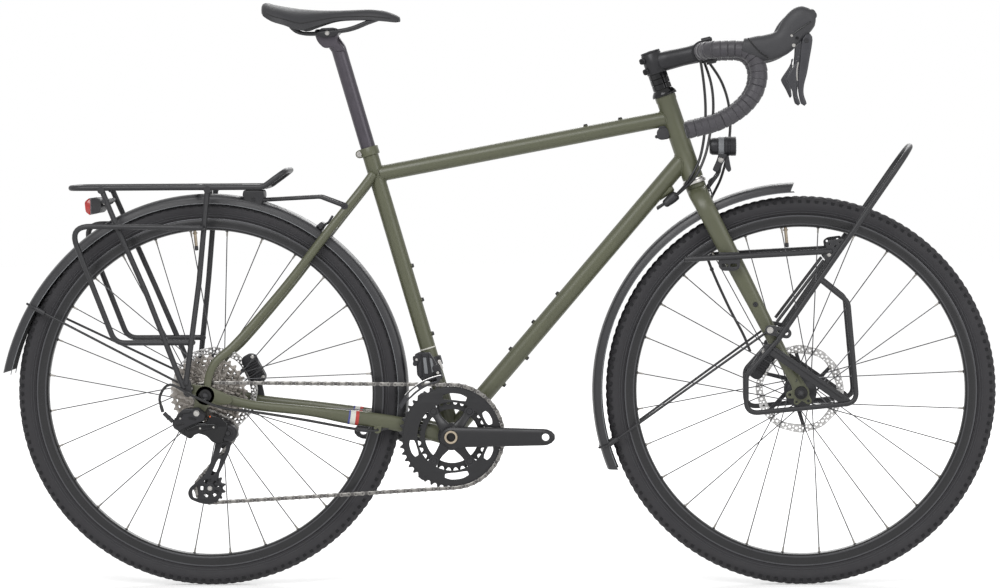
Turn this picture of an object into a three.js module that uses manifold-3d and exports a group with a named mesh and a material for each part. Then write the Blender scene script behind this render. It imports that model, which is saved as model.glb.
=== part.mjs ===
// A touring bicycle: a steel frame and fork, mudguards, a rear carrier, a low front carrier and a lamp.
// Lengths are millimetres and angles are degrees. +X is forwards, +Y is the rider's left, +Z is up.
// The origin is on the ground, at the middle of the bicycle's length and width.

import * as THREE from "three";
import { mergeVertices } from "three/addons/utils/BufferGeometryUtils.js";
import Module from "manifold-3d";

const wasm = await Module();
wasm.setup();

// Fits shared by every piece
const SEAT_GAP = 0.3;
const WELD_GAP = 0.3;
const RUNNING_GAP = 0.5;
const CUP_GAP = 1;
const CUT_OVERRUN = 4;
const MERGE_DISTANCE = 1e-4;

// Facets of round forms
const WHEEL_FACETS = 32;
const DISC_FACETS = 24;
const HUB_FACETS = 12;
const TUBE_SIDES = 10;
const SLIM_SIDES = 6;
const WIRE_SIDES = 6;
const BAR_SIDES = 8;
const HOSE_SIDES = 6;
const BEND_PIECES = 2;
const HOOP_PIECES = 3;
const LINK_PIECES = 3;

// Wheels
const TYRE_RADIUS = 352.3;
const TYRE_WIDTH = 40;
const TREAD_WIDTH = 14;
const RIM_RADIUS = 317;
const RIM_DEPTH = 22.5;
const RIM_WIDTH = 25;
const RIM_CROWN_WIDTH = 11;
const RIM_WALL_SHARE = 0.62;
const TYRE_SHOULDER_SHARES = [1, 0.56];
const VALVE_LENGTH = 36;
const VALVE_RADIUS = 3;
const SPOKE_COUNT = 24;
const SPOKE_RADIUS = 1;
const VALVE_ANGLE = 7;
const SPOKE_SIDES = 3;
const SPOKE_CROSSINGS = 3;
const WHEELBASE = 1068;

// Hubs and thru axles
const AXLE_RADIUS = 6;
const AXLE_HEAD_RADIUS = 12.5;
const AXLE_HEAD_LENGTH = 4.5;
const AXLE_HEX_RADIUS = 4.2;
const AXLE_HEX_DEPTH = 3;
const FRONT_HUB_WIDTH = 100;
const REAR_HUB_WIDTH = 142;
const FLANGE_RADIUS = 29;
const FLANGE_THICKNESS = 6;
const SPOKE_CIRCLE_RADIUS = 24;
const SPOKE_ROOT_OFFSET = 0.8;
const SPOKE_LACING = 1.15;
const FLANGE_FACETS = SPOKE_COUNT / 2;
const DYNAMO_RADIUS = 26;
const FRONT_FLANGE_SPREAD = 27;
const REAR_SHELL_RADIUS = 13;
const REAR_FLANGE_RIGHT = 15.5;
const REAR_FLANGE_LEFT = 33;
const HUB_CAP_RADIUS = 9.5;
const DRIVE_SLEEVE_RADIUS = 8.3;

// Brake rotors and callipers
const ROTOR_RADIUS = 80;
const ROTOR_TRACK = 14;
const ROTOR_THICKNESS = 1.8;
const ROTOR_BORE_RADIUS = 17.4;
const ROTOR_CARRIER_RADIUS = 24;
const ROTOR_ARM_WIDTH = 7;
const ROTOR_ARMS = 6;
const ROTOR_INSET_FRONT = 10.5;
const ROTOR_INSET_REAR = 15.3;
const CALLIPER_LENGTH = 58;
const CALLIPER_HEIGHT = 28;
const CALLIPER_INSIDE = 11;
const CALLIPER_OUTSIDE = 16;
const FRONT_CALLIPER_ANGLE = 147;
const REAR_CALLIPER_ANGLE = 28;
const CALLIPER_REACH = 83;
const CALLIPER_FOOT_RADIUS = 7;
const CALLIPER_CHAMFER = 7;
const PAD_GAP = 1.2;
const FRONT_CALLIPER_FOOT = [-44, 418];
const REAR_CALLIPER_FOOT = [84, 338];

// Frame layout
const CHAINSTAY_LENGTH = 448;
const BOTTOM_BRACKET_DROP = 77;
const SEAT_ANGLE = 73.85;
const HEAD_ANGLE = 71.5;
const SEAT_TUBE_LENGTH = 541;
const HEAD_TUBE_LENGTH = 157;
const TOP_TUBE_ON_SEAT_TUBE = 490;
const TOP_TUBE_BELOW_HEAD_TOP = 41;
const DOWN_TUBE_ABOVE_HEAD_BOTTOM = 41;
const DOWN_TUBE_ABOVE_BRACKET = 5;
const SEAT_TUBE_WALL = 0.6;
const TOP_TUBE_RADIUS = 14.3;
const DOWN_TUBE_RADIUS = 15.9;
const HEAD_TUBE_WALL = 2.2;
const HEAD_TUBE_CLEARANCE = 1.5;
const HEAD_LIP = 0.9;
const HEAD_LIP_HEIGHT = 9;
const BOSS_RADIUS = 4;
const BOSS_HEIGHT = 2.6;
const BOTTLE_BOSS_SPACING = 64;
const TOP_TUBE_BOSSES = [156, 92.5];
const UPPER_BOSS_SHARES = [2.85, 3.85, 4.9];
const LOWER_BOSS_SHARES = [1.95, 2.95];
const SEAT_TUBE_BOSS_SHARES = [2.9, 3.9, 4.9];
const PORT_BELOW_HEAD = 62;
const PORT_LENGTH = 32;
const PORT_RADIUS = 9;
const BAND_ON_SEAT_TUBE = 161;
const BAND_HEIGHT = 5;

// Seat post and saddle
const POST_RADIUS = 13.6;
const POST_BORE_DEPTH = 250;
const POST_INSERT = 165;
const POST_RISE = 186;
const POST_SETBACK = 12;
const COLLAR_RADIUS = 17.6;
const COLLAR_HEIGHT = 15;
const COLLAR_EAR = 9;
const RAIL_RADIUS = 3.5;
const RAIL_PIECES = 8;
const CRADLE_LENGTH = 40;
const CRADLE_WIDTH = 54;
const CRADLE_HEIGHT = 11;
// The rails, the cradle and the saddle are placed from the bend at the top of the post.
const RAIL_ROUTE = [
  [-100.1, 34, 59.1],
  [-89.1, 32, 46.1],
  [-62.4, 22, 27.6],
  [11.9, 22, 33],
  [54.3, 17, 47.1],
  [78.9, 9, 55.1],
  [82.9, 0, 56.1],
];
const CRADLE_PLACE = [-18.1, 30.1];
const SADDLE_STATIONS = [
  [-135.6, 79.6, 69.1, 34],
  [-130.1, 83.3, 55.1, 57],
  [-113.1, 80.4, 44.1, 69],
  [-91.1, 76.1, 37.1, 72],
  [-65.1, 72.3, 27.6, 64],
  [-43.1, 70.3, 34.1, 49],
  [-23.1, 69.4, 41.1, 38],
  [0.9, 69.1, 47.6, 29],
  [30.9, 69.8, 49.1, 24],
  [60.9, 70.3, 48.1, 21.5],
  [85.9, 66.7, 46.6, 20],
  [102.9, 60.6, 45.6, 17.5],
  [110.9, 56.1, 47.1, 12],
];
const SADDLE_SHELL = 13;

// Bottom bracket, cranks and chainrings
const SHELL_RADIUS = 20.5;
const SHELL_BORE = 17.5;
const SHELL_WIDTH = 68;
const CUP_RADIUS = 21.5;
const CUP_WIDTH = 9.5;
const SPINDLE_RADIUS = 12;
const SPINDLE_BORE_RADIUS = 8;
const SPINDLE_BORE_DEPTH = 30;
const CRANK_LENGTH = 170;
const CRANK_INNER_FACE = 58;
const CRANK_THICKNESS = 14;
const CRANK_LEAN_SHARE = 0.047;
const CRANK_ROOT_RADIUS = 18;
const CRANK_END_RADIUS = 14;
const PEDAL_HOLE_RADIUS = 7.1;
const SPIDER_BOLT_CIRCLE = 110;
const SPIDER_HUB_RADIUS = 25;
const SPIDER_TAB_RADIUS = 8.5;
const SPIDER_ANGLES = [54, 126, 234, 306];
const CHAINRING_BOLT_RADIUS = 4.6;
const RING_THICKNESS = 2;
const OUTER_RING_PLANE = 50.6;
const INNER_RING_PLANE = 43.1;
const RING_WEB_WIDTH = 12;

// Chain, sprockets and derailleurs
const CHAIN_PITCH = 12.7;
const CHAIN_PLATE_HEIGHT = 8.2;
const CHAIN_WIDTH = 4.9;
const CHAIN_GROOVE = 2.7;
const TOOTH_HEIGHT = 1.9;
const TOOTH_ROOT = 3.4;
const OUTER_RING_TEETH = 46;
const INNER_RING_TEETH = 30;
const SPROCKET_TEETH = [11, 13, 15, 17, 19, 21, 23, 25, 27, 30, 34];
const SPROCKET_SPACING = 3.95;
const SPROCKET_THICKNESS = 1.6;
const SMALL_SPROCKET_PLANE = 63;
const FREEHUB_RADIUS = 17;
const GUIDE_TEETH = 11;
const TENSION_TEETH = 13;
const PULLEY_THICKNESS = 2;
const PULLEY_BOLT_RADIUS = 2.6;
const GUIDE_PLACE = [33, -64.7];
const TENSION_PLACE = [5.4, -168.2];
const CAGE_PIVOT_PLACE = [41, -67.7];
const CAGE_CLEARANCE = 4.2;
const CAGE_PLATE = 1.6;
const CAGE_GUIDE_RADIUS = 15;
const CAGE_TENSION_RADIUS = 19;
const CAGE_PIVOT_RADIUS = 5;
const CAGE_WINDOW_RADIUS = 7;
const KNUCKLE_RADIUS = 17;
const KNUCKLE_LENGTH = 16;
const HANGER_BOLT_PLACE = [-14.5, -31];
const UPPER_KNUCKLE_PLACE = [-52, -52];
const LINKAGE_THICKNESS = 13;
const LINKAGE_RADIUS = 12;
const SHIFTER_PLATE = 1.4;
const SHIFTER_ARC = [97, 153];
const SHIFTER_ROOF_ARCS = [
  [97, 116],
  [139, 153],
];
const SHIFTER_LIFT = 3.7;
const SHIFTER_DEPTH = 16;
const SHIFTER_CLEARANCE = 2.5;
const SHIFTER_PIECES = 6;
const SHIFTER_BODY = [
  [372, 418],
  [380, 424],
  [398, 420],
  [416, 398],
  [424, 388],
  [418, 372],
  [396, 386],
];

// Rear ends, stays and their plates
const STAY_SIDES = 6;
const CHAINSTAY_STATIONS = [
  [423, 274, 24, 32, 20],
  [390, 283, 29, 30, 17],
  [351, 293.5, 34, 27, 13],
  [300, 303, 43, 26, 14],
  [256, 309, 52, 25, 15],
  [185, 320.7, 60, 18, 13],
  [86, 332, 66.5, 17, 12],
  [40, 343, 69, 17, 11],
  [14, 347, 74, 15, 7],
];
const SEATSTAY_STATIONS = [
  [300, 745, 15, 16, 13],
  [284, 722, 19, 17, 13],
  [222, 645, 32.5, 16, 12.5],
  [152.6, 555.8, 40, 16, 12.5],
  [90, 482, 51, 16, 12],
  [47.8, 436, 61, 16, 12],
  [19, 411, 69.5, 15, 11],
  [6, 384, 74, 14, 7],
  [4, 366, 74.5, 13, 7],
];
const DROPOUT_RADIUS = 18;
const DROPOUT_THICKNESS = 7;
const EYELET_PLACE = [-27, 13];
const EYELET_RADIUS = 8;
const HANGER_RADIUS = 9;
const BRIDGE_RADIUS = 6;
const SEAT_BRIDGE_PLACE = [226.5, 650.5];
const CHAIN_BRIDGE_PLACE = [388, 288];

// Fork, headset, stem and handlebar
const FORK_RAKE = 59.6;
const CROWN_HEIGHT = 414;
const LOWER_CUP_HEIGHT = 10;
const UPPER_CUP_HEIGHT = 12;
const CUP_FLARE_RADIUS = 22.3;
const STEERER_RADIUS = 14.3;
const SPACER_WALL = 1.5;
const SPACER_HEIGHT = 30;
const STEM_CLAMP_HEIGHT = 38;
const STEM_CLAMP_WALL = 3.6;
const STEM_LENGTH = 90;
const STEM_DROP_ANGLE = 5.6;
const STEM_RADIUS = 17.5;
const STEM_CAP_HEIGHT = 4;
const BAR_CLAMP_WALL = 4.3;
const BAR_CLAMP_WIDTH = 42;
const BAR_RADIUS = 15.9;
const BAR_REACH = 97;
const BAR_DROP = 139;
const BAR_HALF_WIDTH = 220;
const CROWN_RADIUS = 18.4;
const CROWN_DEPTH = 17;
const BLADE_STATIONS = [
  [400, 0, 22, 36],
  [394, 22, 24, 36],
  [376, 38.5, 24, 34],
  [345, 43.5, 23, 33],
  [240, 47.5, 20.5, 30],
  [160, 50.5, 18.5, 26],
  [80, 53.5, 16, 23],
  [7, 54.5, 9, 19],
];
const FORK_END_RADIUS = 15;
const FORK_END_THICKNESS = 8;
const FORK_BOSS_HEIGHTS = [124.4];
const FORK_BOSS_RADIUS = 6;
const FORK_BOSS_REACH = 62;
const BAR_STATION_SHARES = [
  [0, 0.75, 0],
  [0.0515, 0.8773, 0],
  [0.2268, 0.9591, 0.0072],
  [0.6804, 0.9909, 0.0072],
  [0.8866, 0.9955, -0.0719],
  [0.9897, 1, -0.2158],
  [0.9897, 1.0045, -0.3957],
  [0.8866, 1.0136, -0.5755],
  [0.6495, 1.0273, -0.7482],
  [0.2577, 1.0409, -0.8993],
  [-0.2887, 1.0591, -1],
];
const HOOD_PLANE = 219;
const HOOD_SIDES = 8;
const HOOD_STATIONS = [
  [74, 7, 30, 36],
  [100, 2, 44, 37],
  [128, 8, 44, 35],
  [151, 22, 46, 34],
  [167, 42, 43, 33],
  [173, 55, 35, 30],
  [175, 65, 20, 21],
];
const HOOD_SLOT_RADIUS = 27;
const LEVER_WIDTH = 13;
const LEVER_PIVOT = [180, 15];
const LEVER_PIN_RADIUS = 2.5;
const LEVER_OUTLINE = [
  [196, 30],
  [196, 14],
  [189, 0],
  [179, -28],
  [173, -60],
  [174, -80],
  [180, -98],
  [172, -102],
  [164, -82],
  [160, -56],
  [163, -26],
  [170, 2],
  [172, 22],
  [182, 32],
];
const PADDLE_OUTLINE = [
  [150, -34],
  [147, -52],
  [159, -80],
  [162.5, -83],
  [161, -76],
  [157.5, -56],
  [159.5, -34],
];
const PADDLE_WIDTH = 11;
const PADDLE_PIN_HEIGHT = -38;
const PADDLE_PIN_RADIUS = 1.6;

// Mudguards, carriers and lamps
const GUARD_WIDTH = 50;
const GUARD_WALL = 1.6;
const GUARD_SKIRT = 18;
const FRONT_GUARD_RADIUS = 375;
const REAR_GUARD_RADIUS = 361;
const REAR_GUARD_FLARE = 19;
const FRONT_GUARD_ARC = [91.5, 202];
const REAR_GUARD_ARC = [-10.5, 174.4];
const REAR_FLARE_START = 125;
const FRONT_GUARD_PIECES = 11;
const REAR_GUARD_PIECES = 17;
const STAY_WIRE_RADIUS = 2.2;
const FRONT_STAY_ANGLE = 195.5;
const REAR_STAY_ANGLE = 153.6;
const RACK_TUBE_RADIUS = 5;
const RACK_SIDES = 6;
const RACK_BEND = 30;
const DECK_CORNERS = [
  [146, 753],
  [106, 724],
  [-244, 724],
];
const DECK_HALF_WIDTH = 60;
const DECK_CROSSBARS = [-20];
const REAR_LEGS = [
  [[6, 722], [-10, 555], [-33, 372]],
  [[-186, 722], [-160, 660], [-107, 538], [-37, 364]],
];
const LEG_HALF_WIDTH = 68;
const LEG_FOOT_HALF_WIDTH = 90;
const LUG_BOLT_RADIUS = 4;
const LUG_THICKNESS = 5.4;
const PANNIER_CORNERS = [
  [-3, 652],
  [-205, 656],
  [-226, 650],
  [-233, 630],
  [-168, 462],
  [-150, 446],
  [-22, 446],
];
const PANNIER_HALF_WIDTH = 78;
const RACK_STRUT = [
  [92, 724, 16],
  [250, 680, 26.8],
];
const LAMP_BAR_PLACE = [-181, 700];
const FRONT_RACK_HALF_WIDTH = 76;
const FRONT_HOOP_BEND = 66;
const FRONT_HOOP = [
  [-40, 448],
  [197, 789],
];
const FRONT_RAIL = [
  [-205, 591],
  [54, 604],
];
const FRONT_LOOP = [
  [34.6, 553.6],
  [74, 521.5],
  [85, 495],
  [97, 355.7],
  [82, 332],
  [-80, 316.4],
  [-98, 334],
  [-98, 383],
  [-38.7, 448.7],
];
const FRONT_STRUT = [
  [-60, 430],
  [82, 332],
];
const FRONT_PLATE = [
  [51, 598],
  [68, 620],
];
const FRONT_FOOT = [
  [-55, 464],
  [-26, 458],
];
const FRONT_CLAMP = [-127, 588];
const FRONT_CLAMP_SIZE = [36, 26];
const STRUT_HALF_WIDTH = 6.5;
const STRUT_THICKNESS = 4;
const HEADLIGHT_PLACE = [-136.5, 791];
const HEADLIGHT_PROFILE = [
  [17, 23],
  [18.5, 17],
  [17.5, 6],
  [15, -8],
  [10, -20],
  [4, -25],
];
const HEADLIGHT_BRACKET = [
  [-169, 712],
  [-147, 741],
  [-138, 775],
];
const TAIL_LIGHT_PLACE = [-207, 690];
const TAIL_LIGHT_SIZE = [28, 78, 32];
const HOSE_RADIUS = 2.5;
const WIRE_RADIUS = 1.4;
const HOSE_STEP = 26;
const SHIFT_CABLE_ROUTES = [
  [
    [890, 955, -32],
    [897, 905, -25],
    [900, 860, -18],
    [898, 815, -17],
    [889, 769, -20],
    [871, 733, -25],
    [853, 711, -17],
    [836, 696, -8],
    [812, 681, -5],
  ],
  [
    [894, 955, 40],
    [910, 905, 24],
    [914, 860, 6],
    [909, 820, -8],
    [899, 775, -22],
    [882, 738, -31],
    [858, 713, -22],
    [838, 697, -4],
    [812, 679, 0],
  ],
];
const FRONT_HOSE_ROUTE = [
  [898, 955, 50],
  [930, 905, 47],
  [944, 850, 40],
  [941, 790, 36],
  [928, 735, 46],
  [907, 690, 57],
  [897, 650, 59.5],
  [895, 615, 55],
  [909, 570, 48],
  [940, 500, 48],
  [966, 450, 46],
  [979, 418, 43],
];
const DYNAMO_ROUTE = [
  [924, 770, -7],
  [925, 744, -9],
  [905, 728, -11],
  [911, 704, -22],
  [908, 686, -38],
];
const HOUSING_ROUTE = [
  [340, 292, -37],
  [302, 284, -45],
  [262, 289, -58],
  [180, 305, -67],
  [104, 318, -72],
  [30, 330, -89],
  [-20, 352, -99],
  [-60, 372, -99],
  [-80, 350, -92],
  [-76, 322, -85],
];
const HOUSING_GUIDE = [290, 270];
const HOUSING_GUIDE_RADIUS = 5;
const BARREL_RADIUS = 4;
const GROMMET = [
  [846, 703, -6],
  [826, 688, -5],
];
const GROMMET_RADIUS = 9;

// Places that follow from the driving sizes
const SEAT_TUBE_RADIUS = POST_RADIUS + SEAT_GAP + SEAT_TUBE_WALL;
const HEAD_TUBE_BORE = STEERER_RADIUS + HEAD_TUBE_CLEARANCE;
const HEAD_TUBE_RADIUS = HEAD_TUBE_BORE + HEAD_TUBE_WALL;
const SPACER_BORE = STEERER_RADIUS + SEAT_GAP;
const AXLE_HEIGHT = TYRE_RADIUS * Math.cos(Math.PI / WHEEL_FACETS);
const rearAxle = new THREE.Vector3(0, 0, AXLE_HEIGHT);
const frontAxle = new THREE.Vector3(WHEELBASE, 0, AXLE_HEIGHT);
const bracket = new THREE.Vector3(
  Math.sqrt(CHAINSTAY_LENGTH ** 2 - BOTTOM_BRACKET_DROP ** 2),
  0,
  AXLE_HEIGHT - BOTTOM_BRACKET_DROP,
);
const headRadians = THREE.MathUtils.degToRad(HEAD_ANGLE);
const seatRadians = THREE.MathUtils.degToRad(SEAT_ANGLE);
const steerUp = new THREE.Vector3(-Math.cos(headRadians), 0, Math.sin(headRadians));
const steerForward = new THREE.Vector3(Math.sin(headRadians), 0, Math.cos(headRadians));
const steerFoot = frontAxle.clone().addScaledVector(steerForward, -FORK_RAKE);
const seatUp = new THREE.Vector3(-Math.cos(seatRadians), 0, Math.sin(seatRadians));
const HEAD_BOTTOM = CROWN_HEIGHT + LOWER_CUP_HEIGHT;
const HEAD_TOP = HEAD_BOTTOM + HEAD_TUBE_LENGTH;
const STEM_BOTTOM = HEAD_TOP + UPPER_CUP_HEIGHT + SPACER_HEIGHT;
const STEM_TOP = STEM_BOTTOM + STEM_CLAMP_HEIGHT;
const frontRotorPlane = FRONT_HUB_WIDTH / 2 - ROTOR_INSET_FRONT;
const rearRotorPlane = REAR_HUB_WIDTH / 2 - ROTOR_INSET_REAR;
const pitchRadius = (teeth) => CHAIN_PITCH / (2 * Math.sin(Math.PI / teeth));

// Colours, roughness and metalness
const finish = (color, roughness, metalness) =>
  new THREE.MeshStandardMaterial({ color, roughness, metalness });
const paint = finish(0x565c40, 0.55, 0.2);
const blackAlloy = finish(0x222326, 0.5, 0.6);
const blackSteel = finish(0x1c1c1f, 0.5, 0.4);
const blackPlastic = finish(0x1a1a1c, 0.6, 0);
const rubber = finish(0x2b2b2d, 0.85, 0);
const silver = finish(0xb5b2ad, 0.35, 0.9);
const leather = finish(0x232325, 0.7, 0);
const redLens = finish(0xc8281e, 0.25, 0);

// Points and routes
const point = (x, y, z) => new THREE.Vector3(x, y, z);
const onSteering = (height, forward = 0) =>
  steerFoot.clone().addScaledVector(steerUp, height).addScaledVector(steerForward, forward);
// Turns an outline place counted from the front axle into the bicycle's frame.
const ahead = ([x, z]) => [frontAxle.x + x, z];
const onSeatTube = (height) => bracket.clone().addScaledVector(seatUp, height);
const mirrored = (places) => places.map((place) => point(place.x, -place.y, place.z));

class Route extends THREE.Curve {
  constructor(places) {
    super();
    this.places = places;
  }

  getPoint(share, target = new THREE.Vector3()) {
    const position = THREE.MathUtils.clamp(share, 0, 1) * (this.places.length - 1);
    const before = Math.min(Math.floor(position), this.places.length - 2);
    return target.lerpVectors(this.places[before], this.places[before + 1], position - before);
  }

  getPointAt(share, target) {
    return this.getPoint(share, target);
  }

  getTangentAt(share, target) {
    return this.getTangent(share, target);
  }
}

// Rounds the inner corners of a line of places with arcs of the bend radius.
function rounded(corners, bend, pieces = BEND_PIECES) {
  const route = [corners[0]];
  for (let i = 1; i < corners.length - 1; i++) {
    const back = corners[i - 1].clone().sub(corners[i]);
    const on = corners[i + 1].clone().sub(corners[i]);
    const reach = Math.min(bend / Math.tan(back.angleTo(on) / 2), back.length() / 2, on.length() / 2);
    const start = corners[i].clone().addScaledVector(back.normalize(), reach);
    const end = corners[i].clone().addScaledVector(on.normalize(), reach);
    route.push(...new THREE.QuadraticBezierCurve3(start, corners[i], end).getPoints(pieces));
  }
  route.push(corners.at(-1));
  return route.filter((place, i) => i === 0 || place.distanceTo(route[i - 1]) > MERGE_DISTANCE);
}

const smoothed = (places, pieces) => new THREE.CatmullRomCurve3(places).getPoints(pieces);

// Solids
function solidOf(geometry) {
  const bare = geometry.index ? geometry.toNonIndexed() : geometry.clone();
  for (const name of Object.keys(bare.attributes)) {
    if (name !== "position") bare.deleteAttribute(name);
  }
  const merged = mergeVertices(bare, MERGE_DISTANCE);
  const corners = [];
  for (let i = 0; i < merged.index.count; i += 3) {
    const face = [merged.index.getX(i), merged.index.getX(i + 1), merged.index.getX(i + 2)];
    if (new Set(face).size === 3) corners.push(...face);
  }
  const mesh = new wasm.Mesh({
    numProp: 3,
    vertProperties: merged.attributes.position.array,
    triVerts: new Uint32Array(corners),
  });
  return new wasm.Manifold(mesh);
}

function geometryOf(solid) {
  const mesh = solid.getMesh();
  const geometry = new THREE.BufferGeometry();
  geometry.setAttribute("position", new THREE.BufferAttribute(Float32Array.from(mesh.vertProperties), 3));
  geometry.setIndex(Array.from(mesh.triVerts));
  return geometry;
}

const join = (...pieces) => geometryOf(pieces.map(solidOf).reduce((whole, piece) => whole.add(piece)));
const cut = (piece, ...tools) =>
  geometryOf(tools.map(solidOf).reduce((rest, tool) => rest.subtract(tool), solidOf(piece)));

// Turns a skin's faces outwards where its volume comes out negative.
function outward(geometry) {
  const position = geometry.attributes.position;
  const index = geometry.index.array;
  const [a, b, c] = [point(0, 0, 0), point(0, 0, 0), point(0, 0, 0)];
  let volume = 0;
  for (let i = 0; i < index.length; i += 3) {
    a.fromBufferAttribute(position, index[i]);
    b.fromBufferAttribute(position, index[i + 1]);
    c.fromBufferAttribute(position, index[i + 2]);
    volume += a.dot(b.cross(c));
  }
  if (volume < 0) {
    for (let i = 0; i < index.length; i += 3) {
      [index[i + 1], index[i + 2]] = [index[i + 2], index[i + 1]];
    }
  }
  return geometry;
}

// Joins rings of matching points into one closed skin, with flat ends or end to end.
function loft(rings, endless = false) {
  const count = rings[0].length;
  const index = [];
  const spans = endless ? rings.length : rings.length - 1;
  for (let ring = 0; ring < spans; ring++) {
    const next = (ring + 1) % rings.length;
    for (let i = 0; i < count; i++) {
      const j = (i + 1) % count;
      index.push(ring * count + i, ring * count + j, next * count + j);
      index.push(ring * count + i, next * count + j, next * count + i);
    }
  }
  if (!endless) {
    const last = (rings.length - 1) * count;
    for (let i = 1; i < count - 1; i++) {
      index.push(0, i + 1, i);
      index.push(last, last + i, last + i + 1);
    }
  }
  const geometry = new THREE.BufferGeometry();
  const places = rings.flat().flatMap((place) => [place.x, place.y, place.z]);
  geometry.setAttribute("position", new THREE.Float32BufferAttribute(places, 3));
  geometry.setIndex(index);
  return outward(geometry);
}

// Rings of an oval section along a route. Each row holds a place, the height across and the width sideways.
function ovalRings(rows, sides, sideways = point(0, 1, 0)) {
  return rows.map(([place, height, width], i) => {
    const before = rows[Math.max(i - 1, 0)][0];
    const after = rows[Math.min(i + 1, rows.length - 1)][0];
    const along = after.clone().sub(before).normalize();
    const across = along.clone().cross(sideways).normalize();
    const side = across.clone().cross(along).normalize();
    return Array.from({ length: sides }, (_, k) => {
      const turn = (2 * Math.PI * (k + 0.5)) / sides;
      return place
        .clone()
        .addScaledVector(across, (Math.cos(turn) * height) / 2)
        .addScaledVector(side, (Math.sin(turn) * width) / 2);
    });
  });
}

function polygon(radius, sides, start = 0) {
  return Array.from({ length: sides }, (_, i) => {
    const turn = start + (2 * Math.PI * i) / sides;
    return new THREE.Vector2(radius * Math.cos(turn), radius * Math.sin(turn));
  });
}

function tube(places, radius, sides, turn = 0) {
  return new THREE.ExtrudeGeometry(new THREE.Shape(polygon(radius, sides, turn)), {
    steps: places.length - 1,
    bevelEnabled: false,
    extrudePath: new Route(places),
  });
}

// Turns a solid drawn about Y so that it lies along a direction, with its facets square to the bicycle.
function aligned(geometry, start, direction) {
  const along = direction.clone().normalize();
  const sideways = Math.abs(along.y) > Math.abs(along.x) + Math.abs(along.z);
  const reference = sideways ? point(0, 0, 1) : point(0, 1, 0);
  const across = along.clone().cross(reference).normalize();
  const side = across.clone().cross(along);
  const turn = new THREE.Matrix4().makeBasis(across, along, side);
  return geometry.applyMatrix4(turn).translate(start.x, start.y, start.z);
}

function rod(start, end, radius, sides = TUBE_SIDES, endRadius = radius) {
  const along = end.clone().sub(start);
  const middle = start.clone().add(end).multiplyScalar(0.5);
  const cylinder = new THREE.CylinderGeometry(
    endRadius, radius, along.length(), sides, 1, false, Math.PI / sides,
  );
  return aligned(cylinder, middle, along);
}

// A rod that runs across the bicycle between two distances from its middle plane.
const crossRod = (x, z, from, to, radius, sides = HUB_FACETS) =>
  rod(point(x, from, z), point(x, to, z), radius, sides);

// Revolves a closed profile of [radius, place along Y] rows about the Y axis.
function revolve(rows, facets, turn = Math.PI / facets) {
  const profile = rows.map(([radius, along]) => new THREE.Vector2(radius, along));
  profile.push(profile[0].clone());
  return outward(new THREE.LatheGeometry(profile, facets, turn));
}

// A flat plate across Y, cut from a shape drawn in X and Z.
function plate(shape, from, to) {
  const low = Math.min(from, to);
  const high = Math.max(from, to);
  return new THREE.ExtrudeGeometry(shape, { depth: high - low, bevelEnabled: false })
    .rotateX(Math.PI / 2)
    .translate(0, high, 0);
}

// The outline round two circles of different size, as on a crank or a link.
function linkShape(start, end, startRadius, endRadius, pieces = LINK_PIECES) {
  const [x, z] = [end[0] - start[0], end[1] - start[1]];
  const heading = Math.atan2(z, x);
  const tangent = Math.acos((startRadius - endRadius) / Math.hypot(x, z));
  const outline = [];
  for (let i = 0; i <= pieces; i++) {
    const turn = heading - tangent + (2 * tangent * i) / pieces;
    outline.push(new THREE.Vector2(end[0] + endRadius * Math.cos(turn), end[1] + endRadius * Math.sin(turn)));
  }
  for (let i = 0; i <= pieces; i++) {
    const turn = heading + tangent + ((2 * Math.PI - 2 * tangent) * i) / pieces;
    outline.push(
      new THREE.Vector2(start[0] + startRadius * Math.cos(turn), start[1] + startRadius * Math.sin(turn)),
    );
  }
  return new THREE.Shape(outline);
}

const link = (start, end, startRadius, endRadius, from, to, pieces) =>
  plate(linkShape(start, end, startRadius, endRadius, pieces), from, to);

function piece(name, geometry, material) {
  const mesh = new THREE.Mesh(geometry, material);
  mesh.name = name;
  return mesh;
}

function assembly(place, ...children) {
  const group = new THREE.Group();
  group.position.copy(place);
  group.add(...children);
  return group;
}

// Wheels, drawn about their own axles
function tyreSolid() {
  const seat = RIM_RADIUS + SEAT_GAP / Math.cos(Math.PI / WHEEL_FACETS);
  const height = TYRE_RADIUS - seat;
  const [shoulderWidth, shoulderHeight] = TYRE_SHOULDER_SHARES;
  const side = [
    [TYRE_RADIUS, TREAD_WIDTH / 2],
    [seat + height * shoulderHeight, (TYRE_WIDTH / 2) * shoulderWidth],
    [seat, RIM_WIDTH / 2],
  ];
  const other = side.map(([radius, along]) => [radius, -along]).reverse();
  return revolve([...side, ...other].reverse(), WHEEL_FACETS);
}

function rimSolid() {
  const inner = RIM_RADIUS - RIM_DEPTH;
  const wall = RIM_RADIUS - RIM_DEPTH * RIM_WALL_SHARE;
  const side = [
    [RIM_RADIUS, RIM_WIDTH / 2],
    [wall, RIM_WIDTH / 2],
    [inner, RIM_CROWN_WIDTH / 2],
  ];
  const other = side.map(([radius, along]) => [radius, -along]).reverse();
  const hoop = revolve([...side, ...other].reverse(), WHEEL_FACETS);
  const [valveTop, valveTip] = [inner + RIM_DEPTH / 2, inner - VALVE_LENGTH];
  const valve = rod(point(0, 0, valveTop), point(0, 0, valveTip), VALVE_RADIUS, WIRE_SIDES);
  valve.rotateY(-THREE.MathUtils.degToRad(VALVE_ANGLE));
  return join(hoop, valve);
}

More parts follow.
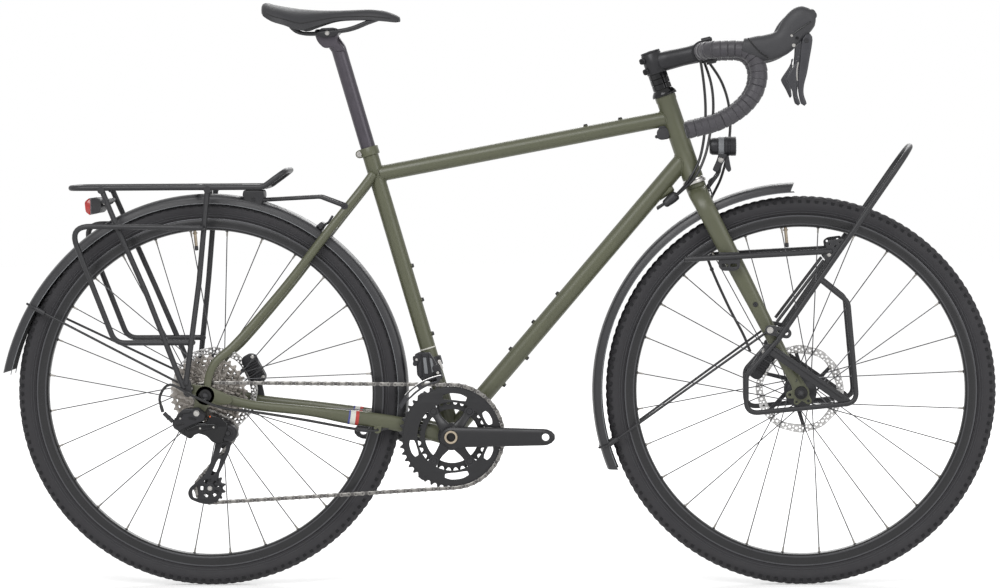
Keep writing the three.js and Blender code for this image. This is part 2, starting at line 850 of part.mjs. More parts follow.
// Tangential spokes, alternately leading and trailing, from one flange to the rim.
function spokesOf(flangePlane, firstShare) {
  const outer = (RIM_RADIUS - RIM_DEPTH) * Math.cos(Math.PI / WHEEL_FACETS) - SEAT_GAP;
  const perSide = SPOKE_COUNT / 2;
  const crossing = (2 * Math.PI * SPOKE_CROSSINGS) / perSide;
  const root = flangePlane + Math.sign(flangePlane) * SPOKE_ROOT_OFFSET;
  return Array.from({ length: perSide }, (_, i) => {
    const lacing = i % 2 ? SPOKE_LACING : -SPOKE_LACING;
    const rimTurn = (2 * Math.PI * (i + firstShare)) / perSide;
    const hubTurn = rimTurn + (i % 2 ? crossing : -crossing);
    const [x, z] = [SPOKE_CIRCLE_RADIUS * Math.cos(hubTurn), SPOKE_CIRCLE_RADIUS * Math.sin(hubTurn)];
    const rimEnd = point(outer * Math.cos(rimTurn), lacing, outer * Math.sin(rimTurn));
    return rod(point(x, root + lacing, z), rimEnd, SPOKE_RADIUS, SPOKE_SIDES);
  });
}

// One half of a hub shell, from the middle plane out to its end, with a bore for the axle.
function hubHalf(rows, side, turn) {
  const bore = AXLE_RADIUS + SEAT_GAP;
  const end = rows.at(-1)[1];
  const closed = [[bore, 0], ...rows, [bore, end]].map(([radius, along]) => [radius, side * along]);
  return revolve(closed, FLANGE_FACETS, turn);
}

const splineRadius = ROTOR_BORE_RADIUS * Math.cos(Math.PI / HUB_FACETS) - SEAT_GAP;
const halfFacet = Math.PI / FLANGE_FACETS;

function frontHubSolid() {
  const end = FRONT_HUB_WIDTH / 2 - SEAT_GAP;
  const flange = FRONT_FLANGE_SPREAD;
  const outer = flange + FLANGE_THICKNESS;
  const shared = [
    [DYNAMO_RADIUS, 0],
    [DYNAMO_RADIUS, flange - FLANGE_THICKNESS],
    [FLANGE_RADIUS, flange],
    [FLANGE_RADIUS, outer],
  ];
  const right = hubHalf([...shared, [HUB_CAP_RADIUS, outer], [HUB_CAP_RADIUS, end]], -1, halfFacet);
  const carrier = frontRotorPlane + FLANGE_THICKNESS;
  const rotorSide = [
    [splineRadius, outer],
    [splineRadius, carrier],
    [HUB_CAP_RADIUS, carrier],
    [HUB_CAP_RADIUS, end],
  ];
  const left = hubHalf([...shared, ...rotorSide], 1, 0);
  const middle = flange + FLANGE_THICKNESS / 2;
  return join(right, left, ...spokesOf(-middle, 0.5), ...spokesOf(middle, 0));
}

function rearHubSolid() {
  const end = REAR_HUB_WIDTH / 2 - SEAT_GAP;
  const flanged = (flange) => [
    [REAR_SHELL_RADIUS, 0],
    [REAR_SHELL_RADIUS, flange - FLANGE_THICKNESS],
    [FLANGE_RADIUS, flange],
    [FLANGE_RADIUS, flange + FLANGE_THICKNESS],
  ];
  const driveFace = REAR_FLANGE_RIGHT + FLANGE_THICKNESS;
  const sleeve = [
    [DRIVE_SLEEVE_RADIUS, driveFace],
    [DRIVE_SLEEVE_RADIUS, end],
  ];
  const right = hubHalf([...flanged(REAR_FLANGE_RIGHT), ...sleeve], -1, halfFacet);
  const carrier = rearRotorPlane + FLANGE_THICKNESS;
  const rotorSide = [
    [splineRadius, REAR_FLANGE_LEFT + FLANGE_THICKNESS * 2],
    [splineRadius, carrier],
    [HUB_CAP_RADIUS, carrier],
    [HUB_CAP_RADIUS, end],
  ];
  const left = hubHalf([...flanged(REAR_FLANGE_LEFT), ...rotorSide], 1, 0);
  const half = FLANGE_THICKNESS / 2;
  const spokes = [...spokesOf(-REAR_FLANGE_RIGHT - half, 0.5), ...spokesOf(REAR_FLANGE_LEFT + half, 0)];
  return join(right, left, ...spokes);
}

// A brake rotor: one flat drawing of a track, leaning arms and a carrier with its bore.
function rotorSolid(plane) {
  const inner = ROTOR_RADIUS - ROTOR_TRACK;
  const shape = new THREE.Shape(polygon(ROTOR_RADIUS, DISC_FACETS));
  shape.holes.push(new THREE.Path(polygon(ROTOR_BORE_RADIUS, HUB_FACETS, Math.PI / HUB_FACETS)));
  const step = (2 * Math.PI) / ROTOR_ARMS;
  for (let i = 0; i < ROTOR_ARMS; i++) {
    const turn = i * step;
    const rootSpread = ROTOR_ARM_WIDTH / (2 * ROTOR_CARRIER_RADIUS);
    const tipSpread = ROTOR_ARM_WIDTH / (2 * inner);
    const corners = [
      [ROTOR_CARRIER_RADIUS, turn + rootSpread],
      [inner, turn + step / 2 + tipSpread],
      [inner, turn + step],
      [inner, turn + step * 1.5 - tipSpread],
      [ROTOR_CARRIER_RADIUS, turn + step - rootSpread],
    ];
    const middle = new THREE.Vector2();
    const window = corners.map(([reach, at]) => new THREE.Vector2(reach, 0).rotateAround(middle, at));
    shape.holes.push(new THREE.Path(window));
  }
  return plate(shape, plane - ROTOR_THICKNESS / 2, plane + ROTOR_THICKNESS / 2);
}

// A thru axle with a hexagon socket in its head, which lies outside the right fork end or dropout.
function axleSolid(halfWidth, endThickness) {
  const head = -halfWidth - endThickness - SEAT_GAP * 2;
  const tip = halfWidth + endThickness;
  const shank = crossRod(0, 0, head - AXLE_HEAD_LENGTH / 2, tip, AXLE_RADIUS, SLIM_SIDES * 2);
  const cap = crossRod(0, 0, head, head - AXLE_HEAD_LENGTH, AXLE_HEAD_RADIUS);
  const face = head - AXLE_HEAD_LENGTH;
  const socket = crossRod(0, 0, face + AXLE_HEX_DEPTH, face - CUT_OVERRUN, AXLE_HEX_RADIUS, WIRE_SIDES);
  return cut(join(shank, cap), socket);
}

// A brake calliper: a chamfered block turned to the rotor, with the slot that the rotor runs in.
function calliperSolid(axle, degrees, plane, foot) {
  const turn = THREE.MathUtils.degToRad(degrees);
  const [halfLength, halfHeight] = [CALLIPER_LENGTH / 2, CALLIPER_HEIGHT / 2];
  const chamfer = CALLIPER_CHAMFER;
  const outline = [
    [-halfLength, -halfHeight + chamfer],
    [-halfLength + chamfer, -halfHeight],
    [halfLength - chamfer, -halfHeight],
    [halfLength, -halfHeight + chamfer],
    [halfLength, halfHeight - chamfer],
    [halfLength - chamfer, halfHeight],
    [-halfLength + chamfer, halfHeight],
    [-halfLength, halfHeight - chamfer],
  ].map(([x, z]) => new THREE.Vector2(x, z));
  const centre = [axle.x + CALLIPER_REACH * Math.cos(turn), axle.z + CALLIPER_REACH * Math.sin(turn)];
  const [near, far] = [plane - CALLIPER_INSIDE, plane + CALLIPER_OUTSIDE];
  const block = plate(new THREE.Shape(outline), near, far)
    .rotateY(Math.PI / 2 - turn)
    .translate(centre[0], 0, centre[1]);
  const arm = link(centre, foot, CALLIPER_FOOT_RADIUS, CALLIPER_FOOT_RADIUS, far - CALLIPER_FOOT_RADIUS, far);
  const gap = ROTOR_THICKNESS / 2 + PAD_GAP;
  const slot = crossRod(axle.x, axle.z, plane - gap, plane + gap, ROTOR_RADIUS + PAD_GAP * 2, WHEEL_FACETS);
  return cut(join(block, arm), slot);
}

// Frame
const seatTubeOuter = (extra) =>
  rod(onSeatTube(0), onSeatTube(SEAT_TUBE_LENGTH), SEAT_TUBE_RADIUS + extra);
const headTubeOuter = (extra) =>
  rod(onSteering(HEAD_BOTTOM), onSteering(HEAD_TOP), HEAD_TUBE_RADIUS + extra);
const shellOuter = (extra) =>
  crossRod(bracket.x, bracket.z, -SHELL_WIDTH, SHELL_WIDTH, SHELL_RADIUS + extra);
const collarOuter = (extra) =>
  rod(
    onSeatTube(SEAT_TUBE_LENGTH - COLLAR_HEIGHT - extra),
    onSeatTube(SEAT_TUBE_LENGTH + extra),
    COLLAR_RADIUS + extra,
  );

function headTubeSolid() {
  const flare = HEAD_TUBE_RADIUS + HEAD_LIP;
  const shoulder = HEAD_LIP_HEIGHT + HEAD_LIP;
  const rows = [
    [HEAD_TUBE_BORE, 0],
    [flare, 0],
    [flare, HEAD_LIP_HEIGHT],
    [HEAD_TUBE_RADIUS, shoulder],
    [HEAD_TUBE_RADIUS, HEAD_TUBE_LENGTH - shoulder],
    [flare, HEAD_TUBE_LENGTH - HEAD_LIP_HEIGHT],
    [flare, HEAD_TUBE_LENGTH],
    [HEAD_TUBE_BORE, HEAD_TUBE_LENGTH],
  ];
  return aligned(revolve(rows, TUBE_SIDES), onSteering(HEAD_BOTTOM), steerUp);
}

// Screw bosses standing out of one side of a tube.
function bosses(start, along, facing, distances, tubeRadius) {
  return distances.map((distance) => {
    const middle = start.clone().addScaledVector(along, distance);
    const base = middle.clone().addScaledVector(facing, tubeRadius - BOSS_HEIGHT);
    const top = middle.clone().addScaledVector(facing, tubeRadius + BOSS_HEIGHT / 2);
    return rod(base, top, BOSS_RADIUS, SLIM_SIDES);
  });
}

const spaced = (counts) => counts.map((count) => count * BOTTLE_BOSS_SPACING);
const upwardAcross = (along) => point(-along.z, 0, along.x);

function topTubeSolid() {
  const start = onSeatTube(TOP_TUBE_ON_SEAT_TUBE);
  const end = onSteering(HEAD_TOP - TOP_TUBE_BELOW_HEAD_TOP);
  const along = end.clone().sub(start).normalize();
  const body = rod(start.addScaledVector(along, SEAT_TUBE_RADIUS / 2), end, TOP_TUBE_RADIUS);
  const backwards = along.clone().negate();
  const studs = bosses(end, backwards, upwardAcross(along), TOP_TUBE_BOSSES, TOP_TUBE_RADIUS);
  return cut(join(body, ...studs), seatTubeOuter(WELD_GAP), headTubeOuter(WELD_GAP));
}

const downTubeStart = onSeatTube(DOWN_TUBE_ABOVE_BRACKET);
const downTubeEnd = onSteering(HEAD_BOTTOM + DOWN_TUBE_ABOVE_HEAD_BOTTOM);
const downTubeAlong = downTubeEnd.clone().sub(downTubeStart).normalize();

// The oval entry under the down tube where the cables go in.
function cablePort(radius, sideStep) {
  const low = downTubeEnd.clone().addScaledVector(downTubeAlong, -PORT_BELOW_HEAD - PORT_LENGTH);
  const high = downTubeEnd.clone().addScaledVector(downTubeAlong, -PORT_BELOW_HEAD);
  const below = upwardAcross(downTubeAlong).negate();
  low.addScaledVector(below, DOWN_TUBE_RADIUS - PORT_RADIUS);
  high.addScaledVector(below, DOWN_TUBE_RADIUS - sideStep);
  return rod(low, high, radius, SLIM_SIDES);
}

function downTubeSolid() {
  const up = upwardAcross(downTubeAlong);
  const studs = [
    ...bosses(downTubeStart, downTubeAlong, up, spaced(UPPER_BOSS_SHARES), DOWN_TUBE_RADIUS),
    ...bosses(downTubeStart, downTubeAlong, up.negate(), spaced(LOWER_BOSS_SHARES), DOWN_TUBE_RADIUS),
  ];
  const body = join(rod(downTubeStart, downTubeEnd, DOWN_TUBE_RADIUS), ...studs, cablePort(PORT_RADIUS, 0));
  return cut(body, seatTubeOuter(WELD_GAP), headTubeOuter(WELD_GAP), shellOuter(WELD_GAP));
}

function seatTubeSolid() {
  const top = onSeatTube(SEAT_TUBE_LENGTH);
  const collarBottom = onSeatTube(SEAT_TUBE_LENGTH - COLLAR_HEIGHT);
  const back = upwardAcross(seatUp);
  const ear = collarBottom.clone().lerp(top, 0.5).addScaledVector(back, COLLAR_RADIUS);
  const ears = crossRod(ear.x, ear.z, -COLLAR_EAR, COLLAR_EAR, COLLAR_HEIGHT / 2, SLIM_SIDES);
  const studs = bosses(bracket, seatUp, back.negate(), spaced(SEAT_TUBE_BOSS_SHARES), SEAT_TUBE_RADIUS);
  const bandTop = onSeatTube(BAND_ON_SEAT_TUBE + BAND_HEIGHT);
  const band = rod(onSeatTube(BAND_ON_SEAT_TUBE), bandTop, SEAT_TUBE_RADIUS + HEAD_LIP);
  const body = join(seatTubeOuter(0), rod(collarBottom, top, COLLAR_RADIUS), ears, band, ...studs);
  const boreBottom = onSeatTube(SEAT_TUBE_LENGTH - POST_BORE_DEPTH);
  const bore = rod(boreBottom, onSeatTube(SEAT_TUBE_LENGTH + CUT_OVERRUN), POST_RADIUS + SEAT_GAP);
  return cut(body, bore, shellOuter(WELD_GAP));
}

function shellSolid() {
  const half = SHELL_WIDTH / 2;
  const rows = [
    [SHELL_BORE, -half],
    [SHELL_RADIUS, -half],
    [SHELL_RADIUS, half],
    [SHELL_BORE, half],
  ];
  return revolve(rows, HUB_FACETS).translate(bracket.x, 0, bracket.z);
}

function bracketBearingSolid() {
  const half = SHELL_WIDTH / 2 + SEAT_GAP;
  const sleeve = SHELL_BORE - SEAT_GAP;
  const bore = SPINDLE_RADIUS + RUNNING_GAP;
  const rows = [
    [bore, -half - CUP_WIDTH],
    [CUP_RADIUS, -half - CUP_WIDTH],
    [CUP_RADIUS, -half],
    [sleeve, -half],
    [sleeve, half],
    [CUP_RADIUS, half],
    [CUP_RADIUS, half + CUP_WIDTH],
    [bore, half + CUP_WIDTH],
  ];
  return revolve(rows, HUB_FACETS).translate(bracket.x, 0, bracket.z);
}

const stayRows = (stations, side, extra = 0) =>
  stations.map(([x, z, across, height, width]) => [
    point(x, side * across, z),
    height + extra,
    width + extra,
  ]);
const stayLoft = (stations, side, extra) =>
  loft(ovalRings(stayRows(stations, side, extra), STAY_SIDES));

// The plate outside the hub that holds the axle, with the eyelet for carrier and mudguard.
function dropoutSolid(side) {
  const inner = REAR_HUB_WIDTH / 2;
  const outer = inner + DROPOUT_THICKNESS;
  const [from, to] = side > 0 ? [inner, outer] : [-outer, -inner];
  const centre = [0, AXLE_HEIGHT];
  const eyelet = [EYELET_PLACE[0], AXLE_HEIGHT + EYELET_PLACE[1]];
  const [x, z, , height] = CHAINSTAY_STATIONS.at(-2);
  const parts = [
    link(centre, [x, z], DROPOUT_RADIUS, height / 2, from, to),
    link(centre, eyelet, DROPOUT_RADIUS, EYELET_RADIUS, from, to),
  ];
  if (side < 0) {
    const bolt = [HANGER_BOLT_PLACE[0], AXLE_HEIGHT + HANGER_BOLT_PLACE[1]];
    parts.push(link(centre, bolt, DROPOUT_RADIUS, HANGER_RADIUS, from, to));
  }
  return join(...parts);
}

function chainstaySolid(side) {
  const parts = [stayLoft(CHAINSTAY_STATIONS, side), dropoutSolid(side)];
  const reach = CHAINSTAY_STATIONS[1][2];
  const [x, z] = CHAIN_BRIDGE_PLACE;
  if (side > 0) parts.push(crossRod(x, z, -reach + BRIDGE_RADIUS, reach, BRIDGE_RADIUS, SLIM_SIDES));
  const axleHole = crossRod(0, AXLE_HEIGHT, -REAR_HUB_WIDTH, REAR_HUB_WIDTH, AXLE_RADIUS + SEAT_GAP);
  const bearingCups = crossRod(bracket.x, bracket.z, -SHELL_WIDTH, SHELL_WIDTH, CUP_RADIUS + WELD_GAP);
  const other = side > 0 ? [stayLoft(CHAINSTAY_STATIONS, -side, 2 * WELD_GAP)] : [];
  return cut(join(...parts), axleHole, bearingCups, seatTubeOuter(WELD_GAP), ...other);
}

function seatstaySolid(side) {
  const [x, z] = SEAT_BRIDGE_PLACE;
  const stay = stayLoft(SEATSTAY_STATIONS, side);
  const bridge = crossRod(x, z, -SEATSTAY_STATIONS[2][2], SEATSTAY_STATIONS[2][2], BRIDGE_RADIUS, SLIM_SIDES);
  const chainstay = stayLoft(CHAINSTAY_STATIONS, side, 2 * WELD_GAP);
  const tools = [seatTubeOuter(WELD_GAP), collarOuter(WELD_GAP), chainstay];
  const inner = REAR_HUB_WIDTH / 2 - WELD_GAP;
  const outer = inner + DROPOUT_THICKNESS + 2 * WELD_GAP;
  const dropoutZone = crossRod(0, AXLE_HEIGHT, side * inner, side * outer, DROPOUT_RADIUS + 4 * WELD_GAP);
  tools.push(dropoutZone);
  if (side > 0) {
    const far = stayLoft(SEATSTAY_STATIONS, -side, 2 * WELD_GAP);
    return cut(join(stay, bridge), ...tools, far);
  }
  return cut(stay, ...tools);
}

function lowerCupSolid() {
  const bore = STEERER_RADIUS + CUP_GAP;
  const top = LOWER_CUP_HEIGHT - SEAT_GAP * 2;
  const rows = [
    [bore, 0],
    [HEAD_TUBE_RADIUS, 0],
    [HEAD_TUBE_RADIUS + HEAD_LIP, SEAT_GAP * 3],
    [HEAD_TUBE_RADIUS + HEAD_LIP, top],
    [bore, top],
  ];
  return aligned(revolve(rows, TUBE_SIDES), onSteering(CROWN_HEIGHT + SEAT_GAP), steerUp);
}

// Seat post and saddle
const postBend = onSeatTube(SEAT_TUBE_LENGTH + POST_RISE);

function railPlaces() {
  const half = smoothed(RAIL_ROUTE.map(([x, y, z]) => postBend.clone().add(point(x, y, z))), RAIL_PIECES);
  return [...half, ...mirrored(half).reverse().slice(1)];
}

function postSolid() {
  const foot = onSeatTube(SEAT_TUBE_LENGTH - POST_INSERT);
  const [x, z] = [postBend.x + CRADLE_PLACE[0], postBend.z + CRADLE_PLACE[1]];
  const head = point(x, 0, z - CRADLE_HEIGHT / 2);
  const route = rounded([foot, postBend, head], POST_SETBACK, 2);
  const half = CRADLE_WIDTH / 2;
  const [back, front] = [[x - CRADLE_LENGTH / 3, z], [x + CRADLE_LENGTH / 3, z + SEAT_GAP]];
  const cradle = link(back, front, CRADLE_HEIGHT / 2, CRADLE_HEIGHT / 2, -half, half);
  const body = join(tube(route, POST_RADIUS, TUBE_SIDES, Math.PI / TUBE_SIDES), cradle);
  return cut(body, tube(railPlaces(), RAIL_RADIUS + SEAT_GAP, SLIM_SIDES));
}

// One half of a saddle section from its top middle to its underside middle.
function saddleRing([x, top, edge, half]) {
  const depth = top - edge;
  const side = [
    [half * 0.55, top - depth * 0.05],
    [half * 0.86, top - depth * 0.25],
    [half, top - depth * 0.6],
    [half * 0.96, edge],
  ];
  const inner = Math.min(SADDLE_SHELL, depth * 0.75);
  const under = [
    [half * 0.8, edge + depth * 0.06],
    [half * 0.5, top - inner],
  ];
  const right = [...side, ...under].map(([y, z]) => point(x, y, z));
  return [point(x, 0, top), ...right, point(x, 0, top - inner), ...mirrored(right).reverse()];
}

function saddleSolid() {
  const body = loft(SADDLE_STATIONS.map(saddleRing)).translate(postBend.x, 0, postBend.z);
  return cut(body, tube(railPlaces(), RAIL_RADIUS + SEAT_GAP, SLIM_SIDES));
}

// Cranks and chainrings, drawn about the bottom bracket
const leaning = (geometry, slope) => {
  const shear = new THREE.Matrix4().set(1, 0, 0, 0, slope, 1, 0, 0, 0, 0, 1, 0, 0, 0, 0, 1);
  return geometry.applyMatrix4(shear);
};

function armSolid(side) {
  const inner = side * CRANK_INNER_FACE;
  const outer = side * (CRANK_INNER_FACE + CRANK_THICKNESS);
  const arm = link([0, 0], [-side * CRANK_LENGTH, 0], CRANK_ROOT_RADIUS, CRANK_END_RADIUS, inner, outer);
  return leaning(arm, -CRANK_LEAN_SHARE);
}

function pedalHole(side) {
  const lean = side * CRANK_LENGTH * CRANK_LEAN_SHARE;
  const inner = side * CRANK_INNER_FACE + lean;
  const outer = side * (CRANK_INNER_FACE + CRANK_THICKNESS) + lean;
  const [low, high] = [inner - side * CRANK_THICKNESS, outer + side * CRANK_THICKNESS];
  return crossRod(-side * CRANK_LENGTH, 0, low, high, PEDAL_HOLE_RADIUS);
}

const boltPlace = (degrees) => {
  const turn = THREE.MathUtils.degToRad(degrees);
  return [(SPIDER_BOLT_CIRCLE / 2) * Math.cos(turn), (SPIDER_BOLT_CIRCLE / 2) * Math.sin(turn)];
};

function rightCrankSolid() {
  const outerFace = -OUTER_RING_PLANE + RING_THICKNESS / 2 + SEAT_GAP;
  const innerFace = -INNER_RING_PLANE - RING_THICKNESS / 2 - SEAT_GAP;
  const arms = SPIDER_ANGLES.map((degrees) =>
    link([0, 0], boltPlace(degrees), SPIDER_TAB_RADIUS, SPIDER_TAB_RADIUS, outerFace, innerFace),
  );
  const holes = SPIDER_ANGLES.map((degrees) => {
    const [x, z] = boltPlace(degrees);
    return crossRod(x, z, -OUTER_RING_PLANE, -INNER_RING_PLANE, CHAINRING_BOLT_RADIUS + SEAT_GAP, SLIM_SIDES);
  });
  const hub = crossRod(0, 0, -CRANK_INNER_FACE - CUP_WIDTH / 2, innerFace, SPIDER_HUB_RADIUS);
  const spindle = crossRod(0, 0, -CRANK_INNER_FACE, CRANK_INNER_FACE + CRANK_THICKNESS, SPINDLE_RADIUS);
  const face = -CRANK_INNER_FACE - CRANK_THICKNESS;
  const recess = crossRod(0, 0, face + SPINDLE_BORE_DEPTH, face - CUT_OVERRUN, SPINDLE_BORE_RADIUS);
  return cut(join(armSolid(-1), hub, spindle, ...arms), recess, pedalHole(-1), ...holes);
}

function leftCrankSolid() {
  const boreEnd = CRANK_INNER_FACE + CRANK_THICKNESS * 2;
  const bore = crossRod(0, 0, SHELL_WIDTH / 2, boreEnd, SPINDLE_RADIUS + SEAT_GAP);
  return cut(armSolid(1), bore, pedalHole(1));
}

// Toothed discs: one tip and one root for each tooth.
function toothed(teeth, tip = TOOTH_HEIGHT, root = TOOTH_ROOT) {
  const pitch = pitchRadius(teeth);
  return Array.from({ length: 2 * teeth }, (_, i) => {
    const turn = (Math.PI * (i + 0.5)) / teeth;
    const radius = i % 2 ? pitch - root : pitch + tip;
    return new THREE.Vector2(radius * Math.cos(turn), radius * Math.sin(turn));
  });
}

function ringSolid(outline, hole, plane) {
  const shape = new THREE.Shape(outline);
  shape.holes.push(new THREE.Path(hole));
  return plate(shape, -plane - RING_THICKNESS / 2, -plane + RING_THICKNESS / 2);
}

// The inner edge of the outer ring, drawn in to the bolt circle at each bolt.
function tabbedHole() {
  const radius = pitchRadius(OUTER_RING_TEETH) - RING_WEB_WIDTH;
  const tabInner = SPIDER_BOLT_CIRCLE / 2 - SPIDER_TAB_RADIUS;
  const corners = [];
  SPIDER_ANGLES.forEach((degrees, i) => {
    const turn = THREE.MathUtils.degToRad(degrees);
    const next = THREE.MathUtils.degToRad(SPIDER_ANGLES[(i + 1) % SPIDER_ANGLES.length]);
    const gap = THREE.MathUtils.euclideanModulo(next - turn, 2 * Math.PI);
    const spread = SPIDER_TAB_RADIUS / radius;
    const innerSpread = SPIDER_TAB_RADIUS / tabInner;
    corners.push([radius, turn - spread], [tabInner, turn - innerSpread]);
    corners.push([tabInner, turn + innerSpread], [radius, turn + spread]);
    const pieces = Math.round((gap / (2 * Math.PI)) * DISC_FACETS);
    for (let k = 1; k < pieces; k++) {
      corners.push([radius, turn + spread + ((gap - 2 * spread) * k) / pieces]);
    }
  });
  return corners.map(([reach, turn]) => new THREE.Vector2(reach * Math.cos(turn), reach * Math.sin(turn)));
}

function chainringSolid() {
  const innerHole = polygon(pitchRadius(INNER_RING_TEETH) - RING_WEB_WIDTH, HUB_FACETS);
  const outer = ringSolid(toothed(OUTER_RING_TEETH), tabbedHole(), OUTER_RING_PLANE);
  const innerEdge = polygon(pitchRadius(INNER_RING_TEETH), INNER_RING_TEETH);
  const inner = ringSolid(innerEdge, innerHole, INNER_RING_PLANE);
  const posts = SPIDER_ANGLES.map((degrees) => {
    const [x, z] = boltPlace(degrees);
    const face = -OUTER_RING_PLANE - RING_THICKNESS;
    return crossRod(x, z, face, -INNER_RING_PLANE, CHAINRING_BOLT_RADIUS, SLIM_SIDES);
  });
  return join(outer, inner, ...posts);
}

// Sprockets on the freehub core as one stepped block, drawn about the rear axle.
function cassetteSolid() {
  const half = SPROCKET_THICKNESS / 2;
  const planeOf = (i) => -SMALL_SPROCKET_PLANE + i * SPROCKET_SPACING;
  const last = SPROCKET_TEETH.length - 1;
  const bore = DRIVE_SLEEVE_RADIUS + RUNNING_GAP;
  const low = planeOf(0) - SPROCKET_SPACING / 2;
  const smallest = pitchRadius(SPROCKET_TEETH[0]);
  const rows = [
    [bore, low],
    [FREEHUB_RADIUS, low],
    [FREEHUB_RADIUS, planeOf(0) - half],
    [smallest, planeOf(0) - half],
    [smallest, planeOf(0) + half],
    [FREEHUB_RADIUS, planeOf(0) + half],
    [FREEHUB_RADIUS, planeOf(1) - half],
  ];
  for (let i = 1; i <= last; i++) {
    const edge = i < last ? planeOf(i + 1) - half : planeOf(last) + half;
    rows.push([pitchRadius(SPROCKET_TEETH[i]), rows.at(-1)[1]], [pitchRadius(SPROCKET_TEETH[i]), edge]);
  }
  rows.push([bore, planeOf(last) + half]);
  return revolve(rows, FLANGE_FACETS);
}

// The chain's path: an open belt round circles that turn clockwise (+1) or anticlockwise (-1), seen from the
// right. Each circle is [x, z, radius, turning, plane].
const chainCircles = [
  [0, AXLE_HEIGHT, pitchRadius(SPROCKET_TEETH[0]), 1, SMALL_SPROCKET_PLANE],
  [bracket.x, bracket.z, pitchRadius(OUTER_RING_TEETH), 1, OUTER_RING_PLANE],
  [TENSION_PLACE[0], AXLE_HEIGHT + TENSION_PLACE[1], pitchRadius(TENSION_TEETH), 1, SMALL_SPROCKET_PLANE],
  [GUIDE_PLACE[0], AXLE_HEIGHT + GUIDE_PLACE[1], pitchRadius(GUIDE_TEETH), -1, SMALL_SPROCKET_PLANE],
];

function chainSpans() {
  return chainCircles.map(([x, z, radius, turning, plane], i) => {
    const [nextX, nextZ, nextRadius, nextTurning, nextPlane] = chainCircles[(i + 1) % chainCircles.length];
    const length = Math.hypot(nextX - x, nextZ - z);
    const [start, end] = [turning * radius, nextTurning * nextRadius];
    const heading = Math.atan2(nextZ - z, nextX - x) - Math.asin((start - end) / length);
    const across = [-Math.sin(heading), Math.cos(heading)];
    return {
      from: point(x + start * across[0], -plane, z + start * across[1]),
      to: point(nextX + end * across[0], -nextPlane, nextZ + end * across[1]),
      heading,
    };
  });
}

// Splits the whole path into straight runs and arcs, with the length of each.
function chainParts() {
  const spans = chainSpans();
  const parts = [];
  spans.forEach((span, i) => {
    const length = span.from.distanceTo(span.to);
    parts.push({ length, at: (share) => span.from.clone().lerp(span.to, share) });
    const next = spans[(i + 1) % spans.length];
    const [x, z, radius, turning, plane] = chainCircles[(i + 1) % chainCircles.length];
    let sweep = (span.heading - next.heading) * turning;
    sweep = THREE.MathUtils.euclideanModulo(sweep, 2 * Math.PI);
    const start = span.heading + (turning * Math.PI) / 2;
    parts.push({
      length: radius * sweep,
      at: (share) => {
        const turn = start - turning * sweep * share;
        return point(x + radius * Math.cos(turn), -plane, z + radius * Math.sin(turn));
      },
    });
  });
  return parts;
}

// Straight runs need only their ends, and arcs take one station for each link.
function chainPlaces() {
  const places = [];
  for (const [i, part] of chainParts().entries()) {
    const steps = i % 2 ? Math.round(part.length / CHAIN_PITCH) : 1;
    for (let step = 0; step < steps; step++) places.push(part.at(step / steps));
  }
  return places;
}

function chainSolid() {
  const places = chainPlaces();
  const rings = places.map((place, i) => {
    const before = places[(i - 1 + places.length) % places.length];
    const along = places[(i + 1) % places.length].clone().sub(before).normalize();
    const across = along.clone().cross(point(0, 1, 0)).normalize();
    const side = across.clone().cross(along);
    const height = CHAIN_PLATE_HEIGHT / 2;
    const width = CHAIN_WIDTH / 2;
    return [[1, 1], [1, -1], [-1, -1], [-1, 1]].map(([high, wide]) =>
      place.clone().addScaledVector(across, high * height).addScaledVector(side, wide * width),
    );
  });
  const half = CHAIN_GROOVE / 2;
  const grooves = chainCircles.map(([x, z, radius, , plane]) =>
    crossRod(x, z, -plane - half, -plane + half, radius + TOOTH_HEIGHT + SEAT_GAP * 2, WHEEL_FACETS),
  );
  return cut(loft(rings, true), ...grooves);
}

// Derailleurs
function pulleySolid(teeth) {
  const half = PULLEY_THICKNESS / 2;
  const boss = pitchRadius(teeth) - TOOTH_ROOT * 2;
  const bore = PULLEY_BOLT_RADIUS + RUNNING_GAP;
  const rows = [
    [bore, -half * 2],
    [boss, -half * 2],
    [boss, -half],
    [pitchRadius(teeth), -half],
    [pitchRadius(teeth), half],
    [boss, half],
    [boss, half * 2],
    [bore, half * 2],
  ];
  return revolve(rows, teeth);
}

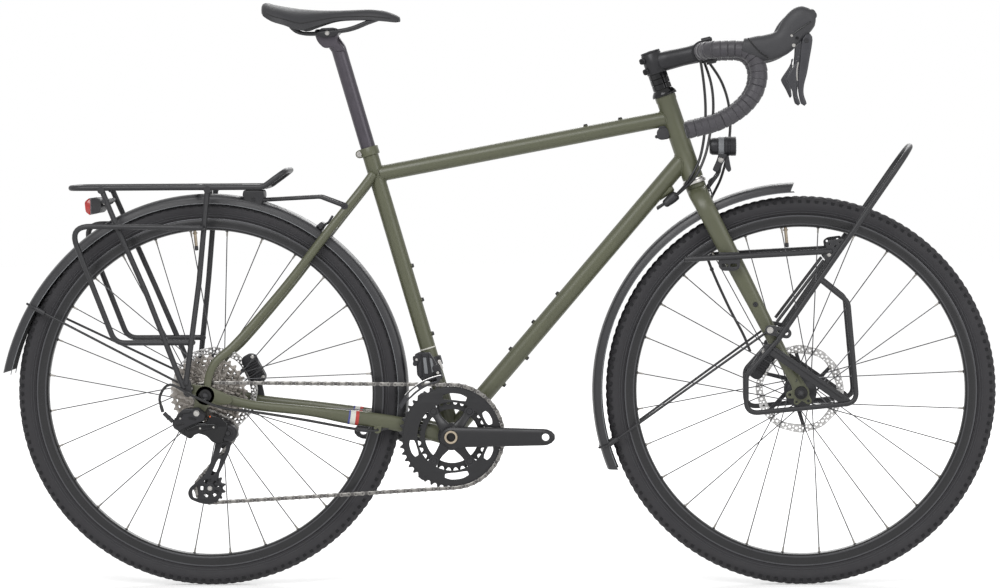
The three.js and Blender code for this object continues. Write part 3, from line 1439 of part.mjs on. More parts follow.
function rearCageSolid() {
  const plane = -SMALL_SPROCKET_PLANE;
  const [guide, tension] = [GUIDE_PLACE, TENSION_PLACE].map(([x, z]) => [x, AXLE_HEIGHT + z]);
  const pivot = [CAGE_PIVOT_PLACE[0], AXLE_HEIGHT + CAGE_PIVOT_PLACE[1]];
  const near = plane - CAGE_CLEARANCE;
  const far = plane + CAGE_CLEARANCE;
  const outerPlate = link(guide, tension, CAGE_GUIDE_RADIUS, CAGE_TENSION_RADIUS, near - CAGE_PLATE, near);
  const innerPlate = link(guide, tension, CAGE_GUIDE_RADIUS, CAGE_TENSION_RADIUS, far, far + CAGE_PLATE);
  const windowTop = [0.32, 0.68].map((share) => [
    guide[0] + (tension[0] - guide[0]) * share,
    guide[1] + (tension[1] - guide[1]) * share,
  ]);
  const [before, beyond] = [near - CUT_OVERRUN, far + CUT_OVERRUN];
  const cageWindow = link(...windowTop, CAGE_WINDOW_RADIUS, CAGE_WINDOW_RADIUS, before, beyond);
  const bolts = [guide, tension].map(([x, z]) =>
    crossRod(x, z, near - CAGE_PLATE, far + CAGE_PLATE, PULLEY_BOLT_RADIUS, SLIM_SIDES),
  );
  const knuckleFace = near - CAGE_PLATE - SEAT_GAP;
  const pivotEnd = knuckleFace - KNUCKLE_LENGTH / 2;
  const pivotRod = crossRod(pivot[0], pivot[1], pivotEnd, near - CAGE_PLATE / 2, CAGE_PIVOT_RADIUS);
  return join(cut(join(outerPlate, innerPlate), cageWindow), ...bolts, pivotRod);
}

// The cable adjuster between the derailleur's upper knuckle and the end of its housing.
function barrelSolid(upper) {
  const [x, z, y] = HOUSING_ROUTE.at(-1);
  const start = point(upper[0], y, upper[1]);
  const end = point(x, y, z);
  const gap = (SEAT_GAP + HOSE_RADIUS) / start.distanceTo(end);
  return rod(start, end.clone().lerp(start, gap), BARREL_RADIUS, SLIM_SIDES);
}

function rearDerailleurSolid() {
  const pivot = [CAGE_PIVOT_PLACE[0], AXLE_HEIGHT + CAGE_PIVOT_PLACE[1]];
  const bolt = [HANGER_BOLT_PLACE[0], AXLE_HEIGHT + HANGER_BOLT_PLACE[1]];
  const upper = [UPPER_KNUCKLE_PLACE[0], AXLE_HEIGHT + UPPER_KNUCKLE_PLACE[1]];
  const face = -SMALL_SPROCKET_PLANE - CAGE_CLEARANCE - CAGE_PLATE - SEAT_GAP * 2;
  const hangerFace = -REAR_HUB_WIDTH / 2 - DROPOUT_THICKNESS - SEAT_GAP;
  const knuckle = crossRod(pivot[0], pivot[1], face, face - KNUCKLE_LENGTH, KNUCKLE_RADIUS);
  const back = hangerFace - LINKAGE_THICKNESS;
  const parts = [
    knuckle,
    link(bolt, upper, HANGER_RADIUS, LINKAGE_RADIUS, back, hangerFace),
    link(upper, pivot, LINKAGE_RADIUS, LINKAGE_RADIUS, face - KNUCKLE_LENGTH, face - KNUCKLE_LENGTH / 3),
    crossRod(upper[0], upper[1], back, face - KNUCKLE_LENGTH / 3, LINKAGE_RADIUS),
    barrelSolid(upper),
  ];
  const [holeStart, holeEnd] = [face + CUT_OVERRUN, face - KNUCKLE_LENGTH / 2 - SEAT_GAP];
  const pivotHole = crossRod(pivot[0], pivot[1], holeStart, holeEnd, CAGE_PIVOT_RADIUS + RUNNING_GAP);
  return cut(join(...parts), pivotHole);
}

// The front derailleur's cage: two plates beside the chain, bridged above it.
function frontCageSolid() {
  const ringTop = pitchRadius(OUTER_RING_TEETH);
  const inside = CHAIN_WIDTH / 2 + SHIFTER_CLEARANCE;
  const bandOf = (low, high, from, to, arc = SHIFTER_ARC) => {
    const [start, end] = arc.map(THREE.MathUtils.degToRad);
    const outline = [];
    for (let i = 0; i <= SHIFTER_PIECES; i++) {
      const turn = start + ((end - start) * i) / SHIFTER_PIECES;
      outline.push(new THREE.Vector2(bracket.x + high * Math.cos(turn), bracket.z + high * Math.sin(turn)));
    }
    for (let i = SHIFTER_PIECES; i >= 0; i--) {
      const turn = start + ((end - start) * i) / SHIFTER_PIECES;
      outline.push(new THREE.Vector2(bracket.x + low * Math.cos(turn), bracket.z + low * Math.sin(turn)));
    }
    return plate(new THREE.Shape(outline), from, to);
  };
  const low = ringTop + TOOTH_HEIGHT + SHIFTER_LIFT;
  const high = low + SHIFTER_DEPTH;
  const plane = -OUTER_RING_PLANE;
  const outer = bandOf(low, high, plane - inside - SHIFTER_PLATE, plane - inside);
  const inner = bandOf(low, high, plane + inside, plane + inside + SHIFTER_PLATE);
  const roofs = SHIFTER_ROOF_ARCS.map((arc) =>
    bandOf(high - SHIFTER_PLATE, high, plane - inside - SHIFTER_PLATE, plane + inside + SHIFTER_PLATE, arc),
  );
  return join(outer, inner, ...roofs);
}

function frontDerailleurSolid() {
  const plane = -OUTER_RING_PLANE + CHAIN_WIDTH / 2 + SHIFTER_CLEARANCE + SHIFTER_PLATE + SEAT_GAP;
  const shape = new THREE.Shape(SHIFTER_BODY.map(([x, z]) => new THREE.Vector2(x, z)));
  const body = plate(shape, plane, -SEAT_TUBE_RADIUS);
  return cut(body, seatTubeOuter(WELD_GAP));
}

// Fork, in the steering frame: x across the axis, z up along it from the foot
const bladeAt = (height) => {
  const top = BLADE_STATIONS[0][0];
  return FORK_RAKE * (1 - height / top);
};
const bladeRows = (side, extra = 0) =>
  BLADE_STATIONS.map(([height, across, width, depth]) => [
    point(bladeAt(height), side * across, height),
    width + extra,
    depth + extra,
  ]);
const bladeLoft = (side, extra) => loft(ovalRings(bladeRows(side, extra), STAY_SIDES, point(1, 0, 0)));

const crownOuter = (extra) =>
  rod(
    point(0, 0, BLADE_STATIONS[0][0] - CROWN_DEPTH / 2 - extra),
    point(0, 0, CROWN_HEIGHT - SEAT_GAP + extra),
    CROWN_RADIUS + extra,
  );

function forkSolid() {
  const top = BLADE_STATIONS[0][0];
  const crown = crownOuter(0);
  const steererTop = STEM_TOP + SEAT_GAP;
  const steerer = rod(point(0, 0, top), point(0, 0, steererTop + STEM_CAP_HEIGHT), STEERER_RADIUS);
  const capTop = point(0, 0, steererTop + STEM_CAP_HEIGHT);
  const cap = rod(point(0, 0, steererTop), capTop, STEERER_RADIUS + SPACER_WALL);
  const half = FRONT_HUB_WIDTH / 2;
  const outer = half + FORK_END_THICKNESS;
  const parts = [crown, steerer, cap];
  const tools = [crossRod(FORK_RAKE, 0, -FRONT_HUB_WIDTH, FRONT_HUB_WIDTH, AXLE_RADIUS + SEAT_GAP)];
  for (const side of [-1, 1]) {
    parts.push(bladeLoft(side, 0), crossRod(FORK_RAKE, 0, side * half, side * outer, FORK_END_RADIUS));
    for (const height of FORK_BOSS_HEIGHTS) {
      const [near, far] = [side * half, side * FORK_BOSS_REACH];
      parts.push(crossRod(bladeAt(height), height, near, far, FORK_BOSS_RADIUS, SLIM_SIDES));
    }
    tools.push(crossRod(FORK_RAKE, 0, side * outer, side * FRONT_HUB_WIDTH, FORK_END_RADIUS + SEAT_GAP));
    tools.push(crossRod(FORK_RAKE, 0, 0, side * half, FORK_END_RADIUS * 2));
  }
  return cut(join(...parts), ...tools);
}

function spacerSolid() {
  const bottom = HEAD_TOP + SEAT_GAP;
  const shoulder = HEAD_TOP + UPPER_CUP_HEIGHT;
  const outer = SPACER_BORE + SPACER_WALL;
  const rows = [
    [SPACER_BORE, bottom],
    [HEAD_TUBE_RADIUS + HEAD_LIP, bottom],
    [CUP_FLARE_RADIUS, bottom + UPPER_CUP_HEIGHT / 3],
    [outer, shoulder],
    [outer, STEM_BOTTOM - SEAT_GAP],
    [SPACER_BORE, STEM_BOTTOM - SEAT_GAP],
  ];
  return revolve(rows, TUBE_SIDES).rotateX(Math.PI / 2);
}

const barCentre = [
  STEM_LENGTH * Math.cos(THREE.MathUtils.degToRad(STEM_DROP_ANGLE)),
  (STEM_BOTTOM + STEM_TOP) / 2 - STEM_LENGTH * Math.sin(THREE.MathUtils.degToRad(STEM_DROP_ANGLE)),
];

function stemSolid() {
  const middle = (STEM_BOTTOM + STEM_TOP) / 2;
  const [x, z] = barCentre;
  const clamp = rod(point(0, 0, STEM_BOTTOM), point(0, 0, STEM_TOP), SPACER_BORE + STEM_CLAMP_WALL);
  const body = rod(point(0, 0, middle), point(x, 0, z), STEM_RADIUS);
  const half = BAR_CLAMP_WIDTH / 2;
  const barClamp = crossRod(x, z, -half, half, BAR_RADIUS + SEAT_GAP + BAR_CLAMP_WALL);
  const ears = [-1, 1].map((share) => {
    const height = middle + (share * STEM_CLAMP_HEIGHT) / 4;
    const back = -SPACER_BORE - STEM_CLAMP_WALL;
    return crossRod(back, height, -STEM_RADIUS / 2, STEM_RADIUS / 2, STEM_CLAMP_HEIGHT / 6, SLIM_SIDES);
  });
  const [boreFoot, boreHead] = [STEM_BOTTOM - CUT_OVERRUN, STEM_TOP + CUT_OVERRUN];
  const steererBore = rod(point(0, 0, boreFoot), point(0, 0, boreHead), SPACER_BORE);
  const boreRadius = (BAR_RADIUS + SEAT_GAP) / Math.cos(Math.PI / HUB_FACETS);
  const barBore = crossRod(x, z, -BAR_CLAMP_WIDTH, BAR_CLAMP_WIDTH, boreRadius);
  return cut(join(clamp, body, barClamp, ...ears), steererBore, barBore);
}

// Handlebar and controls, in level coordinates from the middle of the bar clamp
const worldBarCentre = onSteering(barCentre[1], barCentre[0]);
const onBar = (x, y, z) => worldBarCentre.clone().add(point(x, y, z));

function barPlaces() {
  const half = BAR_STATION_SHARES.map(([x, y, z]) => onBar(x * BAR_REACH, y * BAR_HALF_WIDTH, z * BAR_DROP));
  return [...mirrored(half).reverse(), ...half];
}

const handlebarSolid = (extra = 0) => tube(barPlaces(), BAR_RADIUS + extra, BAR_SIDES);

function hoodSolid(side) {
  const y = side * HOOD_PLANE;
  const rows = HOOD_STATIONS.map(([x, z, height, width]) => [onBar(x, y, z), height, width]);
  const [px, pz] = LEVER_PIVOT;
  const pivot = onBar(px, y, pz);
  const half = LEVER_WIDTH / 2 + SEAT_GAP;
  const slot = crossRod(pivot.x, pivot.z, y - half, y + half, HOOD_SLOT_RADIUS);
  const slotMouth = plate(
    new THREE.Shape([
      new THREE.Vector2(pivot.x - HOOD_SLOT_RADIUS * 0.55, pivot.z),
      new THREE.Vector2(pivot.x - HOOD_SLOT_RADIUS, pivot.z - HOOD_SLOT_RADIUS * 2),
      new THREE.Vector2(pivot.x + HOOD_SLOT_RADIUS * 2, pivot.z - HOOD_SLOT_RADIUS * 2),
      new THREE.Vector2(pivot.x + HOOD_SLOT_RADIUS * 2, pivot.z),
    ]),
    y - half,
    y + half,
  );
  const [pinStart, pinEnd] = [y - HOOD_SLOT_RADIUS, y + HOOD_SLOT_RADIUS];
  const pinBore = LEVER_PIN_RADIUS + RUNNING_GAP;
  const pinHole = crossRod(pivot.x, pivot.z, pinStart, pinEnd, pinBore, SLIM_SIDES * 2);
  return cut(loft(ovalRings(rows, HOOD_SIDES)), handlebarSolid(SEAT_GAP), slot, slotMouth, pinHole);
}

const outlineOn = (outline) => new THREE.Shape(outline.map(([x, z]) => new THREE.Vector2(x, z)));

function leverSolid(side) {
  const half = LEVER_WIDTH / 2;
  const blade = plate(outlineOn(LEVER_OUTLINE), -half, half);
  const [px, pz] = LEVER_PIVOT;
  const pin = crossRod(px, pz, -half * 2, half * 2, LEVER_PIN_RADIUS, SLIM_SIDES);
  const back = PADDLE_OUTLINE[0][0];
  const front = LEVER_OUTLINE[9][0];
  const [pinRoot, pinTip] = [front + LEVER_WIDTH / 4, back].map((x) => point(x, 0, PADDLE_PIN_HEIGHT));
  const paddlePin = rod(pinRoot, pinTip, PADDLE_PIN_RADIUS, WIRE_SIDES);
  const solid = join(blade, pin, paddlePin);
  return solid.translate(worldBarCentre.x, side * HOOD_PLANE, worldBarCentre.z);
}

function paddleSolid(side) {
  const half = PADDLE_WIDTH / 2;
  const body = plate(outlineOn(PADDLE_OUTLINE), -half, half);
  const [back, front] = [PADDLE_OUTLINE[0][0] - CUT_OVERRUN, LEVER_OUTLINE[9][0] + CUT_OVERRUN];
  const [holeStart, holeEnd] = [back, front].map((x) => point(x, 0, PADDLE_PIN_HEIGHT));
  const hole = rod(holeStart, holeEnd, PADDLE_PIN_RADIUS + RUNNING_GAP, SLIM_SIDES);
  return cut(body, hole).translate(worldBarCentre.x, side * HOOD_PLANE, worldBarCentre.z);
}

// Mudguards: an arched section swept about the axle
function guardSolid(centre, arc, pieces, radiusAt) {
  const half = GUARD_WIDTH / 2;
  const section = [
    [GUARD_SKIRT, half],
    [GUARD_SKIRT / 4, half * 0.85],
    [0, half * 0.3],
  ];
  const outer = [...section, ...section.map(([drop, y]) => [drop, -y]).reverse()];
  const inner = [
    [GUARD_SKIRT, half - GUARD_WALL],
    [GUARD_WALL, half * 0.6],
  ];
  const innerBack = [...inner.map(([drop, y]) => [drop, -y]), ...[...inner].reverse()];
  const [start, end] = arc.map(THREE.MathUtils.degToRad);
  const rings = Array.from({ length: pieces + 1 }, (_, i) => {
    const turn = start + ((end - start) * i) / pieces;
    return [...outer, ...innerBack].map(([drop, y]) => {
      const radius = radiusAt(THREE.MathUtils.radToDeg(turn)) - drop;
      return point(centre.x + radius * Math.cos(turn), y, centre.z + radius * Math.sin(turn));
    });
  });
  return loft(rings);
}

const rearGuardRadius = (degrees) => {
  const share = Math.max(0, (degrees - REAR_FLARE_START) / (REAR_GUARD_ARC[1] - REAR_FLARE_START));
  return REAR_GUARD_RADIUS + REAR_GUARD_FLARE * share * share;
};

// The place where a stay wire rests on the flat facets of a mudguard.
function stayCrossing(centre, degrees, radius, arc, pieces) {
  const span = (arc[1] - arc[0]) / pieces;
  const middle = arc[0] + (Math.floor((degrees - arc[0]) / span) + 0.5) * span;
  const [half, off] = [span / 2, degrees - middle].map(THREE.MathUtils.degToRad);
  const turn = THREE.MathUtils.degToRad(degrees);
  const reach = (radius * Math.cos(half)) / Math.cos(off) + STAY_WIRE_RADIUS + SEAT_GAP;
  return [centre.x + reach * Math.cos(turn), centre.z + reach * Math.sin(turn)];
}

const frontCrossing = stayCrossing(
  frontAxle, FRONT_STAY_ANGLE, FRONT_GUARD_RADIUS, FRONT_GUARD_ARC, FRONT_GUARD_PIECES,
);
const rearCrossing = stayCrossing(
  rearAxle, REAR_STAY_ANGLE, rearGuardRadius(REAR_STAY_ANGLE), REAR_GUARD_ARC, REAR_GUARD_PIECES,
);

// A bent wire that crosses over the mudguard and ends in a bored lug on either side.
function stayWireSolid(crossing, lug, lugHalfWidth, boreRadius) {
  const [x, z] = crossing;
  const side = GUARD_WIDTH / 2 + STAY_WIRE_RADIUS * 2;
  const corners = [
    point(lug[0], lugHalfWidth, lug[1]),
    point(x, side, z),
    point(x, -side, z),
    point(lug[0], -lugHalfWidth, lug[1]),
  ];
  const wire = tube(rounded(corners, STAY_WIRE_RADIUS * 2, 2), STAY_WIRE_RADIUS, WIRE_SIDES);
  const half = LUG_THICKNESS / 2;
  const lugs = [-lugHalfWidth, lugHalfWidth].map((y) =>
    crossRod(lug[0], lug[1], y - half, y + half, boreRadius + LUG_THICKNESS, SLIM_SIDES),
  );
  const reach = lugHalfWidth + LUG_THICKNESS;
  const bore = crossRod(lug[0], lug[1], -reach, reach, boreRadius + SEAT_GAP, SLIM_SIDES);
  return cut(join(wire, ...lugs), bore);
}

const frontLugHalfWidth = FORK_BOSS_REACH + SEAT_GAP * 2 + LUG_THICKNESS / 2;
const rearLugHalfWidth = REAR_HUB_WIDTH / 2 + DROPOUT_THICKNESS + SEAT_GAP * 2 + LUG_THICKNESS / 2;
const eyelet = [EYELET_PLACE[0], AXLE_HEIGHT + EYELET_PLACE[1]];
const rearStaySolid = () => stayWireSolid(rearCrossing, eyelet, rearLugHalfWidth, LUG_BOLT_RADIUS);
const frontStaySolid = () =>
  stayWireSolid(frontCrossing, ahead(FRONT_FOOT[0]), frontLugHalfWidth, FORK_BOSS_RADIUS);

function frontGuardSolid() {
  const guard = guardSolid(frontAxle, FRONT_GUARD_ARC, FRONT_GUARD_PIECES, () => FRONT_GUARD_RADIUS);
  const under = onSteering(BLADE_STATIONS[0][0]);
  const away = under.clone().sub(frontAxle).normalize();
  const base = frontAxle.clone().addScaledVector(away, FRONT_GUARD_RADIUS - GUARD_WALL);
  const tab = rod(base, under, BOSS_RADIUS * 2, SLIM_SIDES);
  const fork = steered(join(bladeLoft(1, 2 * WELD_GAP), bladeLoft(-1, 2 * WELD_GAP)));
  return cut(join(guard, tab), fork, steered(crownOuter(SEAT_GAP)));
}

function rearGuardSolid() {
  const guard = guardSolid(rearAxle, REAR_GUARD_ARC, REAR_GUARD_PIECES, rearGuardRadius);
  const tabs = [SEAT_BRIDGE_PLACE, CHAIN_BRIDGE_PLACE].map(([bx, bz]) => {
    const bridge = point(bx, 0, bz);
    const away = bridge.clone().sub(rearAxle).normalize();
    const base = rearAxle.clone().addScaledVector(away, REAR_GUARD_RADIUS - GUARD_WALL);
    return rod(base, bridge, BOSS_RADIUS * 2, SLIM_SIDES);
  });
  const bridges = [SEAT_BRIDGE_PLACE, CHAIN_BRIDGE_PLACE].map(([bx, bz]) =>
    crossRod(bx, bz, -GUARD_WIDTH, GUARD_WIDTH, BRIDGE_RADIUS + WELD_GAP, SLIM_SIDES),
  );
  return cut(join(guard, ...tabs), ...bridges);
}

// Turns a solid drawn in the steering frame into the bicycle's frame.
function steered(geometry) {
  return geometry
    .rotateY(headRadians - Math.PI / 2)
    .translate(steerFoot.x, steerFoot.y, steerFoot.z);
}

// Carriers
const sidePlaces = (corners, y) => corners.map(([x, z]) => point(x, y, z));
const rackTube = (corners, bend, pieces) =>
  tube(rounded(corners, bend, pieces), RACK_TUBE_RADIUS, RACK_SIDES);

function legPlaces(corners, side) {
  const last = corners.length - 1;
  return corners.map(([x, z], i) => {
    const spread = i === last ? LEG_FOOT_HALF_WIDTH : LEG_HALF_WIDTH;
    const y = i === 0 ? DECK_HALF_WIDTH : spread;
    return point(x, side * y, z);
  });
}

function rearRackSolid() {
  const near = sidePlaces(DECK_CORNERS, -DECK_HALF_WIDTH);
  const far = sidePlaces(DECK_CORNERS, DECK_HALF_WIDTH);
  const parts = [rackTube([...near, ...far.reverse()], RACK_BEND, BEND_PIECES)];
  const [frontX, frontZ] = DECK_CORNERS[0];
  const [deckX, deck] = DECK_CORNERS[1];
  const rearX = DECK_CORNERS[2][0];
  const slim = RACK_TUBE_RADIUS * 0.8;
  parts.push(crossRod(frontX, frontZ, -DECK_HALF_WIDTH, DECK_HALF_WIDTH, slim, RACK_SIDES));
  parts.push(rod(point(deckX, 0, deck), point(rearX, 0, deck), slim, RACK_SIDES));
  for (const x of [deckX, ...DECK_CROSSBARS]) {
    parts.push(crossRod(x, deck, -DECK_HALF_WIDTH, DECK_HALF_WIDTH, slim, RACK_SIDES));
  }
  const [lampX, lampZ] = LAMP_BAR_PLACE;
  parts.push(crossRod(lampX, lampZ, -LEG_HALF_WIDTH, LEG_HALF_WIDTH, slim, RACK_SIDES));
  for (const side of [-1, 1]) parts.push(...rackSide(side));
  const stays = [-1, 1].map((side) => stayLoft(SEATSTAY_STATIONS, side, 2 * WELD_GAP));
  return cut(join(...parts), ...stays);
}

// Legs, pannier rail, foot and front strut of one side of the rear carrier.
function rackSide(side) {
  const face = side * (REAR_HUB_WIDTH / 2 + DROPOUT_THICKNESS + SEAT_GAP);
  const lug = side * (rearLugHalfWidth + LUG_THICKNESS / 2 + SEAT_GAP);
  const loop = sidePlaces(PANNIER_CORNERS, side * PANNIER_HALF_WIDTH);
  const inward = (place) => point(place.x, side * LEG_HALF_WIDTH, place.z);
  const [[sx, sz, sy], [ex, ez, ey]] = RACK_STRUT;
  return [
    ...REAR_LEGS.map((leg) => tube(legPlaces(leg, side), RACK_TUBE_RADIUS, RACK_SIDES)),
    tube([inward(loop[0]), ...loop, inward(loop.at(-1))], RACK_TUBE_RADIUS, RACK_SIDES),
    crossRod(...eyelet, face, lug, LUG_BOLT_RADIUS, SLIM_SIDES),
    crossRod(...eyelet, lug, lug + side * RACK_TUBE_RADIUS * 2, EYELET_RADIUS, SLIM_SIDES),
    rod(point(sx, side * sy, sz), point(ex, side * ey, ez), RACK_TUBE_RADIUS * 0.7, RACK_SIDES),
  ];
}

function frontRackSolid() {
  const across = FRONT_RACK_HALF_WIDTH;
  const [foot, head] = FRONT_HOOP.map(ahead);
  const rail = FRONT_RAIL.map(ahead);
  const hoop = [point(foot[0], -across, foot[1]), point(head[0], -across, head[1])];
  const parts = [rackTube([...hoop, ...mirrored(hoop).reverse()], FRONT_HOOP_BEND, HOOP_PIECES)];
  for (const side of [-1, 1]) {
    const y = side * across;
    parts.push(rod(...sidePlaces(rail, y), RACK_TUBE_RADIUS, RACK_SIDES));
    parts.push(tube(sidePlaces(FRONT_LOOP.map(ahead), y), RACK_TUBE_RADIUS, RACK_SIDES));
    const [low, high] = [y - STRUT_THICKNESS / 2, y + STRUT_THICKNESS / 2];
    parts.push(link(...FRONT_STRUT.map(ahead), STRUT_HALF_WIDTH, STRUT_HALF_WIDTH, low, high));
    parts.push(link(...FRONT_PLATE.map(ahead), STRUT_HALF_WIDTH * 2, STRUT_HALF_WIDTH * 1.5, low, high));
    parts.push(link(...FRONT_FOOT.map(ahead), STRUT_HALF_WIDTH * 1.4, STRUT_HALF_WIDTH * 1.4, low, high));
    const [fx, fz] = ahead(FRONT_FOOT[0]);
    parts.push(crossRod(fx, fz, side * (FORK_BOSS_REACH + SEAT_GAP), y, FORK_BOSS_RADIUS, SLIM_SIDES));
    parts.push(forkClamp(side));
  }
  const blades = [-1, 1].map((side) => steered(bladeLoft(side, 2 * WELD_GAP)));
  return cut(join(...parts), ...blades);
}

// The block that joins the rail to the side of the fork blade.
function forkClamp(side) {
  const [x, z] = ahead(FRONT_CLAMP);
  const [length, height] = FRONT_CLAMP_SIZE;
  const inner = BLADE_STATIONS[4][1];
  const width = FRONT_RACK_HALF_WIDTH - inner;
  return new THREE.BoxGeometry(length, width, height).translate(x, side * (inner + width / 2), z);
}

// Lamps
function headlightSolid() {
  const [x, z] = ahead(HEADLIGHT_PLACE);
  const rows = HEADLIGHT_PROFILE;
  const last = rows.at(-1)[1];
  const profile = [[0, rows[0][1]], ...rows, [0, last]].map((row) => new THREE.Vector2(...row));
  const body = outward(new THREE.LatheGeometry(profile, HUB_FACETS)).rotateZ(-Math.PI / 2).translate(x, 0, z);
  const bracketPlaces = sidePlaces(HEADLIGHT_BRACKET.map(ahead), 0);
  const arm = tube(rounded(bracketPlaces, RACK_BEND), BOSS_RADIUS, SLIM_SIDES);
  const crownTop = point(0, 0, CROWN_HEIGHT + LOWER_CUP_HEIGHT);
  const crown = steered(rod(point(0, 0, 0), crownTop, CROWN_RADIUS + WELD_GAP));
  const blades = [-1, 1].map((side) => steered(bladeLoft(side, 2 * WELD_GAP)));
  return cut(join(body, arm), crown, ...blades);
}

function tailLightSolid() {
  const [x, z] = TAIL_LIGHT_PLACE;
  const [length, width, height] = TAIL_LIGHT_SIZE;
  const body = new THREE.BoxGeometry(length, width, height).translate(x, 0, z);
  const [barX, barZ] = LAMP_BAR_PLACE;
  const reach = RACK_TUBE_RADIUS * 0.8 + SEAT_GAP;
  const half = RACK_TUBE_RADIUS * 2;
  const arm = crossRod(barX, barZ, -half, half, RACK_TUBE_RADIUS * 2.8, SLIM_SIDES);
  const bore = crossRod(barX, barZ, -width, width, reach, RACK_SIDES);
  return cut(join(body, arm), bore);
}

// Hoses and cables
function hosePlaces(route) {
  const curve = new THREE.CatmullRomCurve3(route.map(([x, z, y]) => point(x, y, z)));
  return curve.getSpacedPoints(Math.ceil(curve.getLength() / HOSE_STEP));
}

function rearCalliperSolid() {
  const stays = [CHAINSTAY_STATIONS, SEATSTAY_STATIONS].map((rows) => stayLoft(rows, 1, 2 * WELD_GAP));
  return cut(calliperSolid(rearAxle, REAR_CALLIPER_ANGLE, rearRotorPlane, REAR_CALLIPER_FOOT), ...stays);
}

function frontCalliperSolid() {
  const block = calliperSolid(frontAxle, FRONT_CALLIPER_ANGLE, frontRotorPlane, ahead(FRONT_CALLIPER_FOOT));
  return cut(block, steered(bladeLoft(1, 2 * WELD_GAP)));
}

function controlCableSolid() {
  const [high, low] = GROMMET.map(([x, z, y]) => point(x, y, z));
  const cables = SHIFT_CABLE_ROUTES.map((route) => tube(hosePlaces(route), HOSE_RADIUS, HOSE_SIDES));
  const grommet = rod(low, high, GROMMET_RADIUS, SLIM_SIDES);
  const tubeTool = rod(downTubeStart, downTubeEnd, DOWN_TUBE_RADIUS + WELD_GAP);
  const port = cablePort(PORT_RADIUS + WELD_GAP, 0);
  return cut(join(grommet, ...cables), tubeTool, port, handlebarSolid(SEAT_GAP));
}

const frontHoseSolid = () =>
  cut(tube(hosePlaces(FRONT_HOSE_ROUTE), HOSE_RADIUS, HOSE_SIDES), handlebarSolid(SEAT_GAP));

const lampWireSolid = () =>
  cut(tube(hosePlaces(DYNAMO_ROUTE), WIRE_RADIUS, HOSE_SIDES), steered(bladeLoft(-1, 2 * WELD_GAP)));

function housingSolid() {
  const line = tube(hosePlaces(HOUSING_ROUTE), HOSE_RADIUS, HOSE_SIDES);
  const [before, after] = HOUSING_ROUTE.slice(1, 3).map(([x, z, y]) => point(x, y, z));
  const [front, back] = HOUSING_GUIDE.map((x) =>
    before.clone().lerp(after, (before.x - x) / (before.x - after.x)),
  );
  const guide = rod(front, back, HOUSING_GUIDE_RADIUS, SLIM_SIDES);
  return cut(join(line, guide), stayLoft(CHAINSTAY_STATIONS, -1, 2 * WELD_GAP));
}

// The steel triangle and what is fixed to it
function framePieces() {
  return [
    piece("head_tube", headTubeSolid(), paint),
    piece("top_tube", topTubeSolid(), paint),
    piece("down_tube", downTubeSolid(), paint),
    piece("seat_tube", seatTubeSolid(), paint),
    piece("bottom_bracket_shell", shellSolid(), paint),
    piece("chainstay_right", chainstaySolid(-1), paint),
    piece("chainstay_left", chainstaySolid(1), paint),
    piece("seatstay_right", seatstaySolid(-1), paint),
    piece("seatstay_left", seatstaySolid(1), paint),
    piece("headset_lower_cup", lowerCupSolid(), silver),
    piece("bottom_bracket_bearings", bracketBearingSolid(), blackAlloy),
    piece("front_derailleur_body", frontDerailleurSolid(), blackAlloy),
    piece("rear_derailleur_body", rearDerailleurSolid(), blackAlloy),
    piece("chain", chainSolid(), silver),
    piece("rear_fender", rearGuardSolid(), blackPlastic),
    piece("rear_fender_stay", rearStaySolid(), blackSteel),
    piece("rear_rack", rearRackSolid(), blackSteel),
    piece("tail_light", tailLightSolid(), redLens),
    piece("rear_derailleur_housing", housingSolid(), blackPlastic),
    piece("control_cables", controlCableSolid(), blackPlastic),
    piece("rear_calliper", rearCalliperSolid(), blackAlloy),
  ];
}

function seatPieces() {
  return [
    piece("seatpost", postSolid(), blackAlloy),
    piece("saddle_rails", tube(railPlaces(), RAIL_RADIUS, SLIM_SIDES), blackSteel),
    piece("saddle", saddleSolid(), leather),
  ];
}

function forkPieces() {
  const steering = assembly(
    steerFoot,
    piece("fork", forkSolid(), paint),
    piece("headset_spacers", spacerSolid(), blackAlloy),
    piece("stem", stemSolid(), blackAlloy),
  );
  steering.rotation.y = headRadians - Math.PI / 2;
  return [
    steering,
    piece("handlebar", handlebarSolid(), rubber),
    piece("hood_right", hoodSolid(-1), rubber),
    piece("hood_left", hoodSolid(1), rubber),
    piece("lever_right", leverSolid(-1), blackAlloy),
    piece("lever_left", leverSolid(1), blackAlloy),
    piece("shift_paddle_right", paddleSolid(-1), blackAlloy),
    piece("shift_paddle_left", paddleSolid(1), blackAlloy),
    piece("front_fender", frontGuardSolid(), blackPlastic),
    piece("front_fender_stay", frontStaySolid(), blackSteel),
    piece("front_rack", frontRackSolid(), blackSteel),
    piece("headlight", headlightSolid(), blackPlastic),
    piece("front_brake_hose", frontHoseSolid(), blackPlastic),
    piece("dynamo_wire", lampWireSolid(), blackPlastic),
    piece("front_calliper", frontCalliperSolid(), blackAlloy),
  ];
}

const frontWheelPieces = () => [
  piece("front_tyre", tyreSolid(), rubber),
  piece("front_rim", rimSolid(), blackAlloy),
  piece("front_hub", frontHubSolid(), silver),
  piece("front_rotor", rotorSolid(frontRotorPlane), silver),
  piece("front_axle", axleSolid(FRONT_HUB_WIDTH / 2, FORK_END_THICKNESS), blackAlloy),
];

const rearWheelPieces = () => [
  piece("rear_tyre", tyreSolid(), rubber),
  piece("rear_rim", rimSolid(), blackAlloy),
  piece("rear_hub", rearHubSolid(), silver),
  piece("rear_rotor", rotorSolid(rearRotorPlane), silver),
  piece("rear_axle", axleSolid(REAR_HUB_WIDTH / 2, DROPOUT_THICKNESS), blackAlloy),
  piece("cassette", cassetteSolid(), silver),
];

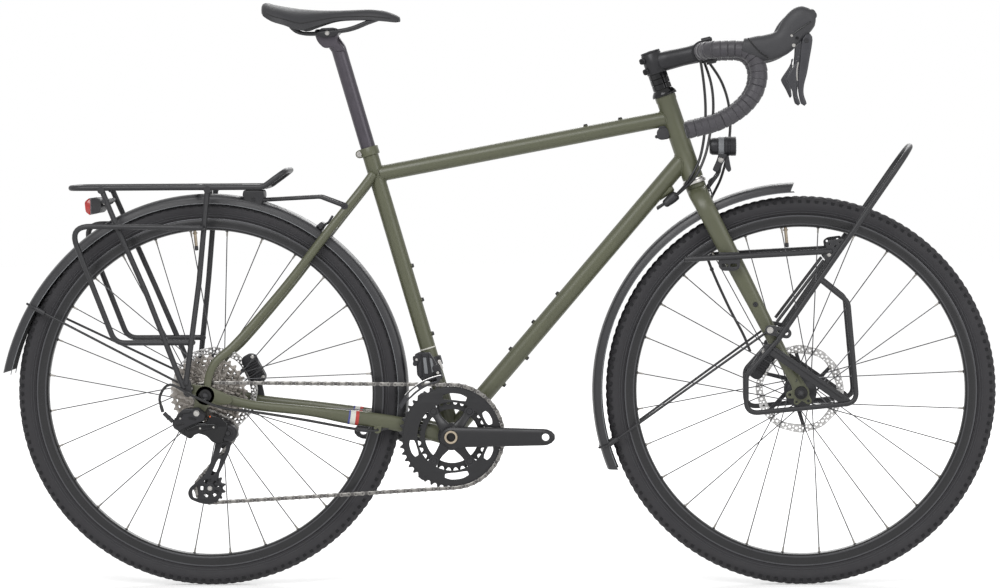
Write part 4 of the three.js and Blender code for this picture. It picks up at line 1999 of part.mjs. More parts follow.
function drivePieces() {
  const crankset = assembly(
    bracket,
    piece("crank_right", rightCrankSolid(), blackAlloy),
    piece("crank_left", leftCrankSolid(), blackAlloy),
    piece("chainrings", chainringSolid(), blackAlloy),
  );
  const pulleyAt = ([x, z]) => point(x, -SMALL_SPROCKET_PLANE, AXLE_HEIGHT + z);
  return [
    crankset,
    piece("front_derailleur_cage", frontCageSolid(), silver),
    piece("rear_derailleur_cage", rearCageSolid(), blackAlloy),
    assembly(pulleyAt(GUIDE_PLACE), piece("guide_pulley", pulleySolid(GUIDE_TEETH), blackPlastic)),
    assembly(pulleyAt(TENSION_PLACE), piece("tension_pulley", pulleySolid(TENSION_TEETH), blackPlastic)),
  ];
}

const bicycle = new THREE.Group();
bicycle.name = "touring_bicycle";
bicycle.add(
  ...framePieces(),
  ...seatPieces(),
  ...forkPieces(),
  ...drivePieces(),
  assembly(rearAxle, ...rearWheelPieces()),
  assembly(frontAxle, ...frontWheelPieces()),
);
const bounds = new THREE.Box3().setFromObject(bicycle, true);
bicycle.position.x = -(bounds.min.x + bounds.max.x) / 2;

export default bicycle;
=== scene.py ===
from math import acos, asin, atan2, copysign, cos, hypot, pi, radians, sin, sqrt, tan

import bmesh
import bpy
from mathutils import Matrix, Vector


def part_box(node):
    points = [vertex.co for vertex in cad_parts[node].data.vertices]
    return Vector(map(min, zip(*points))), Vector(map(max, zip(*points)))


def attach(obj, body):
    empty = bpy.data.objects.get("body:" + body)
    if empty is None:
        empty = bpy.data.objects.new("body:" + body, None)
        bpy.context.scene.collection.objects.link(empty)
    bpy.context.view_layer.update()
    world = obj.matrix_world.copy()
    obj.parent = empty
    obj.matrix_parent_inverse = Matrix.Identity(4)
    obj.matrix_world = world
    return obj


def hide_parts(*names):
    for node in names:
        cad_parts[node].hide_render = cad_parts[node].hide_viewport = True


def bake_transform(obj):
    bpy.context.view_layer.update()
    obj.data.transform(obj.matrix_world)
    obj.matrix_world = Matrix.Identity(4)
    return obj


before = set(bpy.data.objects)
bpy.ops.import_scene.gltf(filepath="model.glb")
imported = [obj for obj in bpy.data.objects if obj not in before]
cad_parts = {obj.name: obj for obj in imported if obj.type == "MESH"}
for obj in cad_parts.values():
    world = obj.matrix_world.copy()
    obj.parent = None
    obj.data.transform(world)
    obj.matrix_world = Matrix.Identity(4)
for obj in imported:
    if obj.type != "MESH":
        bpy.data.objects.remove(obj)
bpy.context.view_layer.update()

# Places are written in millimetres from the point on the ground under the rear axle.
MM = 0.001
rim_low, rim_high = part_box("rear_rim")
SHIFT = (rim_low.x + rim_high.x) / 2
AXLE = (rim_low.z + rim_high.z) / 2 / MM
WHEELBASE = 1068.0
REAR = Vector((0, 0, AXLE))
FRONT = Vector((WHEELBASE, 0, AXLE))
BRACKET = (441.333, AXLE - 77.0)
BRACKET_MIDDLE = (BRACKET[0], 0, BRACKET[1])
ACROSS = Vector((0, 1, 0))
SIDES = (-1, 1)
HANDS = ((-1, "right"), (1, "left"))

HEAD_ANGLE, SEAT_ANGLE, STEM_DROP = radians(71.5), radians(73.85), radians(5.6)
FORK_RAKE, STEM_HEIGHT, STEM_LENGTH = 59.6, 642, 90
STEER_UP = Vector((-cos(HEAD_ANGLE), 0, sin(HEAD_ANGLE)))
STEER_ON = Vector((sin(HEAD_ANGLE), 0, cos(HEAD_ANGLE)))
STEER_FOOT = FRONT - STEER_ON * FORK_RAKE
SEAT_UP = Vector((-cos(SEAT_ANGLE), 0, sin(SEAT_ANGLE)))
BAR = STEER_FOOT + STEER_UP * (STEM_HEIGHT - STEM_LENGTH * sin(STEM_DROP)) + STEER_ON * (STEM_LENGTH * cos(STEM_DROP))


def on_steering(height, forward=0.0, across=0.0):
    return STEER_FOOT + STEER_UP * height + STEER_ON * forward + Vector((0, across, 0))


def on_seat_tube(height):
    return Vector(BRACKET_MIDDLE) + SEAT_UP * height


def on_bar(x, y, z):
    return BAR + Vector((x, y, z))


# Materials
def linear(code):
    parts = [int(code[i : i + 2], 16) / 255 for i in (1, 3, 5)]
    return tuple(p / 12.92 if p <= 0.04045 else ((p + 0.055) / 1.055) ** 2.4 for p in parts) + (1.0,)


def add(tree, kind, **values):
    """A shader node with some inputs set. An underscore stands for the space in an input's name."""
    node = tree.nodes.new("ShaderNode" + kind)
    for socket, value in values.items():
        node.inputs[socket.replace("_", " ")].default_value = value
    return node


def link(tree, source, output, target, socket):
    tree.links.new(source.outputs[output], target.inputs[socket])


def surface(name, colour, rough, metal=0.0, vary=0.12, scale=60.0, bump=0.05, bump_scale=900.0,
            coat=0.0, sheen=0.0, stretch=(1, 1, 1), dirt=0.0, specular=0.5):
    """A finish with cloudy colour, uneven gloss and a fine grain."""
    material = bpy.data.materials.new(name)
    material.use_nodes = True
    tree = material.node_tree
    shader = tree.nodes["Principled BSDF"]
    for socket, value in (("Metallic", metal), ("Specular IOR Level", specular), ("Coat Weight", coat),
                          ("Coat Roughness", 0.25), ("Sheen Weight", sheen)):
        shader.inputs[socket].default_value = value
    place = add(tree, "TexCoord")
    mapping = add(tree, "Mapping", Scale=stretch)
    link(tree, place, "Object", mapping, "Vector")
    cloud = add(tree, "TexNoise", Scale=scale, Detail=6)
    link(tree, mapping, "Vector", cloud, "Vector")
    base = linear(colour)[:3]
    ramp = add(tree, "ValToRGB")
    for stop, position, share in zip(ramp.color_ramp.elements, (0.3, 0.7), (1 - vary, 1 + vary)):
        stop.position = position
        stop.color = (*(min(1, c * share) for c in base), 1)
    link(tree, cloud, "Fac", ramp, "Fac")
    colour_out = ramp.outputs["Color"]
    if dirt:
        spots = add(tree, "TexNoise", Scale=scale * 0.25, Detail=8)
        link(tree, place, "Object", spots, "Vector")
        mask = add(tree, "MapRange", From_Min=0.55, From_Max=0.75, To_Max=dirt)
        link(tree, spots, "Fac", mask, "Value")
        mix = add(tree, "Mix")
        mix.data_type = "RGBA"
        mix.inputs["B"].default_value = (*(min(1, c * 1.9 + 0.01) for c in base), 1)
        link(tree, mask, "Result", mix, "Factor")
        tree.links.new(colour_out, mix.inputs["A"])
        colour_out = mix.outputs["Result"]
    tree.links.new(colour_out, shader.inputs["Base Color"])
    gloss = add(tree, "MapRange", From_Min=0.25, From_Max=0.75,
                To_Min=max(0.03, rough - 0.07), To_Max=min(1.0, rough + 0.07))
    link(tree, cloud, "Fac", gloss, "Value")
    link(tree, gloss, "Result", shader, "Roughness")
    grain = add(tree, "TexNoise", Scale=bump_scale, Detail=3)
    link(tree, mapping, "Vector", grain, "Vector")
    relief = add(tree, "Bump", Strength=bump, Distance=0.0004)
    link(tree, grain, "Fac", relief, "Height")
    link(tree, relief, "Normal", shader, "Normal")
    return material


def pitted(material, scale, depth):
    """Adds a cell pattern to a finish: leather grain, perforations or knurls."""
    tree = material.node_tree
    shader = tree.nodes["Principled BSDF"]
    place = add(tree, "TexCoord")
    cells = add(tree, "TexVoronoi", Scale=scale)
    link(tree, place, "Object", cells, "Vector")
    relief = add(tree, "Bump", Strength=depth, Distance=0.0003)
    link(tree, cells, "Distance", relief, "Height")
    tree.links.new(shader.inputs["Normal"].links[0].from_socket, relief.inputs["Normal"])
    link(tree, relief, "Normal", shader, "Normal")
    return material


OLIVE = surface("paint_olive", "#52543f", 0.42, vary=0.05, scale=25, bump=0.04, bump_scale=1400, coat=0.15)
BLACK_ALLOY = surface("alloy_black", "#242427", 0.42, metal=0.35, vary=0.08, scale=90, bump=0.05)
LEVER_GREY = surface("lever_coat", "#38383c", 0.4, metal=0.3, vary=0.05, scale=50, bump=0.02)
POST = surface("post_alloy", "#464249", 0.36, metal=0.45, vary=0.05, scale=60, bump=0.03)
BLACK_GLOSS = surface("alloy_black_gloss", "#151517", 0.16, metal=0.4, vary=0.08, scale=60, bump=0.01)
BLACK_STEEL = surface("steel_powder_coat", "#1f1f22", 0.46, vary=0.1, scale=80, bump=0.12, bump_scale=2200)
BLACK_PLASTIC = surface("plastic_black", "#232326", 0.5, vary=0.08, scale=50, bump=0.1, bump_scale=1800)
GUARD_PLASTIC = surface("plastic_mudguard", "#29292c", 0.38, vary=0.05, scale=20, bump=0.03, bump_scale=900)
# Grey plastic for trims. The mudguards also use it for painted highlight lines along their edges.
GREY_TRIM_AND_HIGHLIGHT = surface("grey_trim_and_painted_highlight", "#77797c", 0.5, vary=0.06, scale=60, bump=0.1)
SHEATH = surface("cable_sheath", "#161618", 0.35, vary=0.1, scale=120, bump=0.04)
TYRE = surface("tyre_rubber", "#2a292c", 0.7, specular=0.45, vary=0.14, scale=45, bump=0.25, bump_scale=2500,
               dirt=0.12)
TREAD = surface("tread_rubber", "#1e1e20", 0.8, vary=0.14, scale=45, bump=0.25, bump_scale=2500, dirt=0.12,
                specular=0.3)
WALL = surface("tyre_rib", "#3d3d40", 0.7, vary=0.1, scale=60, bump=0.1)
RIM = surface("rim_black", "#1d1d1f", 0.3, metal=0.2, vary=0.06, scale=30, bump=0.03)
# Lighter grey for thin rings at the rim's edges: a painted highlight.
RIM_HIGHLIGHT = surface("rim_painted_highlight", "#4a4a4d", 0.3, metal=0.4, vary=0.06, scale=30, bump=0.02)
SPOKE = surface("spoke_steel", "#4a4a4c", 0.3, metal=0.9, vary=0.1, scale=200, bump=0.02)
BRASS = surface("brass", "#968b7b", 0.34, metal=0.8, vary=0.1, scale=200, bump=0.04)
NIPPLE = surface("nipple_alloy", "#83807b", 0.36, metal=0.8, vary=0.1, scale=200, bump=0.04)
SILVER = surface("steel_bright", "#b4b2af", 0.24, metal=0.95, vary=0.08, scale=150, bump=0.04, stretch=(1, 1, 6))
CHAIN = surface("chain_steel", "#7d7b78", 0.32, metal=0.9, vary=0.2, scale=260, bump=0.1, dirt=0.25)
CHAIN_DARK = surface("chain_dark", "#565453", 0.36, metal=0.8, vary=0.2, scale=260, bump=0.1)
# A darker copy of the sprocket steel for every other cog: painted shade between the cogs.
COGS_PAINTED_SHADE = surface("sprocket_painted_shade", "#77726c", 0.34, metal=0.85, vary=0.2, scale=240, bump=0.1)
COGS = surface("sprocket_steel", "#8d8883", 0.3, metal=0.9, vary=0.2, scale=240, bump=0.1, dirt=0.2)
ROTOR = surface("rotor_steel", "#b6b5b4", 0.27, metal=0.92, vary=0.1, scale=300, bump=0.12, bump_scale=500)
CAGE_STEEL = surface("cage_steel", "#3d3d40", 0.3, metal=0.7, vary=0.08, scale=60, bump=0.03)
CRANK_BLACK = surface("crank_black", "#232325", 0.38, metal=0.3, vary=0.06, scale=40, bump=0.03)
HOOD_RUBBER = pitted(surface("hood_rubber", "#2e2e31", 0.55, vary=0.1, scale=60, bump=0.2, bump_scale=1600), 900,
                     0.25)
TAPE = pitted(surface("bar_tape", "#38363b", 0.5, vary=0.16, scale=70, bump=0.3, bump_scale=700, sheen=0.15), 420,
              0.5)
LEATHER = pitted(surface("saddle_cover", "#232326", 0.55, vary=0.1, scale=40, bump=0.1, bump_scale=1200), 1100, 0.35)
SEAM = surface("saddle_seam", "#1b1b1c", 0.7, vary=0.1, scale=200, bump=0.2)
LENS_RED = surface("lens_red", "#b3241c", 0.12, vary=0.1, scale=150, bump=0.05, coat=0.6)
LENS_CLEAR = surface("lens_clear", "#d3d8da", 0.06, vary=0.04, scale=60, bump=0.02, coat=0.5)
WHITE = surface("band_white", "#d9d8cf", 0.45, vary=0.04, scale=60, bump=0.02)
RED = surface("band_red", "#b23a34", 0.45, vary=0.06, scale=60, bump=0.02)
BLUE = surface("band_blue", "#4a4f8f", 0.45, vary=0.06, scale=60, bump=0.02)
ORANGE = surface("mark_orange", "#d8622a", 0.5, vary=0.05, scale=60, bump=0.02)
BARE = surface("alloy_bare", "#a89c8a", 0.3, metal=0.85, vary=0.12, scale=120, bump=0.08)


# Meshes
def build(name, parts, finish, body, node="", smooth=35, second=((), None)):
    """Joins (places, faces) pairs, in millimetres, into one piece that rides on a body and stands for a node.

    second holds further parts of the piece, and the finish that they have instead.
    """
    others, other_finish = second
    verts, faces, marks = [], [], []
    for group, (places, sides) in enumerate([*parts, *others]):
        first = len(verts)
        verts.extend((p[0] * MM + SHIFT, p[1] * MM, p[2] * MM) for p in places)
        faces.extend(tuple(first + i for i in side) for side in sides)
        marks.extend([int(group >= len(parts))] * len(sides))
    mesh = bpy.data.meshes.new(name)
    mesh.from_pydata(verts, [], faces)
    mesh.materials.append(finish)
    if other_finish:
        mesh.materials.append(other_finish)
    mesh.polygons.foreach_set("material_index", marks)
    cleaned = bmesh.new()
    cleaned.from_mesh(mesh)
    bmesh.ops.remove_doubles(cleaned, verts=cleaned.verts, dist=2e-6)
    bmesh.ops.recalc_face_normals(cleaned, faces=cleaned.faces)
    cleaned.to_mesh(mesh)
    cleaned.free()
    mesh.polygons.foreach_set("use_smooth", [True] * len(mesh.polygons))
    mesh.set_sharp_from_angle(angle=radians(smooth))
    piece = bpy.data.objects.new(name, mesh)
    bpy.context.scene.collection.objects.link(piece)
    if body:
        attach(piece, body)
    if node:
        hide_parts(node)
    return piece


def turns(count):
    """Equal steps of a full turn, in radians."""
    return [2 * pi * k / count for k in range(count)]


def outward(turn):
    return Vector((cos(turn), 0, sin(turn)))


def polar(centre, radius, turn):
    """The (x, z) place at a reach and a turn from a centre."""
    return (centre[0] + radius * cos(turn), centre[1] + radius * sin(turn))


def around(axle, radius, turn, y=0.0):
    """The place at a reach and a turn from an axle."""
    return Vector((axle.x + radius * cos(turn), y, axle.z + radius * sin(turn)))


def pair(side, near, far):
    """Two distances from the middle plane, on one side of it, with the lower one first."""
    return sorted((side * near, side * far))


def centre_of(ring):
    return sum(ring, Vector()) / len(ring)


def square_to(axis):
    """An axis of length one, with two directions square to it."""
    axis = Vector(axis).normalized()
    reference = Vector((0, 0, 1)) if abs(axis.z) < 0.9 else Vector((1, 0, 0))
    across = axis.cross(reference).normalized()
    return axis, across, axis.cross(across)


def between(a, b, c, d, t):
    """A Catmull-Rom place between b and c."""
    return 0.5 * ((2 * b) + (c - a) * t + (2 * a - 5 * b + 4 * c - d) * t * t + (3 * b - a - 3 * c + d) * t**3)


def bent(start, corner, end, pieces):
    """Places on a curve from start to end that is drawn towards a corner."""
    shares = [k / pieces for k in range(pieces + 1)]
    return [start * (1 - t) ** 2 + corner * 2 * t * (1 - t) + end * t * t for t in shares]


def squared(turn, power):
    """The place on a rounded square at a turn, within one of the middle each way."""
    c, s = cos(turn), sin(turn)
    return copysign(abs(c) ** power, c), copysign(abs(s) ** power, s)


def loft(rings, endless=False):
    count = len(rings[0])
    places = [p for ring in rings for p in ring]
    faces = []
    spans = len(rings) if endless else len(rings) - 1
    for a in range(spans):
        b = (a + 1) % len(rings)
        for i in range(count):
            j = (i + 1) % count
            faces.append((a * count + i, a * count + j, b * count + j, b * count + i))
    if not endless:
        faces.append(tuple(range(count))[::-1])
        faces.append(tuple((len(rings) - 1) * count + i for i in range(count)))
    return places, faces


def smoothed(points, step, closed=False):
    """A Catmull-Rom curve through points of any length, with a place about every step."""
    points = [Vector(p) for p in points]
    count = len(points)
    out = []
    for i in range(count if closed else count - 1):
        if closed:
            a, b, c, d = (points[(i + k) % count] for k in (-1, 0, 1, 2))
        else:
            b, c = points[i], points[i + 1]
            a = points[i - 1] if i else b * 2 - c
            d = points[i + 2] if i + 2 < count else c * 2 - b
        pieces = max(1, round((c - b).xyz.length / step))
        out.extend(between(a, b, c, d, k / pieces) for k in range(pieces))
    if not closed:
        out.append(points[-1])
    return out


def rounded(corners, bend, pieces=6):
    """Straight runs with bends of a given radius at the corners."""
    corners = [Vector(c) for c in corners]
    route = [corners[0]]
    for i in range(1, len(corners) - 1):
        back, on = corners[i - 1] - corners[i], corners[i + 1] - corners[i]
        reach = min(bend / tan(back.angle(on) / 2), back.length / 2, on.length / 2)
        start, end = corners[i] + back.normalized() * reach, corners[i] + on.normalized() * reach
        route += bent(start, corners[i], end, pieces)
    route.append(corners[-1])
    return [p for i, p in enumerate(route) if i == 0 or (p - route[i - 1]).length > 1e-4]


def sweep(path, radius, sides=16, closed=False):
    """A tube of one or many radii along a path, with no twist."""
    path = [Vector(p) for p in path]
    count = len(path)
    radii = radius if isinstance(radius, (list, tuple)) else [radius] * count
    tangents = []
    for i in range(count):
        before = path[(i - 1) % count] if closed or i else path[i]
        after = path[(i + 1) % count] if closed or i < count - 1 else path[i]
        tangents.append((after - before).normalized())
    across = tangents[0].cross(ACROSS)
    if across.length < 0.1:
        across = tangents[0].cross(Vector((0, 0, 1)))
    across.normalize()
    shape = [(cos(turn), sin(turn)) for turn in turns(sides)]
    rings = []
    for i in range(count):
        if i:
            across = tangents[i - 1].rotation_difference(tangents[i]) @ across
        across = (across - tangents[i] * across.dot(tangents[i])).normalized()
        side = tangents[i].cross(across)
        rings.append([path[i] + across * (u * radii[i]) + side * (v * radii[i]) for u, v in shape])
    return loft(rings, closed)


def capsule(path, radius, sides=16, dome=0.5):
    """A tube whose ends are rounded off."""
    path = [Vector(p) for p in path]
    first = (path[0] - path[1]).normalized()
    last = (path[-1] - path[-2]).normalized()
    reaches, shares = (1.0, 0.85, 0.5), [radius * share for share in (0.35, 0.75, 0.93)]
    head = [path[0] + first * radius * dome * reach for reach in reaches]
    tail = [path[-1] + last * radius * dome * reach for reach in reversed(reaches)]
    return sweep(head + path + tail, shares + [radius] * len(path) + shares[::-1], sides)


def turned(profile, seg, origin, axis=ACROSS, closed=False, wave=None):
    """Revolves (radius, along) rows about an axis through origin. A wave adds to the radius."""
    axis, across, side = square_to(axis)
    origin = Vector(origin)
    places = []
    for turn in turns(seg):
        out = across * cos(turn) + side * sin(turn)
        for radius, along in profile:
            reach = radius + (wave(turn, radius, along) if wave else 0)
            places.append(origin + out * reach + axis * along)
    count = len(profile)
    faces = []
    for a in range(seg):
        b = (a + 1) % seg
        for i in range(count if closed else count - 1):
            j = (i + 1) % count
            faces.append((a * count + i, a * count + j, b * count + j, b * count + i))
    return places, faces


def rod(start, end, radius, sides=20, chamfer=0.0, end_radius=None):
    start, end = Vector(start), Vector(end)
    length = (end - start).length
    tip = radius if end_radius is None else end_radius
    c = min(chamfer, length / 3)
    if c:
        rows = [(0, 0), (radius - c, 0), (radius, c), (tip, length - c), (tip - c, length), (0, length)]
    else:
        rows = [(0, 0), (radius, 0), (tip, length), (0, length)]
    return turned(rows, sides, start, end - start)


def cross_rod(x, z, low, high, radius, sides=28, chamfer=0.0):
    return rod((x, low, z), (x, high, z), radius, sides, chamfer)


def bolt(place, axis, radius=4.0, height=3.5, seat=0.6):
    """A round screw head with a hexagon socket, standing on its place along an axis."""
    axis, across, side = square_to(axis)
    place = Vector(place)
    rows = [(radius * 1.25, 0, False), (radius * 1.25, seat, False), (radius, seat, False),
            (radius, height - 0.6, False), (radius * 0.86, height, False), (radius * 0.52, height, True),
            (radius * 0.5, height * 0.35, True)]
    rings = []
    for reach, along, hexagon in rows:
        ring = []
        for turn in turns(24):
            r = reach
            if hexagon:
                off = (turn + pi / 6) % (pi / 3) - pi / 6
                r = reach * cos(pi / 6) / cos(off)
            ring.append(place + across * (r * cos(turn)) + side * (r * sin(turn)) + axis * along)
        rings.append(ring)
    return loft(rings)


def oval_rings(rows, sides=28, sideways=ACROSS, step=12.0, power=2.0):
    """Smooth sections along a route: each row holds a place, the height across and the width sideways."""
    packed = [Vector((*place, height, width)) for place, height, width in rows]
    last = len(packed) - 1
    dense = []
    for i in range(last):
        near = [packed[max(i - 1, 0)], packed[i], packed[i + 1], packed[min(i + 2, last)]]
        pieces = max(1, round((Vector(near[2][:3]) - Vector(near[1][:3])).length / step))
        dense.extend([between(*values, k / pieces) for values in zip(*near)] for k in range(pieces))
    dense.append(list(packed[-1]))
    places = [Vector(row[:3]) for row in dense]
    rings = []
    for i, row in enumerate(dense):
        along = (places[min(i + 1, len(dense) - 1)] - places[max(i - 1, 0)]).normalized()
        across = along.cross(Vector(sideways)).normalized()
        side = across.cross(along).normalized()
        ring = []
        for turn in turns(sides):
            u, v = squared(turn, 2 / power)
            ring.append(places[i] + across * (u * row[3] / 2) + side * (v * row[4] / 2))
        rings.append(ring)
    return rings


def swelling(rows, sides, domes=0.5, **shape):
    """A solid with smooth sections and domed ends."""
    return loft(rounded_ends(oval_rings(rows, sides, **shape), domes))


def rounded_ends(rings, share=0.5):
    """Closes a loft with small domes."""
    def dome(ring, other):
        middle = centre_of(ring)
        away = (middle - centre_of(other)).normalized()
        size = max((p - middle).length for p in ring)
        return [[middle + (p - middle) * scale + away * size * move * share for p in ring]
                for scale, move in ((0.45, 0.9), (0.78, 0.62), (0.94, 0.3))]
    return dome(rings[0], rings[1]) + rings + dome(rings[-1], rings[-2])[::-1]


def plate(outlines, low, high, bevel=0.4, resolution=1):
    """A flat plate across Y from closed (x, z) outlines, of which the later ones are holes."""
    curve = bpy.data.curves.new("outline", "CURVE")
    curve.dimensions = "2D"
    curve.fill_mode = "BOTH"
    middle, half = (low + high) / 2, abs(high - low) / 2
    bevel = min(bevel, half * 0.9)
    curve.extrude = half - bevel
    curve.bevel_depth = bevel
    curve.bevel_resolution = resolution
    curve.offset = -bevel
    for outline in outlines:
        spline = curve.splines.new("POLY")
        spline.points.add(len(outline) - 1)
        for point, (x, z) in zip(spline.points, outline):
            point.co = (x, z, 0, 1)
        spline.use_cyclic_u = True
    holder = bpy.data.objects.new("outline", curve)
    bpy.context.scene.collection.objects.link(holder)
    bpy.context.view_layer.update()
    mesh = bpy.data.meshes.new_from_object(holder.evaluated_get(bpy.context.evaluated_depsgraph_get()))
    places = [Vector((v.co.x, middle - v.co.z, v.co.y)) for v in mesh.vertices]
    faces = [tuple(p.vertices) for p in mesh.polygons]
    bpy.data.objects.remove(holder)
    bpy.data.curves.remove(curve)
    bpy.data.meshes.remove(mesh)
    return places, faces


def slab(corners, bend, low, high, bevel=0.4, resolution=1, pieces=4):
    """A plate with rounded corners."""
    return plate([soft_outline(corners, bend, pieces)], low, high, bevel, resolution)


def circle(x, z, radius, count=32):
    return [polar((x, z), radius, turn) for turn in turns(count)]


def link_outline(start, end, r0, r1, pieces=10):
    """A closed outline round two circles."""
    dx, dz = end[0] - start[0], end[1] - start[1]
    heading = atan2(dz, dx)
    tangent = acos(max(-1, min(1, (r0 - r1) / hypot(dx, dz))))
    out = [polar(end, r1, heading - tangent + 2 * tangent * i / pieces) for i in range(pieces + 1)]
    return out + [polar(start, r0, heading + tangent + (2 * pi - 2 * tangent) * i / pieces)
                  for i in range(pieces + 1)]


def slot_outline(start, end, radius):
    return link_outline(start, end, radius, radius, 6)


def soft_outline(corners, bend, pieces=4):
    """Rounds the corners of a closed (x, z) outline."""
    out = []
    count = len(corners)
    for i in range(count):
        a, b, c = (Vector(corners[(i + k) % count]) for k in (-1, 0, 1))
        back, on = a - b, c - b
        reach = min(bend, back.length / 2.1, on.length / 2.1)
        start, end = b + back.normalized() * reach, b + on.normalized() * reach
        out.extend((p.x, p.y) for p in bent(start, b, end, pieces))
    return out


def moved(part, matrix):
    places, faces = part
    return [matrix @ Vector(p) for p in places], faces


def weld(point, direction, radius, other, other_direction, other_radius, bead=1.5):
    """The bead round the end of one tube where it meets another."""
    direction, other_direction = Vector(direction).normalized(), Vector(other_direction).normalized()
    across = direction.cross(ACROSS).normalized()
    side = direction.cross(across)
    ring = []
    for turn in turns(48):
        start = Vector(point) + across * (radius * cos(turn)) + side * (radius * sin(turn))
        gap = start - Vector(other)
        u = gap - other_direction * gap.dot(other_direction)
        v = direction - other_direction * direction.dot(other_direction)
        a, b, c = v.dot(v), 2 * u.dot(v), u.dot(u) - other_radius**2
        root = max(0.0, b * b - 4 * a * c)
        ring.append(start + direction * ((-b - sqrt(root)) / (2 * a)))
    return sweep(ring, bead, 8, closed=True)


# Frame
HEAD_LOW, HEAD_HIGH = 424.0, 581.0
SEAT_R, TOP_R, DOWN_R, HEAD_R = 14.5, 14.3, 15.9, 18.0
top_start, top_end = on_seat_tube(490), on_steering(HEAD_HIGH - 41)
down_start, down_end = on_seat_tube(5), on_steering(HEAD_LOW + 41)
top_along = (top_end - top_start).normalized()
down_along = (down_end - down_start).normalized()
UP_FROM_TOP = Vector((-top_along.z, 0, top_along.x))
UP_FROM_DOWN = Vector((-down_along.z, 0, down_along.x))
SEAT_BACK = Vector((-SEAT_UP.z, 0, SEAT_UP.x))
BOSS_STEP = 64
SEAT_BOSSES = (2.9 * BOSS_STEP, 3.9 * BOSS_STEP, 4.9 * BOSS_STEP)
TOP_BOSSES = (156, 92.5)
STAY_BRIDGE, SEAT_BRIDGE = (388, 288), (226.5, 650.5)
EYELET, HANGER = (-27, AXLE + 13), (-14.5, AXLE - 31)


def frame_tubes():
    lip = 0.9
    rows = [(15.8, 0), (HEAD_R + lip, 0.3), (HEAD_R + lip, 8.6), (HEAD_R, 10.2), (HEAD_R, 146.8),
            (HEAD_R + lip, 148.4), (HEAD_R + lip, 156.7), (15.8, 157)]
    head = turned(rows, 64, on_steering(HEAD_LOW), STEER_UP, closed=True)
    build("head_tube_shell", [head], OLIVE, "frame", "head_tube")
    stud_top = [rod(top_end - top_along * d + UP_FROM_TOP * 11, top_end - top_along * d + UP_FROM_TOP * 15.4, 3.9, 24,
                    0.3) for d in TOP_BOSSES]
    top = rod(top_start + top_along * 8, top_end - top_along * 6, TOP_R, 56)
    beads = [weld(top_end - top_along * 60, top_along, TOP_R, on_steering(HEAD_HIGH), STEER_UP, HEAD_R, 1.7),
             weld(top_start + top_along * 60, -top_along, TOP_R, on_seat_tube(400), SEAT_UP, SEAT_R, 1.5)]
    build("top_tube_shell", [top, *stud_top, *beads], OLIVE, "frame", "top_tube")
    uppers = [share * BOSS_STEP for share in (2.85, 3.85, 4.9)]
    lowers = [share * BOSS_STEP for share in (1.95, 2.95)]
    studs = [rod(down_start + down_along * d + UP_FROM_DOWN * s * 12,
                 down_start + down_along * d + UP_FROM_DOWN * s * 17, 3.9, 24, 0.3)
             for s, row in ((1, uppers), (-1, lowers)) for d in row]
    low = down_end - down_along * 94 - UP_FROM_DOWN * 6.9
    high = down_end - down_along * 62 - UP_FROM_DOWN * 15.9
    port = capsule([low + down_along * 3, high], 8.6, 28, 0.7)
    beads = [weld(down_end - down_along * 60, down_along, DOWN_R, on_steering(HEAD_LOW), STEER_UP, HEAD_R, 1.8),
             weld(down_start + down_along * 60, -down_along, DOWN_R, BRACKET_MIDDLE, ACROSS, 20.5, 1.8)]
    down = rod(down_start + down_along * 10, down_end - down_along * 6, DOWN_R, 60)
    build("down_tube_shell", [down, *studs, port, *beads], OLIVE, "frame", "down_tube")
    bolts = []
    for d in uppers:
        bolts.append(bolt(down_start + down_along * d + UP_FROM_DOWN * 16.9, UP_FROM_DOWN, 3.5, 3.0, 0.4))
    for d in lowers:
        bolts.append(bolt(down_start + down_along * d - UP_FROM_DOWN * 16.9, -UP_FROM_DOWN, 3.5, 3.0, 0.4))
    for d in SEAT_BOSSES:
        bolts.append(bolt(on_seat_tube(d) - SEAT_BACK * 15.6, -SEAT_BACK, 3.5, 3.0, 0.4))
    for d in TOP_BOSSES:
        bolts.append(bolt(top_end - top_along * d + UP_FROM_TOP * 15.3, UP_FROM_TOP, 3.5, 2.4, 0.4))
    build("bottle_screws", bolts, BLACK_STEEL, "frame")
    rim = sweep([low + down_along * 26 - UP_FROM_DOWN * 6 + v for v in
                 (down_along * 5 * cos(turn) + ACROSS * 6.5 * sin(turn) for turn in turns(24))], 1.0, 8, closed=True)
    build("cable_port_seal", [rim], BLACK_PLASTIC, "frame")


